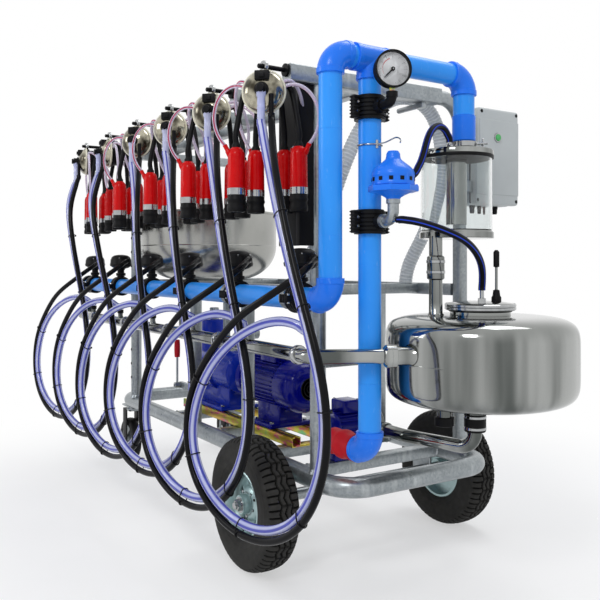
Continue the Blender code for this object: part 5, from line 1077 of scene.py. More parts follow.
def tyre(side_name, side):
    """Section bead to bead carried round the axle; zig-zag grooves and shoulder cuts pressed into the crown."""
    half = np.array(((0.107, 0.044), (0.116, 0.050), (0.132, 0.0555), (0.150, 0.0575), (0.168, 0.0572), (0.182, 0.0545),
                     (0.191, 0.0505), (0.1975, 0.0440), (0.2020, 0.0330), (0.2045, 0.0180), (0.2050, 0.0)))
    section = np.concatenate((half, half[-2::-1] * (1, -1)))
    run = np.concatenate(([0.0], np.cumsum(np.linalg.norm(np.diff(section, axis=0), axis=1))))
    want = np.linspace(0.0, run[-1], 110)
    radius, height = np.interp(want, run, section[:, 0])[:, None], np.interp(want, run, section[:, 1])[:, None]
    angle = np.linspace(0.0, 2 * np.pi, 540, endpoint=False)[None]
    beat = np.abs(((angle * 30 / np.pi) % 2) - 1)
    groove = np.zeros(np.broadcast(radius, angle).shape)
    for middle, swing in ((0.0, 0.005), (0.0185, 0.004), (-0.0185, 0.004)):
        away = np.abs(height - middle - swing * (2 * beat - 1))
        groove = np.maximum(groove, 1 - np.clip((away - 0.0018) / 0.0014, 0, 1))
    cut = 1 - np.clip((np.abs(beat - 0.5) - 0.07) / 0.10, 0, 1)
    shoulder = np.clip((np.abs(height) - 0.019) / 0.003, 0, 1) * np.clip((radius - 0.188) / 0.004, 0, 1)
    groove = np.maximum(groove, cut * shoulder)
    centre_cut = 1 - np.clip((np.abs(beat - 0.95) - 0.03) / 0.08, 0, 1)
    groove = np.maximum(groove, 0.8 * centre_cut * (np.abs(height) < 0.0165))
    groove = groove * np.clip((radius - 0.186) / 0.006, 0, 1)
    ridge = 0.0008 * np.exp(-((radius - 0.170) / 0.0012) ** 2) + 0.0008 * np.exp(-((radius - 0.128) / 0.0015) ** 2)
    shape = radius - 0.0075 * groove
    lift = height + np.sign(height) * ridge
    place = np.array((AXLE_X, side * TRACK / 2, TYRE_R))
    points = place + np.stack((shape * np.cos(angle), np.broadcast_to(lift, shape.shape), shape * np.sin(angle)), -1)
    # the groove mask goes to the finish, which paints the grooves near black as shade
    trace = np.stack((groove, groove * 0, groove * 0), -1)
    form = Form().patch(points, "tyre_rubber", trace, caps=False)
    bead = np.array(((0.107, -0.044), (0.1069, -0.02), (0.1069, 0.02), (0.107, 0.044)))
    form.turned(bead, place, (0, 1, 0), "tyre_rubber", 540, caps=False)
    piece(f"tyre_{side_name}_dressed", form, f"wheel_{side_name}", f"tyre_{side_name}", crease=30.0)


def rim(side_name, side):
    """Dished disc from hub to bead with oval holes pressed into it and painted dark as shade, lip, hub and bearing cap.
    """
    place = np.array((AXLE_X, side * TRACK / 2, TYRE_R))
    axis = np.array((0.0, float(side), 0.0))
    u, v, w = basis(axis)
    radius = np.linspace(0.0295, 0.0985, 56)[:, None]
    angle = np.linspace(0.0, 2 * np.pi, 240, endpoint=False)[None]
    dish = np.interp(radius[:, 0], (0.0295, 0.034, 0.044, 0.055, 0.074, 0.084, 0.092, 0.0985),
                     (0.024, 0.0235, 0.020, 0.008, 0.004, 0.005, 0.020, 0.0400))[:, None]
    form = Form()
    turn = ((angle / (2 * np.pi) * 5 + 0.25) % 1 - 0.5) * 2 * np.pi / 5
    oval = ((radius - 0.066) / 0.0105) ** 2 + (turn * 0.066 / 0.0175) ** 2
    hole = 1 - np.clip((np.sqrt(oval) - 0.90) / 0.16, 0, 1)
    lip = np.exp(-((np.sqrt(oval) - 1.12) / 0.10) ** 2)
    rib = 0.0015 * np.exp(-((radius - 0.050) / 0.003) ** 2)
    level = dish - 0.010 * hole + 0.0014 * lip + rib
    circle = np.cos(angle)[..., None] * u + np.sin(angle)[..., None] * v
    points = place + radius[..., None] * circle + level[..., None] * w
    # masks for painted shade, stored in the trace: the pressed holes, and the steep corners of the dish near its rim
    # and its hub
    corner = np.exp(-((radius - 0.0865) / 0.0050) ** 2) + np.exp(-((radius - 0.0345) / 0.0030) ** 2) + hole * 0
    trace = np.stack((hole, corner, hole * 0), -1)
    form.patch(points, "zinc_rim", trace, caps=False)
    form.turned([(0.0985, 0.040), (0.101, 0.0452), (0.1045, 0.0455), (0.1066, 0.0440), (0.1066, -0.0440),
                 (0.1045, -0.0455), (0.0985, -0.0440), (0.0975, -0.010), (0.0295, -0.006), (0.0295, -0.047), (0.0135, -0.047)],
                place, axis, "zinc_rim", 96, caps=False)
    form.turned([(0.0300, 0.022), (0.0300, 0.040), (0.0285, 0.0425), (0.0285, 0.0475), (0.0140, 0.0475)], place, axis, "zinc_rim", 56)
    form.turned([(0.0245, 0.0474), (0.0245, 0.0484), (0.0150, 0.0484)], place, axis, "chrome", 48)
    for step in range(5):
        a = 2 * math.pi * (step + 0.75) / 5
        out = math.cos(a) * u + math.sin(a) * v
        form.bolt(place + out * 0.0395 + w * 0.021, w, 0.0050, 0.0045)
    valve = place + (math.cos(0.4) * u + math.sin(0.4) * v) * 0.088 + w * 0.014
    form.rod(valve, valve + w * 0.030, 0.0040, "rubber_black", 12, 0.001)
    piece(f"rim_{side_name}_dressed", form, f"wheel_{side_name}", f"rim_{side_name}")


def castor(side_name, side):
    y = side * CASTOR_Y
    top = np.array((CASTOR_X, y, 0.2657))
    axle = np.array((CASTOR_X - CASTOR_TRAIL, y, CASTOR_R))
    form = Form()
    form.turned([(0.034, 0.0), (0.034, -0.006), (0.030, -0.008), (0.034, -0.010), (0.034, -0.020), (0.020, -0.022)], top, (0, 0, 1), "galvanised", 36)
    form.block((axle[0] - 0.025, y - 0.031, 0.2437), (CASTOR_X + 0.025, y + 0.031, 0.2497), "plastic_black", 0.0025)
    for edge in (-1, 1):
        leg = y + edge * 0.028
        form.block((axle[0] - 0.025, leg - 0.003, 0.075), (axle[0] + 0.025, leg + 0.003, 0.2485), "plastic_black", 0.0028)
        form.bolt((axle[0], y + edge * 0.031, axle[2]), (0, edge, 0), 0.009, 0.006)
    form.rod((axle[0], y - 0.036, axle[2]), (axle[0], y + 0.036, axle[2]), 0.0058, "chrome", 16)
    piece(f"castor_fork_{side_name}_dressed", form, f"castor_{side_name}_fork", f"castor_fork_{side_name}")
    wheel = Form()
    t = np.linspace(-np.pi / 2, np.pi / 2, 17)
    tread = np.stack((0.086 + 0.014 * np.cos(t) ** 0.6, 0.021 * np.sin(t)), -1)
    wheel.turned(np.concatenate(([(0.068, -0.020)], tread, [(0.068, 0.020)])), axle, (0, 1, 0), "rubber_black", 72, ring=True)
    wheel.turned([(0.0066, -0.0247), (0.020, -0.0247), (0.022, -0.016), (0.050, -0.008), (0.064, -0.017), (0.0685, -0.0185), (0.0685, 0.0185),
                  (0.064, 0.017), (0.050, 0.008), (0.022, 0.016), (0.020, 0.0247), (0.0066, 0.0247)], axle, (0, 1, 0), "galvanised", 56, ring=True)
    piece(f"castor_wheel_{side_name}_dressed", wheel, f"castor_{side_name}_roller", f"castor_wheel_{side_name}")


# Upper frame

def near_hoop():
    form = Form()
    y = BASE_Y
    foot = BASE_Z + 0.024
    path = rounded_path([(HOOP_X, y, foot), (HOOP_X, y, TOP_Z), (HOOP_X, 0.05, TOP_Z)], 0.085, 12)
    form.swept(path, POST_R, "galvanised", 32)
    form.rod((HOOP_X, -y, foot), (HOOP_X, -y, TOP_Z - 0.02), POST_R, "galvanised", 32)
    for side in (-1, 1):
        form.turned([(0.031, 0.0), (0.026, 0.008), (0.0235, 0.016)], (HOOP_X, side * y, foot), (0, 0, 1), "galvanised", 28)
    form.bar((HOOP_X, ARM_END_Y, TOP_Z), (HOOP_X, 0.185, TOP_Z), 0.05, 0.05, "galvanised", 0.005)
    form.bar((hook_x(5) - 0.02, RAIL_Y, TOP_Z), (HOOP_X, RAIL_Y, TOP_Z), 0.04, 0.04, "galvanised")
    for station in range(STATIONS):
        x = hook_x(station)
        if station:
            form.bar((x, ARM_END_Y, TOP_Z), (x, RAIL_Y, TOP_Z), 0.04, 0.04, "galvanised")
        form.rod((x, ARM_END_Y + 0.01, PEG_Z), (x, ARM_END_Y - PEG_LENGTH, PEG_Z), PEG_R - 0.0001, "plastic_black", 20, 0.002)
        form.turned([(0.007, 0.0), (0.019, 0.0), (0.019, 0.007), (0.007, 0.010)], (x, ARM_END_Y, PEG_Z), (0, -1, 0), "plastic_black", 28)
    form.block((HOOP_X - 0.010, -0.362, 1.0), (HOOP_X + 0.010, -0.295, TOP_Z - 0.024), "plastic_black", 0.003)
    form.block((HOOP_X - 0.125, -0.352, 1.0), (HOOP_X - 0.008, -0.342, TOP_Z - 0.024), "plastic_black", 0.003)
    bar_z = 0.655
    form.bar((HOOP_X, -y, bar_z), (HOOP_X, y, bar_z), 0.02, 0.04, "galvanised")
    angle = np.linspace(math.radians(156), math.radians(204), 24)
    seat = np.stack((REC_X + (REC_R + 0.004) * np.cos(angle), REC_Y + (REC_R + 0.004) * np.sin(angle), np.full(24, bar_z)), -1)
    flat = rounded_section(0.0072, 0.04, 0.002)
    out = np.stack((np.cos(angle), np.sin(angle), np.zeros(24)), -1)
    form.patch(seat[:, None] + flat[None, :, :1] * out[:, None] + flat[None, :, 1:] * UP, "galvanised")
    for dy in (-0.09, 0.09):
        form.bar((HOOP_X, REC_Y + dy, bar_z), (REC_X - math.sqrt(REC_R**2 - dy**2) - 0.006, REC_Y + dy, bar_z), 0.03, 0.036, "galvanised")
    form.rod((HOOP_X, REG_Y, SUCTION_Z), (HOOP_X + 0.06, REG_Y, SUCTION_Z), PIPE_R, "galvanised", 32)
    for z in (BOX_Z[0] + 0.06, BOX_Z[1] - 0.08):
        form.block((HOOP_X - 0.03, y - 0.006, z - 0.02), (HOOP_X - 0.008, BOX_Y[0] - GAP, z + 0.02), "galvanised", 0.003)
    form.rod((HOOP_X, SPIRAL_PEG_Y, SPIRAL_PEG_Z), (HOOP_X - 0.12, SPIRAL_PEG_Y, SPIRAL_PEG_Z), SPIRAL_PEG_R, "galvanised", 20, 0.002)
    form.block((HOOP_X - 0.02, SPIRAL_PEG_Y - 0.01, SPIRAL_PEG_Z - 0.01), (HOOP_X + 0.01, SPIRAL_PEG_Y + 0.01, TOP_Z - 0.02), "galvanised", 0.002)
    piece("near_hoop_dressed", form, "chassis", "near_hoop")


def far_hoop():
    form = Form()
    top = TOP_Z - 0.02 - GAP
    form.bar((FAR_HOOP_X, -BASE_Y - POST_R, top - 0.02), (FAR_HOOP_X, BASE_Y + POST_R, top - 0.02), 0.04, 0.04, "galvanised")
    for side in (-1, 1):
        y = side * BASE_Y
        form.rod((FAR_HOOP_X, y, BASE_Z + 0.024), (FAR_HOOP_X, y, top - 0.038), POST_R, "galvanised", 32)
        form.turned([(0.031, 0.0), (0.026, 0.008), (0.0235, 0.016)], (FAR_HOOP_X, y, BASE_Z + 0.024), (0, 0, 1), "galvanised", 28)
        for step in range(15):
            z = 0.42 + 0.065 * step
            form.turned([(0.0062, 0.0), (0.0062, 0.0012), (0.0001, 0.0012)], (FAR_HOOP_X, y - POST_R + 0.0002, z), (0, -1, 0), "plastic_black", 16)
    piece("far_hoop_dressed", form, "chassis", "far_hoop")


def platform():
    form = Form()
    near, far = HOOP_X - POST_R - GAP, FAR_HOOP_X + POST_R + GAP
    for side in (-1, 1):
        form.bar((far, side * BASE_Y, PLATFORM_Z), (near, side * BASE_Y, PLATFORM_Z), 0.04, 0.04, "galvanised")
        for x in PLATFORM_POSTS_X:
            form.bar((x, side * BASE_Y, BASE_Z + 0.0245), (x, side * BASE_Y, PLATFORM_Z - 0.018), 0.036, 0.036, "galvanised", up=(0, 1, 0))
    for x in PLATFORM_CROSS_X:
        form.bar((x, -BASE_Y + 0.018, PLATFORM_Z + 0.001), (x, BASE_Y - 0.018, PLATFORM_Z + 0.001), 0.036, 0.036, "galvanised")
    for x in BRACKETS_X:
        form.block((x - 0.01, RISER_Y + PIPE_R + GAP, LINE_Z - 0.01), (x + 0.01, -BASE_Y - 0.018, LINE_Z + 0.01), "galvanised", 0.002)
        form.block((x - 0.009, -0.37, MILK_Z - 0.01), (x + 0.009, -0.35, LINE_Z), "galvanised", 0.002)
        form.block((x - 0.008, MILK_Y + MILK_R + GAP, MILK_Z - 0.008), (x + 0.008, -0.36, MILK_Z + 0.008), "galvanised", 0.002)
        form.bolt((x, -0.37, LINE_Z - 0.004), (0, -1, 0), 0.006, 0.005)
    piece("platform_dressed", form, "chassis", "platform")


def wash_tub():
    """Bowl section: foot, swelling quarter, upright wall and rolled rim, outside then back down inside."""
    t = np.linspace(0.0, 1.0, 26)
    outer_r = TUB_FOOT_R + (TUB_R - TUB_FOOT_R) * np.sin(t * np.pi / 2)
    outer_z = TUB_FOOT_Z + (TUB_WALL_Z - TUB_FOOT_Z) * (1 - np.cos(t * np.pi / 2))
    outer = np.stack((outer_r, outer_z), -1)
    a = np.linspace(-np.pi / 2, np.pi, 12)
    roll = np.stack((TUB_R + 0.0045 + 0.0045 * np.cos(a), TUB_TOP_Z - 0.0045 + 0.0045 * np.sin(a)), -1)
    inner = outer[::-1] - (0.003, 0.0) + np.array((0.0, 0.003)) * (outer_z[::-1, None] < TUB_WALL_Z - 0.01)
    section = np.concatenate((outer, [(TUB_R, TUB_TOP_Z - 0.010)], roll, [(TUB_R - 0.003, TUB_TOP_Z - 0.010)], inner))
    form = Form().turned(section, (TUB_X, TUB_Y, 0.0), (0, 0, 1), "sheet_steel", 128)
    form.turned([(TUB_R - 0.0005, TUB_WALL_Z - 0.003), (TUB_R + 0.0012, TUB_WALL_Z), (TUB_R - 0.0005, TUB_WALL_Z + 0.003)],
                (TUB_X, TUB_Y, 0.0), (0, 0, 1), "sheet_steel", 128, ring=True)
    piece("wash_tub_dressed", form, "chassis", "wash_tub")


# Vacuum side

def socket_end(form, place, way):
    """Bead at the mouth of a socket: a step out and a step back to the pipe."""
    rows = [(SOCKET_R - 0.001, -0.016), (SOCKET_R + 0.0012, -0.014), (SOCKET_R + 0.0012, -0.001), (SOCKET_R, 0.0), (PIPE_R - 0.002, 0.0)]
    form.turned(rows, np.asarray(place, float) + unit(way) * SOCKET_LENGTH, way, "fitting_blue", 48)


def elbow(form, place, first, second):
    place = np.asarray(place, float)
    ends = [place + unit(way) * (SOCKET_LENGTH - 0.001) for way in (first, second)]
    form.swept(rounded_path([ends[0], place, ends[1]], 0.054, 14), SOCKET_R, "fitting_blue", 48)
    socket_end(form, place, first)
    socket_end(form, place, second)


def vacuum_header():
    form = Form()
    up, down, back, left, right = (0, 0, 1), (0, 0, -1), (-1, 0, 0), (0, -1, 0), (0, 1, 0)
    x = HEADER_X
    corner, tee, drop = (x, RISER_Y, HEADER_Z), (x, REG_Y, HEADER_Z), (x, DROP_Y, HEADER_Z)
    low, foot = (x, RISER_Y, LINE_Z), (x, REG_Y, SUCTION_Z)
    elbow(form, corner, down, right)
    elbow(form, drop, left, down)
    elbow(form, low, up, back)
    elbow(form, foot, up, back)
    form.swept([(x, REG_Y - SOCKET_LENGTH + 0.001, HEADER_Z), (x, REG_Y + SOCKET_LENGTH - 0.001, HEADER_Z)], SOCKET_R, "fitting_blue", 48)
    form.swept([(x, REG_Y, HEADER_Z), (x, REG_Y, HEADER_Z - SOCKET_LENGTH + 0.001)], SOCKET_R, "fitting_blue", 48)
    for way in (left, right, down):
        socket_end(form, tee, way)
    hidden = SOCKET_LENGTH - 0.008
    for start, end, bent in ((corner, tee, 0), (tee, drop, hidden), (corner, low, hidden), (tee, foot, hidden)):
        way = unit(np.subtract(end, start))
        form.rod(start + way * (0 if start == tee else hidden), end - way * bent, PIPE_R, "pipe_blue", 48)
    form.rod((x, DROP_Y, HEADER_Z - hidden), (x, DROP_Y, FERRULE_TOP + GAP), PIPE_R, "pipe_blue", 48)
    form.turned([(PIPE_R, 0.0), (PIPE_R + 0.003, 0.002), (PIPE_R + 0.003, 0.075), (PIPE_R, 0.077)], (x, DROP_Y, FERRULE_TOP + 0.001), up, "fitting_blue", 48)
    for y, z in ((RISER_Y, 1.02), (RISER_Y, 1.30), (REG_Y, 0.62), (REG_Y, 0.94)):
        form.turned([(PIPE_R, 0.0), (PIPE_R + 0.0006, 0.0006), (PIPE_R, 0.0012)], (x, y, z), up, "pipe_blue", 48)
    piece("vacuum_header_dressed", form, "chassis", "vacuum_header")


def ribbed_saddle(form, place, axis, side, boss):
    """Black clamp saddle: a ring with ribs, two bolted ears, and a boss that faces out."""
    half = SADDLE_TALL if boss is not None else SADDLE_HALF - 0.002
    rows = [(PIPE_R + 0.0004, -half)]
    for step in range(round(half / 0.0055)):
        h = -half + 0.011 * step
        rows += [(SADDLE_R, h), (SADDLE_R, h + 0.007), (SADDLE_R - 0.004, h + 0.008), (SADDLE_R - 0.004, h + 0.0105)]
    rows += [(SADDLE_R - 0.004, half), (PIPE_R + 0.0004, half)]
    form.turned(rows, place, axis, "plastic_black", 48, ring=True)
    axis, side = unit(axis), unit(side)
    out = np.cross(axis, side)
    for edge in (-1, 1):
        middle = np.asarray(place, float) + side * edge * (SADDLE_R + 0.006)
        form.block((-0.008, -0.009, 0.002 - half), (0.010, 0.009, half - 0.002), "plastic_black", 0.002, (side * edge, out, axis), middle)
        for h in np.arange(-half + 0.006, half - 0.004, 0.009):
            form.block((-0.008, -0.012, -0.0022), (0.011, 0.012, 0.0022), "plastic_black", 0.0009, (side * edge, out, axis), middle + axis * h)
        for h in (-0.012, 0.012):
            form.bolt(middle + axis * h + out * 0.009, out, 0.0045, 0.005)
            form.bolt(middle + axis * h - out * 0.009, -out, 0.0045, 0.005)
    if boss is not None:
        form.turned([(0.020, 0.0), (0.020, 0.012), (0.0175, 0.016), (0.0175, 0.022)], np.asarray(place, float) + unit(boss) * (SADDLE_R - 0.008),
                    boss, "plastic_black", 28)


def pulsator(form, x):
    ribbed_saddle(form, (x, RISER_Y, LINE_Z), (1, 0, 0), (0, 1, 0), None)
    foot = (x, RISER_Y, 0.0)
    form.turned([(0.016, 0.884), (0.016, 0.896), (0.021, 0.897), (0.021, 0.908), (0.015, 0.909), (0.015, 0.922), (0.019, 0.924), (0.019, 0.932)],
                foot, (0, 0, 1), "plastic_black", 28)
    angle = np.linspace(0.0, 2 * np.pi, 48, endpoint=False)[None, :, None]
    section = np.array(((0.016, 0.926), (0.036, 0.932), (0.0500, 0.940), (0.0520, 0.948), (0.0495, 0.953), (0.0485, 0.968),
                        (0.043, 0.980), (0.031, 0.987), (0.014, 0.990), (0.0005, 0.9905)))
    oval = np.cos(angle) * (1.0, 0.0, 0.0) + 0.92 * np.sin(angle) * (0.0, 1.0, 0.0)
    form.patch(np.array(foot) + section[:, 0, None, None] * oval + section[:, 1, None, None] * UP, "plastic_black")
    for step in range(6):
        a = math.pi * (step + 0.5) / 3
        form.bolt((x + 0.045 * math.cos(a), RISER_Y + 0.041 * math.sin(a), 0.9740), (0.5 * math.cos(a), 0.5 * math.sin(a), 1), 0.0028, 0.003)
    form.rod((x + 0.040, RISER_Y, PULSE_Z), (x + PULSE_NIPPLE_X, RISER_Y, PULSE_Z), 0.007, "plastic_black", 20)
    form.turned([(0.0105, 0.0), (0.0105, 0.006), (0.007, 0.007)], (x + 0.044, RISER_Y, PULSE_Z), (1, 0, 0), "plastic_black", 20)


def vacuum_line():
    form = Form()
    form.rod((HEADER_X - SOCKET_LENGTH - GAP, RISER_Y, LINE_Z), (LINE_FAR_X + 0.004, RISER_Y, LINE_Z), PIPE_R, "pipe_blue", 48)
    form.turned([(0.030, 0.0), (0.041, 0.002), (0.043, 0.006), (0.043, 0.027), (0.040, 0.030), (0.0316, 0.030)], (LINE_FAR_X, RISER_Y, LINE_Z), (1, 0, 0), "plastic_black", 48)
    for station in range(STATIONS):
        x = PULSATOR_X - PLACE_PITCH * station
        pulsator(form, x)
        if station < 5:
            form.turned([(PIPE_R, -0.012), (PIPE_R + 0.0025, -0.011), (PIPE_R + 0.0025, 0.011), (PIPE_R, 0.012)], (x - 0.055, RISER_Y, LINE_Z), (1, 0, 0), "galvanised" if station < 2 else "pipe_blue", 48)
    piece("vacuum_line_dressed", form, "chassis", "vacuum_line")


def red_coupling():
    far, near = HOOP_X + 0.06 + GAP, HEADER_X - SOCKET_LENGTH - GAP
    length = near - far
    t = np.linspace(0.0, 1.0, 60)
    swell = SOCKET_R + 0.0035 * np.exp(-((t - 0.5) / 0.16) ** 2) + 0.002 * (np.cos(t * 2 * np.pi * 2) * 0.5 + 0.5)
    rows = np.stack((swell, t * length), -1)
    form = Form().turned(np.concatenate(([(PIPE_R, 0.0)], rows, [(PIPE_R, length)])), (far, REG_Y, SUCTION_Z), (1, 0, 0), "red_rubber", 56)
    piece("red_coupling_dressed", form, "chassis", "red_coupling")


def regulator():
    form = Form()
    y, base, r = REG_Y, REG_BASE_Z, REG_R
    ribbed_saddle(form, (HEADER_X, y, REG_SADDLE_Z), (0, 0, 1), (0, 1, 0), (1, 0, 0))
    form.swept(rounded_path([(HEADER_X + SADDLE_R + 0.010, y, REG_SADDLE_Z), (REG_X, y, REG_SADDLE_Z), (REG_X, y, base + 0.012)], 0.025, 10), 0.0150, "galvanised", 32)
    for place, way in (((HEADER_X + SADDLE_R + 0.012, y, REG_SADDLE_Z), (1, 0, 0)), ((REG_X, y, base - 0.012), (0, 0, 1))):
        form.turned([(0.015, 0.0), (0.0185, 0.001), (0.0185, 0.012), (0.015, 0.013)], place, way, "galvanised", 32)
    foot = (REG_X, y, base)
    form.turned([(0.018, 0.0), (0.020, 0.004), (0.030, 0.010), (0.044, 0.016), (0.054, 0.020)], foot, (0, 0, 1), "fitting_blue", 64)
    form.turned([(0.050, 0.019), (0.0655, 0.0195), (0.0665, 0.022), (0.0665, 0.032), (0.0655, 0.034), (0.050, 0.035)], foot, (0, 0, 1), "fitting_blue", 8)
    t = np.linspace(0.0, 1.0, 24)
    bell = np.stack((0.020 + 0.036 * np.cos(t * np.pi / 2) ** 1.3, 0.066 + 0.040 * t), -1)
    form.turned(np.concatenate(([(0.050, 0.033), (0.0565, 0.036), (0.0565, 0.042), (0.0555, 0.044), (0.0555, 0.058), (0.0565, 0.060), (0.0565, 0.065)], bell,
                                [(0.0185, 0.112), (0.0180, 0.119), (0.0135, 0.1262), (0.0004, 0.127)])), foot, (0, 0, 1), "fitting_blue", 72)
    for step in range(12):
        a = 2 * math.pi * (step + 0.5) / 12
        out = np.array((math.cos(a), math.sin(a), 0.0))
        form.block((-0.0055, -0.002, -0.0050), (0.0055, 0.0012, 0.0050), "plastic_black", 0.0008, (np.cross(UP, out), out, UP), np.array(foot) + out * 0.0555 + UP * 0.051)
    for step in range(8):
        a = 2 * math.pi * step / 8
        form.bolt(np.array(foot) + (0.0605 * math.cos(a), 0.0605 * math.sin(a), 0.0345), (0, 0, 1), 0.0040, 0.003, "fitting_blue")
    for route, length in ((TRAP_HOSE_ROUTE, 0.060), (RECEIVER_HOSE_ROUTE, 0.060)):
        end, beyond = np.array(route[0]), np.array(route[1])
        back = unit(end - beyond)
        form.rod(end + back * GAP, end + back * length, 0.006, "chrome", 18)
        form.turned([(0.009, 0.0), (0.009, 0.007), (0.006, 0.008)], end + back * 0.002, back, "plastic_black", 6)
    ring = np.linspace(0.0, 2 * np.pi, 40, endpoint=False)[:, None]
    clip = np.array((HEADER_X, y, 1.268)) + (PIPE_R + 0.0022) * (np.cos(ring) * (1, 0, 0) + np.sin(ring) * (0, 1, 0))
    form.swept(clip, 0.0022, "chrome", 10, closed=True)
    latch = np.array((HEADER_X + PIPE_R + 0.003, y, 1.268))
    form.swept(smooth_route([latch - UP * 0.004, latch, latch + (0.020, 0.012, 0.004), latch + (0.055, 0.018, 0.012), latch + (0.090, 0.006, 0.000),
                             latch + (0.094, 0.0, -0.008)], 0.004), 0.0020, "chrome", 10)
    form.rod(latch - (0.004, 0, 0.010), latch + (-0.004, 0.0, 0.012), 0.0045, "chrome", 14)
    piece("regulator_dressed", form, "chassis", "regulator")


def gauge():
    facing = np.array((math.cos(GAUGE_YAW), math.sin(GAUGE_YAW), 0.0))
    back = np.array((GAUGE_X, REG_Y, GAUGE_Z)) - facing * GAUGE_DEPTH / 2
    dial = GAUGE_DEPTH - GAUGE_DIAL_DEPTH
    form = Form()
    r = GAUGE_R
    form.turned([(0.001, 0.0), (r - 0.006, 0.0), (r - 0.002, 0.003), (r - 0.002, dial), (r, dial + 0.001), (r, GAUGE_DEPTH - 0.001), (r - 0.0015, GAUGE_DEPTH),
                 (r - 0.005, GAUGE_DEPTH), (r - 0.0055, dial - 0.001), (0.001, dial - 0.001)], back, facing, "plastic_black", 72)
    u, v, w = basis(facing)
    radius, angle = np.linspace(0.02, 1.0, 24)[:, None], np.linspace(0.0, 2 * np.pi, 240, endpoint=False)[None]
    circle = np.cos(angle)[..., None] * u + np.sin(angle)[..., None] * v
    points = back + w * (dial + 0.0006) + (r - 0.0056) * radius[..., None] * circle
    turn = np.broadcast_to((angle + np.pi / 2) % (2 * np.pi), (24, 240))
    trace = np.stack((np.broadcast_to(radius, turn.shape), turn, turn * 0), -1)
    form.patch(points, "dial_face", trace)
    form.rod(back + w * dial, back + w * (dial + 0.0075), 0.0019, "chrome", 16)
    stem = rounded_path([(HEADER_X + SADDLE_R + 0.006, REG_Y, GAUGE_SADDLE_Z), (GAUGE_X, REG_Y, GAUGE_SADDLE_Z), (GAUGE_X, REG_Y, GAUGE_Z - r - 0.012)], 0.02, 8)
    form.swept(stem, 0.0135, "plastic_black", 28)
    form.turned([(0.0155, 0.0), (0.0155, 0.014), (0.012, 0.015)], (GAUGE_X, REG_Y, GAUGE_Z - r - 0.022), (0, 0, 1), "plastic_black", 28)
    form.turned([(0.0085, 0.0), (0.0085, 0.016)], (GAUGE_X, REG_Y, GAUGE_Z - r - 0.010), (0, 0, 1), "yellow_zinc", 6)
    ribbed_saddle(form, (HEADER_X, REG_Y, GAUGE_SADDLE_Z), (0, 0, 1), (0, 1, 0), (1, 0, 0))
    piece("gauge_case_dressed", form, "chassis", "gauge_case")
    needle = Form()
    face = back + facing * (dial + 0.003)
    side = unit(np.cross(facing, UP))
    pointing = math.cos(math.radians(-45)) * side + math.sin(math.radians(-45)) * UP
    across = np.cross(facing, pointing)
    needle.turned([(0.0023, 0.0), (0.0055, 0.0), (0.0055, 0.0022), (0.0048, 0.003), (0.0023, 0.003)], face, facing, "plastic_black", 32, ring=True)
    reach = np.linspace(0.0040, 0.034, 14)[:, None]
    width = np.interp(reach[:, 0], (0.0040, 0.024, 0.034), (0.0021, 0.0016, 0.0004))[:, None]
    ring = [face + facing * depth + pointing * reach + across * width * edge for depth, edge in ((0.0002, -1), (0.0002, 1), (0.0015, 1), (0.0015, -1))]
    needle.patch(np.stack(ring, 1), "plastic_black")
    piece("gauge_needle_dressed", needle, "gauge_needle", "gauge_needle")


# Milk side

def receiver():
    """Superellipse of revolution: radius R cos^(1/3), height H sin^(1/3), with weld bead, necks and clamps."""
    form = Form()
    t = np.linspace(-np.pi / 2, np.pi / 2, 121)
    middle, half = (REC_LOW + REC_TOP) / 2, (REC_TOP - REC_LOW) / 2
    radius = REC_R * np.clip(np.cos(t), 0, 1) ** (1 / 3) + 0.0004
    height = middle + half * np.sign(np.sin(t)) * np.abs(np.sin(t)) ** (1 / 3)
    form.turned(np.stack((radius, height), -1), (REC_X, REC_Y, 0.0), (0, 0, 1), "polished", 160)
    form.turned([(REC_R, middle - 0.0025), (REC_R + 0.0007, middle - 0.0008), (REC_R + 0.0007, middle + 0.0008), (REC_R, middle + 0.0025)],
                (REC_X, REC_Y, 0.0), (0, 0, 1), "polished", 160, ring=True)
    inlet = np.array((REC_X, REC_Y - REC_R, MILK_Z))
    toward = unit(np.array((MILK_TURN_X, MILK_Y, MILK_Z)) - inlet)
    form.turned([(0.034, -0.028), (0.028, -0.010), (0.0255, 0.0), (0.0255, 0.030), (UNION_R, 0.032), (UNION_R, 0.045)], inlet, toward, "polished", 48)
    x, y = REC_X, REC_Y - 0.02
    form.turned([(0.026, 0.03), (0.026, -0.016), (UNION_R, -0.018), (UNION_R, -0.030)], (x, y, REC_LOW), (0, 0, 1), "polished", 40)
    x, y = REC_X - 0.03, REC_Y - 0.11
    form.rod((x, y, REC_LOW + 0.03), (x, y, REC_LOW - 0.036), MILK_R, "polished", 36)
    form.turned([(0.021, -0.034), (0.027, -0.035), (0.027, -0.058), (0.024, -0.060)], (x, y, REC_LOW), (0, 0, 1), "rubber_black", 36)
    piece("receiver_dressed", form, "chassis", "receiver")


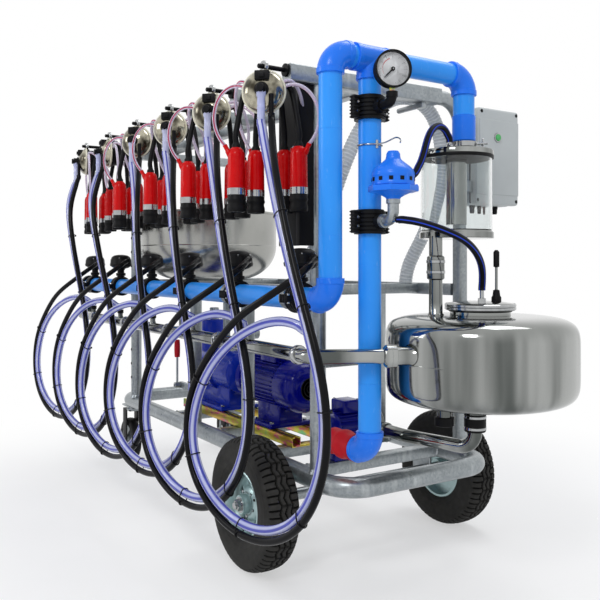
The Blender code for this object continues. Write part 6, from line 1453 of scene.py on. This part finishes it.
def receiver_lid():
    form = Form()
    base = REC_TOP + GAP
    foot = (REC_X, REC_Y, base)
    form.turned([(0.085, 0.0), (0.085, 0.013), (0.096, 0.014), (0.0965, 0.018), (0.0965, 0.030), (0.094, 0.033), (0.088, 0.0345),
                 (0.060, 0.0385), (0.0005, 0.0398)], foot, (0, 0, 1), "polished", 96)
    form.turned([(0.0972, 0.015), (0.1000, 0.017), (0.1000, 0.0225), (0.0985, 0.024), (0.1000, 0.0255), (0.1000, 0.031), (0.0972, 0.033)], foot, (0, 0, 1), "chrome", 96, ring=True)
    form.turned([(0.0860, 0.010), (0.0885, 0.0105), (0.0885, 0.0128), (0.0860, 0.013)], foot, (0, 0, 1), "rubber_black", 96, ring=True)
    form.rod((PROBE_X, PROBE_Y, base + LID_H), (PROBE_X, PROBE_Y, PROBE_TOP_Z), 0.004, "polished", 18)
    form.turned([(0.014, 0.034), (0.014, 0.050), (0.011, 0.054), (0.009, 0.070), (0.0045, 0.072)], (PROBE_X, PROBE_Y, base), (0, 0, 1), "rubber_black", 28)
    form.turned([(0.0042, -0.050), (0.0085, -0.048), (0.0085, -0.006), (0.004, 0.0)], (PROBE_X, PROBE_Y, PROBE_TOP_Z), (0, 0, 1), "rubber_black", 24)
    end = np.array(RECEIVER_HOSE_ROUTE[-1])
    form.rod((end[0], end[1], base + 0.036), end - UP * GAP, 0.006, "chrome", 18)
    form.turned([(0.011, 0.036), (0.011, 0.050), (0.006, 0.052)], (end[0], end[1], base), (0, 0, 1), "chrome", 6)
    piece("receiver_lid_dressed", form, "chassis", "receiver_lid")


def trap():
    centre = (TRAP_X, TRAP_Y, 0.0)
    jar = Form().turned([(TRAP_R - 0.005, TRAP_LOW), (TRAP_R, TRAP_LOW), (TRAP_R, TRAP_TOP), (TRAP_R - 0.005, TRAP_TOP)], centre, (0, 0, 1), "jar_clear", 128, ring=True)
    piece("trap_jar", jar, "chassis", "trap_cylinder")
    lid = Form()
    low = TRAP_TOP + GAP
    lid.turned([(0.0965, 0.0), (0.1065, 0.0005), (0.1068, 0.004), (0.1068, 0.009), (0.1065, 0.0095)], (TRAP_X, TRAP_Y, low), (0, 0, 1), "rubber_black", 112)
    lid.turned([(0.1045, 0.0085), (0.1070, 0.0100), (0.1070, 0.0215), (0.1050, 0.0245), (0.090, 0.0250), (0.0005, 0.0250)], (TRAP_X, TRAP_Y, low), (0, 0, 1), "polished", 112)
    drop = (HEADER_X, DROP_Y, 0.0)
    lid.turned([(0.030, low + 0.020), (0.0255, low + 0.026), (0.0255, 1.290), (0.034, 1.296), (0.034, FERRULE_TOP)], drop, (0, 0, 1), "polished", 48)
    lid.turned([(0.0345, 1.2915), (0.0400, 1.294), (0.0400, 1.3085), (0.0345, FERRULE_TOP)], drop, (0, 0, 1), "chrome", 48, ring=True)
    knob = np.array((HEADER_X, DROP_Y, 1.301))
    out = unit((0.85, 0.5, 0.0))
    lid.rod(knob + out * 0.038, knob + out * 0.072, 0.0035, "chrome", 14)
    lid.turned([(0.0065, 0.0), (0.0065, 0.008), (0.004, 0.010)], knob + out * 0.052, out, "chrome", 16)
    for lift in (-1, 1):
        lid.block((-0.003, -0.0015, 0.0), (0.003, 0.0015, 0.016), "chrome", 0.001, (out, np.cross(UP, out), UP * lift), knob + out * 0.057)
    end = np.array(TRAP_HOSE_ROUTE[-1])
    lid.rod((end[0], end[1], low + 0.02), end - UP * GAP, 0.006, "chrome", 18)
    lid.turned([(0.010, 0.024), (0.010, 0.034), (0.006, 0.036)], (end[0], end[1], low), (0, 0, 1), "chrome", 6)
    lid.rod((TRAP_X, TRAP_Y, low), (TRAP_X, TRAP_Y, low - 0.19), 0.030, "polished", 40)
    piece("trap_lid_dressed", lid, "chassis", "trap_lid")
    foot = Form()
    top = TRAP_LOW - GAP
    foot.turned([(0.0005, -0.025), (0.1055, -0.0250), (0.1070, -0.0235), (0.1070, -0.0080), (0.1055, -0.0065), (0.1000, 0.0), (0.0005, 0.0)], (TRAP_X, TRAP_Y, top), (0, 0, 1), "polished", 112)
    pipe = (TRAP_PIPE_X, TRAP_PIPE_Y, 0.0)
    foot.turned([(0.024, REC_TOP + GAP), (0.0195, REC_TOP + 0.006), (0.019, 0.900), (0.0245, 0.904), (0.025, 0.908), (0.025, 0.962), (0.0245, 0.966), (0.019, 0.970),
                 (0.019, top - 0.02)], pipe, (0, 0, 1), "polished", 40)
    for z in (0.918, 0.948):
        foot.turned([(0.0252, z), (0.0268, z + 0.001), (0.0268, z + 0.008), (0.0252, z + 0.009)], pipe, (0, 0, 1), "chrome", 40, ring=True)
    piece("trap_pipe_dressed", foot, "chassis", "trap_pipe")


def union_clamp(form, place, way, coat="chrome"):
    """Two-part clamp on a pipe joint: a ring with a middle groove."""
    rows = [(MILK_R, -0.010), (0.0245, -0.009), (0.0262, -0.005), (0.0262, -0.0015), (0.0250, 0.0), (0.0262, 0.0015), (0.0262, 0.005), (0.0245, 0.009), (MILK_R, 0.010)]
    form.turned(rows, place, way, coat, 44)


def milk_line():
    form = Form()
    inlet = np.array((REC_X, REC_Y - REC_R, MILK_Z))
    turn = np.array((MILK_TURN_X, MILK_Y, MILK_Z))
    toward = unit(turn - inlet)
    end = inlet + toward * (0.045 + GAP)
    heel = np.array((MILK_FAR_X, MILK_Y, MILK_Z))
    form.swept(rounded_path([heel + (0, 0.07, 0.03), heel, turn, end], 0.045, 12), MILK_R, "polished", 36)
    form.turned([(MILK_R, 0.022), (0.027, 0.018), (UNION_R, 0.013), (UNION_R, 0.0), (MILK_R, 0.0)], end, toward, "polished", 44)
    for x in (MILK_TURN_X - 0.062, 0.32, -0.10, -0.56, -0.98):
        union_clamp(form, (x, MILK_Y, MILK_Z), (1, 0, 0))
    for station in range(STATIONS):
        x = MILK_INLET_X - PLACE_PITCH * station
        form.turned([(0.014, MILK_Z + 0.012), (0.0115, MILK_Z + 0.022), (0.0100, MILK_Z + 0.026), (0.0100, INLET_TOP_Z)], (x, MILK_Y, 0.0), (0, 0, 1), "polished", 28)
        form.turned([(0.0100, 0.736), (0.0130, 0.737), (0.0130, INLET_TOP_Z), (0.0100, INLET_TOP_Z)], (x, MILK_Y, 0.0), (0, 0, 1), "plastic_black", 28, ring=True)
    piece("milk_line_dressed", form, "chassis", "milk_line")


def delivery_pipe():
    form = Form()
    top = np.array((REC_X, REC_Y - 0.02, REC_LOW - 0.03 - GAP))
    end = np.array((DELIVERY_END_X, DELIVERY_END_Y, DELIVERY_Z))
    form.swept(rounded_path([top, (top[0], top[1], DELIVERY_Z), end + (0.08, 0, 0), end], 0.05, 14), MILK_R, "polished", 36)
    form.turned([(MILK_R, 0.0), (UNION_R, 0.0), (UNION_R, -0.046), (0.029, -0.050), (MILK_R, -0.050)], top, (0, 0, 1), "rubber_black", 40)
    for z in (-0.008, -0.040):
        form.turned([(UNION_R, z - 0.004), (UNION_R + 0.001, z - 0.003), (UNION_R + 0.001, z + 0.003), (UNION_R, z + 0.004)], top, (0, 0, 1), "chrome", 40, ring=True)
    piece("delivery_pipe_dressed", form, "chassis", "delivery_pipe")


def finned_barrel(form, start, axis, radius, begin, end, count, coat, span=2 * math.pi, first=0.0, height=0.011):
    """Cooling ribs: thin bars along a barrel, evenly spaced round part of it."""
    u, v, w = basis(axis)
    for step in range(count):
        a = first + span * step / count
        out = math.cos(a) * u + math.sin(a) * v
        form.bar(np.asarray(start, float) + w * begin + out * (radius + height / 2 - 0.002), np.asarray(start, float) + w * end + out * (radius + height / 2 - 0.002),
                 0.0034, height, coat, 0.0012, up=out)


def milk_pump():
    form = Form()
    x, y, z = MILK_PUMP_X, DELIVERY_END_Y, DELIVERY_Z
    form.turned([(0.062, -0.027), (0.072, -0.025), (0.075, -0.020), (0.075, 0.012), (0.070, 0.020), (0.045, 0.025), (0.0005, 0.026)], (x, y, z), (0, 1, 0), "polished", 64)
    form.rod((x + 0.05, y, z), (DELIVERY_END_X - GAP, y, z), 0.021, "polished", 32)
    form.turned([(0.023, 0.0), (0.0245, 0.002), (0.0245, 0.018), (0.023, 0.02)], (DELIVERY_END_X - 0.024, y, z), (1, 0, 0), "polished", 32)
    form.turned([(0.040, 0.0), (0.063, 0.004), (0.063, 0.016), (0.057, 0.018), (0.057, 0.120), (0.063, 0.122), (0.0645, 0.128), (0.0645, 0.150), (0.058, 0.160), (0.0005, 0.161)],
                (x, y - 0.022, z), (0, -1, 0), "motor_blue", 64)
    finned_barrel(form, (x, y - 0.022, z), (0, -1, 0), 0.056, 0.020, 0.118, 22, "motor_blue", height=0.009)
    form.block((x - 0.018, y - 0.14, BASE_Z + 0.02 + GAP), (x + 0.018, y - 0.03, z - 0.04), "motor_blue", 0.003)
    form.block((x - 0.035, y - 0.12, z + 0.05), (x + 0.035, y - 0.05, z + MILK_PUMP_R + 0.028), "motor_blue", 0.006)
    for edge in (-0.038, 0.038):
        form.bolt((x + edge * 0.7, y - 0.085 + edge * 0.7, z + MILK_PUMP_R + 0.028), (0, 0, 1), 0.004, 0.003)
    piece("milk_pump_dressed", form, "chassis", "milk_pump")


def motor_rails():
    form = Form()
    low = BASE_Z + 0.02 + GAP
    far, near = PUMP_FAR_X - 0.03, MOTOR_NEAR_X + 0.02
    for y in (PUMP_Y - 0.07, PUMP_Y + 0.07):
        form.block((far, y - 0.0175, low), (near, y + 0.0175, low + 0.004), "yellow_zinc", 0.0015)
        for edge in (-1, 1):
            wall = y + edge * 0.0155
            form.block((far, wall - 0.002, low), (near, wall + 0.002, RAIL_TOP_Z), "yellow_zinc", 0.0015)
            lip = y + edge * 0.0115
            form.block((far, lip - 0.006, RAIL_TOP_Z - 0.004), (near, lip + 0.006, RAIL_TOP_Z), "yellow_zinc", 0.0015)
    for x in (far + 0.02, (far + near) / 2, near - 0.02):
        form.block((x - 0.02, PUMP_Y - 0.07, low), (x + 0.02, PUMP_Y + 0.07, low + 0.006), "yellow_zinc", 0.002)
    piece("motor_rails_dressed", form, "chassis", "motor_rails")


def foot_plate(form, far, near, coat):
    low = RAIL_TOP_Z + GAP
    form.block((far, PUMP_Y - 0.085, low), (near, PUMP_Y + 0.085, low + 0.016), coat, 0.004)
    for x in (far + 0.02, near - 0.02):
        for y in (PUMP_Y - 0.07, PUMP_Y + 0.07):
            form.bolt((x, y, low + 0.016), (0, 0, 1), 0.008, 0.006)


def motor():
    form = Form()
    axis, length, r = (MOTOR_FAR_X, PUMP_Y, PUMP_Z), MOTOR_NEAR_X - MOTOR_FAR_X, MOTOR_R
    form.turned([(0.030, 0.0), (0.040, 0.004), (0.070, 0.010), (0.086, 0.016), (r, 0.022), (r, 0.050), (0.086, 0.052), (0.084, 0.056), (0.084, length * 0.71),
                 (0.089, length * 0.72), (r, length * 0.73), (r, length * 0.82), (0.0915, length * 0.88), (0.088, length * 0.925), (0.080, length * 0.96), (0.066, length * 0.985), (0.045, length), (0.0005, length)],
                axis, (1, 0, 0), "motor_blue", 80)
    finned_barrel(form, axis, (1, 0, 0), 0.083, 0.060, length * 0.70, 34, "motor_blue", height=0.012)
    for ring in (0.012, 0.024, 0.036):
        form.turned([(ring, 0.0), (ring + 0.002, 0.0012), (ring + 0.004, 0.0)], (MOTOR_NEAR_X, PUMP_Y, PUMP_Z), (1, 0, 0), "plastic_black", 48, ring=False)
    foot = MOTOR_FAR_X + length * 0.3
    form.block((foot, PUMP_Y - 0.05, RAIL_TOP_Z + 0.012), (foot + 0.16, PUMP_Y + 0.05, PUMP_Z - r * 0.75), "motor_blue", 0.006)
    foot_plate(form, foot, foot + 0.16, "motor_blue")
    form.block((foot + 0.02, PUMP_Y - 0.05, PUMP_Z + r * 0.8), (foot + 0.13, PUMP_Y + 0.05, PUMP_Z + r + 0.026), "motor_blue", 0.006)
    form.block((foot + 0.017, PUMP_Y - 0.053, PUMP_Z + r + 0.027), (foot + 0.133, PUMP_Y + 0.053, PUMP_Z + r + 0.035), "motor_blue", 0.003)
    for dx in (0.028, 0.122):
        for dy in (-0.043, 0.043):
            form.bolt((foot + dx, PUMP_Y + dy, PUMP_Z + r + 0.035), (0, 0, 1), 0.004, 0.003)
    piece("motor_dressed", form, "chassis", "motor")


def vacuum_pump():
    form = Form()
    length, r = PUMP_NEAR_X - PUMP_FAR_X, PUMP_R
    axis = (PUMP_FAR_X, PUMP_Y, PUMP_Z)
    end = MOTOR_FAR_X - GAP - PUMP_FAR_X
    form.turned([(0.0005, 0.0), (0.060, 0.0), (0.070, 0.004), (0.082, 0.012), (r, 0.016), (r, length * 0.42), (r * 1.12, length * 0.43), (r * 1.12, length * 0.53),
                 (r, length * 0.54), (r, length * 0.88), (r * 0.9, length * 0.90), (r * 0.55, length * 0.92), (r * 0.55, end)], axis, (1, 0, 0), "pump_blue", 72)
    u, v, w = basis((1, 0, 0))
    for step in range(8):
        a = 2 * math.pi * (step + 0.5) / 8
        out = math.cos(a) * u + math.sin(a) * v
        form.bolt(np.array(axis) + w * length * 0.53 + out * r * 1.06, w, 0.0055, 0.005)
        form.bolt(np.array(axis) + w * 0.002 + out * 0.056, -w, 0.0055, 0.005)
    tank = (PUMP_FAR_X + 0.10, PUMP_Y, PUMP_Z)
    form.turned([(0.055, 0.05), (0.055, 0.188), (0.052, 0.196), (0.045, 0.200), (0.020, 0.201)], tank, (0, 0, 1), "pump_blue", 48)
    form.turned([(0.020, 0.19), (0.020, 0.246), (0.0185, 0.25), (0.0165, 0.25), (0.0165, 0.23)], tank, (0, 0, 1), "galvanised", 32)
    inlet = PUMP_FAR_X + length * 0.7
    form.swept(rounded_path([(inlet, PUMP_Y, PUMP_Z + 0.05), (inlet, PUMP_Y, PUMP_Z + 0.15), (inlet, PUMP_Y + 0.1, PUMP_Z + 0.15)], 0.04, 10), 0.024, "galvanised", 32)
    foot = PUMP_FAR_X + 0.04
    form.block((foot, PUMP_Y - 0.05, RAIL_TOP_Z + 0.012), (foot + 0.3, PUMP_Y + 0.05, PUMP_Z - r * 0.75), "pump_blue", 0.006)
    foot_plate(form, foot, foot + 0.3, "pump_blue")
    form.block((LEVER_X - 0.012, LEVER_Y + 0.0126, LEVER_Z - 0.014), (PUMP_FAR_X + 0.05, LEVER_Y + 0.03, LEVER_Z + 0.014), "galvanised", 0.003)
    form.block((PUMP_FAR_X + 0.02, LEVER_Y + 0.02, LEVER_Z - 0.014), (PUMP_FAR_X + 0.05, PUMP_Y, LEVER_Z + 0.014), "galvanised", 0.003)
    form.rod((LEVER_X, LEVER_Y - 0.016, LEVER_Z), (LEVER_X, LEVER_Y + 0.02, LEVER_Z), 0.0048, "chrome", 16)
    piece("vacuum_pump_dressed", form, "chassis", "vacuum_pump")
    lever = Form()
    place = (LEVER_X, LEVER_Y, LEVER_Z)
    lever.turned([(0.0053, -0.0118), (0.013, -0.0118), (0.013, 0.0118), (0.0053, 0.0118)], place, (0, 1, 0), "galvanised", 28, ring=True)
    lever.bar(np.array(place) + UP * 0.011, np.array(place) + UP * 0.14, 0.014, 0.006, "galvanised", 0.002, up=(0, 1, 0))
    t = np.linspace(0.0, 1.0, 18)
    grip = np.stack((0.0085 + 0.0045 * np.sin(np.pi * (0.12 + 0.8 * t)) ** 0.5, 0.124 + 0.076 * t), -1)
    lever.turned(grip, place, (0, 0, 1), "red_rubber", 28)
    piece("drain_lever_dressed", lever, "drain_lever", "drain_lever")


# Control box

def control_box():
    form = Form()
    x0, x1 = BOX_X
    seam = x1 - 0.04
    form.block((x0, BOX_Y[0], BOX_Z[0]), (seam, BOX_Y[1], BOX_Z[1]), "box_grey", 0.010)
    form.block((seam - 0.004, BOX_Y[0] + 0.004, BOX_Z[0] + 0.004), (seam + 0.006, BOX_Y[1] - 0.004, BOX_Z[1] - 0.004), "plastic_black", 0.003)
    form.block((seam + 0.003, BOX_Y[0], BOX_Z[0]), (x1, BOX_Y[1], BOX_Z[1]), "box_grey", 0.010)
    form.block((x1 - 0.004, BOX_Y[0] + 0.004, BOX_Z[0] + 0.034), (x1 + 0.0025, BOX_Y[1] - 0.004, BOX_Z[1] - 0.040), "box_grey", 0.0024)
    for y in (BOX_Y[0] + 0.014, BOX_Y[1] - 0.014):
        for z in (BOX_Z[0] + 0.014, BOX_Z[1] - 0.014):
            form.turned([(0.006, -0.001), (0.006, 0.0006), (0.0045, 0.0010), (0.0005, 0.0006)], (x1, y, z), (1, 0, 0), "plastic_black", 20)
    ring = (x1, BUTTON_Y, BUTTON_Z)
    form.turned([(0.0124, -0.001), (0.0170, -0.001), (0.0170, 0.003), (0.0160, 0.0056), (0.0124, 0.006)], ring, (1, 0, 0), "chrome", 44, ring=True)
    for y in (BOX_Y[0] + 0.05, BOX_Y[0] + 0.10, BOX_Y[0] + 0.15):
        form.turned([(0.012, 0.002), (0.012, -0.010), (0.0105, -0.011), (0.0105, -0.022), (0.0085, -0.028), (0.0005, -0.028)], (x0 + 0.05, y, BOX_Z[0]), (0, 0, 1), "plastic_black", 20)
    piece("control_box_dressed", form, "chassis", "control_box")
    button = Form()
    button.turned([(0.0005, -0.0077), (BUTTON_R, -0.0077), (BUTTON_R, 0.0075), (0.0110, 0.0092), (0.0085, 0.0098), (0.0005, 0.0094)], ring, (1, 0, 0), "button_green", 44)
    piece("start_button_dressed", button, "start_button", "start_button")


# Clusters

def teat_cup(form, top, out):
    """Red shell with shoulder and side nipple, steel band, black liner with rings and an open mouth."""
    form.turned([(0.0110, -0.002), (0.0140, -0.004), (0.0200, -0.010), (0.0236, -0.020), (0.0245, -0.028), (0.0258, -0.122)], top, (0, 0, 1), "cup_red", 36)
    form.turned([(0.0252, -0.120), (0.0266, -0.121), (0.0266, -0.140), (0.0252, -0.141)], top, (0, 0, 1), "chrome", 36)
    depth = -CUP_LENGTH + LINER_DEPTH
    form.turned([(0.0246, -0.139), (0.0256, -0.141), (0.0256, -0.150), (0.0270, -0.153), (0.0270, -0.157), (0.0252, -0.160), (0.0244, -0.166), (0.0268, -0.175),
                 (0.0270, -0.184), (0.0252, -0.1895), (0.0190, -0.1900), (0.0140, -0.187), (0.0126, -0.181), (0.0126, depth), (0.0004, depth)],
                top, (0, 0, 1), "rubber_black", 36)
    form.turned([(0.0130, -0.006), (0.0130, 0.004), (0.0100, 0.008), (0.0088, 0.012)], top, (0, 0, 1), "rubber_black", 28)
    nipple = np.asarray(top, float) - UP * 0.026 + out * 0.017
    way = unit(out * 0.55 + UP)
    form.turned([(0.0095, 0.0), (0.0085, 0.014), (0.0066, 0.018), (0.0066, 0.034)], nipple, way, "cup_red", 24)
    return nipple + way * 0.033, way


def arched(start, first, second, end):
    """Cubic Bezier curve: the four points weighted by (1-t)^3, 3t(1-t)^2, 3t^2(1-t) and t^3."""
    t = np.linspace(0.0, 1.0, 40)[:, None]
    return (1 - t) ** 3 * start + 3 * t * (1 - t) ** 2 * first + 3 * t**2 * (1 - t) * second + t**3 * end


def cluster(station):
    centre = claw_centre(station)
    facing, across = facing_of(station)
    body = f"cluster_{station + 1}"
    form = Form()
    form.turned([(0.0590, 0.002), (0.0600, 0.006), (0.0575, 0.014), (0.0500, 0.023), (0.0370, 0.031), (0.0230, 0.036), (0.0170, 0.038)], centre, facing, "claw_bowl", 72)
    ring = np.linspace(0.0, 2 * np.pi, 72, endpoint=False)[:, None]
    form.swept(centre + facing * 0.002 + 0.0605 * (np.cos(ring) * across + np.sin(ring) * UP), 0.0042, "claw_rim", 14, closed=True)
    form.turned([(0.0600, -0.001), (0.0600, -0.012), (0.0540, -0.014), (0.0540, -0.030), (0.0470, -0.036), (0.0380, -0.045), (0.0005, -0.046)], centre, facing, "plastic_black", 56)
    form.turned([(0.0205, 0.034), (0.0205, 0.042), (0.0155, 0.044), (0.0155, NOZZLE_OUT), (0.0064, NOZZLE_OUT), (0.0064, 0.034)], centre, facing, "plastic_black", 40, ring=True)
    axes = (across, facing, UP)
    form.block((-0.021, -0.012, -0.013), (0.021, 0.014, 0.014), "plastic_black", 0.003, axes, centre + facing * 0.026 + UP * 0.040)
    form.block((-0.008, 0.012, -0.007), (0.008, 0.019, 0.007), "plastic_black", 0.0015, axes, centre + facing * 0.026 + UP * 0.040)
    root = centre + facing * (NOZZLE_OUT - NOZZLE_R)
    form.turned([(0.0135, 0.006), (0.0135, -0.020), (0.0110, -0.026), (0.0110, -0.052), (0.0125, -0.054), (0.0110, -0.060), (0.0110, -NOZZLE_DROP)], root, (0, 0, 1), "clear_hose", 32)
    eye = 0.0079
    form.turned([(eye, -0.006), (0.0155, -0.006), (0.0170, -0.003), (0.0170, 0.003), (0.0155, 0.006), (eye, 0.006)], (centre[0], CLAW_Y, PEG_Z), (0, 1, 0), "chrome", 36, ring=True)
    form.block((centre[0] - 0.008, CLAW_Y - 0.006, CLAW_Z + CLAW_R * 0.7), (centre[0] + 0.008, CLAW_Y + 0.006, PEG_Z - 0.013), "chrome", 0.0025)
    foot = pulse_end(station)
    form.rod(foot + UP * 0.055, foot, 0.007, "plastic_black", 20)
    for number, (side, behind) in enumerate(CUP_PLACES):
        top = centre + across * side - facing * behind + UP * CUP_TOP_Z
        start = centre + across * side * 0.3 - facing * 0.03 + UP * 0.005
        rise = centre + across * side * 0.72 - facing * (behind * 0.5 + 0.028) + UP * 0.018
        form.swept(smooth_route([start, start + (rise - start) * 0.05, rise, top + UP * 0.045, top + UP * 0.012, top - UP * 0.004], 0.006), 0.0085, "rubber_black", 20)
        out = unit(across * np.sign(side) * (1.0 if number in (0, 3) else 0.5) + facing * (0.25 if number in (0, 3) else -0.6))
        nipple, way = teat_cup(form, top, out)
        root = centre + across * np.sign(side) * 0.050 - facing * 0.006 + UP * (0.012 if number in (0, 3) else 0.026)
        leave = across * np.sign(side)
        bow = 0.075 if number in (0, 3) else 0.055
        form.swept(arched(root, root + leave * bow + UP * 0.045, nipple + way * 0.085 + leave * 0.03, nipple), 0.0052, "pulse_tube", 14)
    piece(f"cluster_{station + 1}_dressed", form, body, body)
    valve = Form()
    face = centre + facing * NOZZLE_OUT
    valve.turned([(0.0049, -0.018), (0.0049, 0.0003), (0.0095, 0.0004), (0.0120, 0.0015), (0.0120, 0.0065), (0.0100, 0.0088), (0.0005, 0.0092)], face, facing, "plastic_black", 32)
    piece(f"claw_valve_{station + 1}_dressed", valve, f"claw_valve_{station + 1}", f"claw_valve_{station + 1}")


def main():
    camera()
    studio()
    floor()
    hoses()
    base_frame()
    for side_name, side in (("left", -1), ("right", 1)):
        tyre(side_name, side)
        rim(side_name, side)
        castor(side_name, side)
    near_hoop()
    far_hoop()
    platform()
    wash_tub()
    vacuum_header()
    vacuum_line()
    red_coupling()
    regulator()
    gauge()
    receiver()
    receiver_lid()
    trap()
    milk_line()
    delivery_pipe()
    milk_pump()
    motor_rails()
    motor()
    vacuum_pump()
    control_box()
    for station in range(STATIONS):
        cluster(station)
    with open("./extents.json", "w") as out:
        json.dump({"cad": [list(v) for v in cad_box], "visual": [list(v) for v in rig.bounds()]}, out)


main()
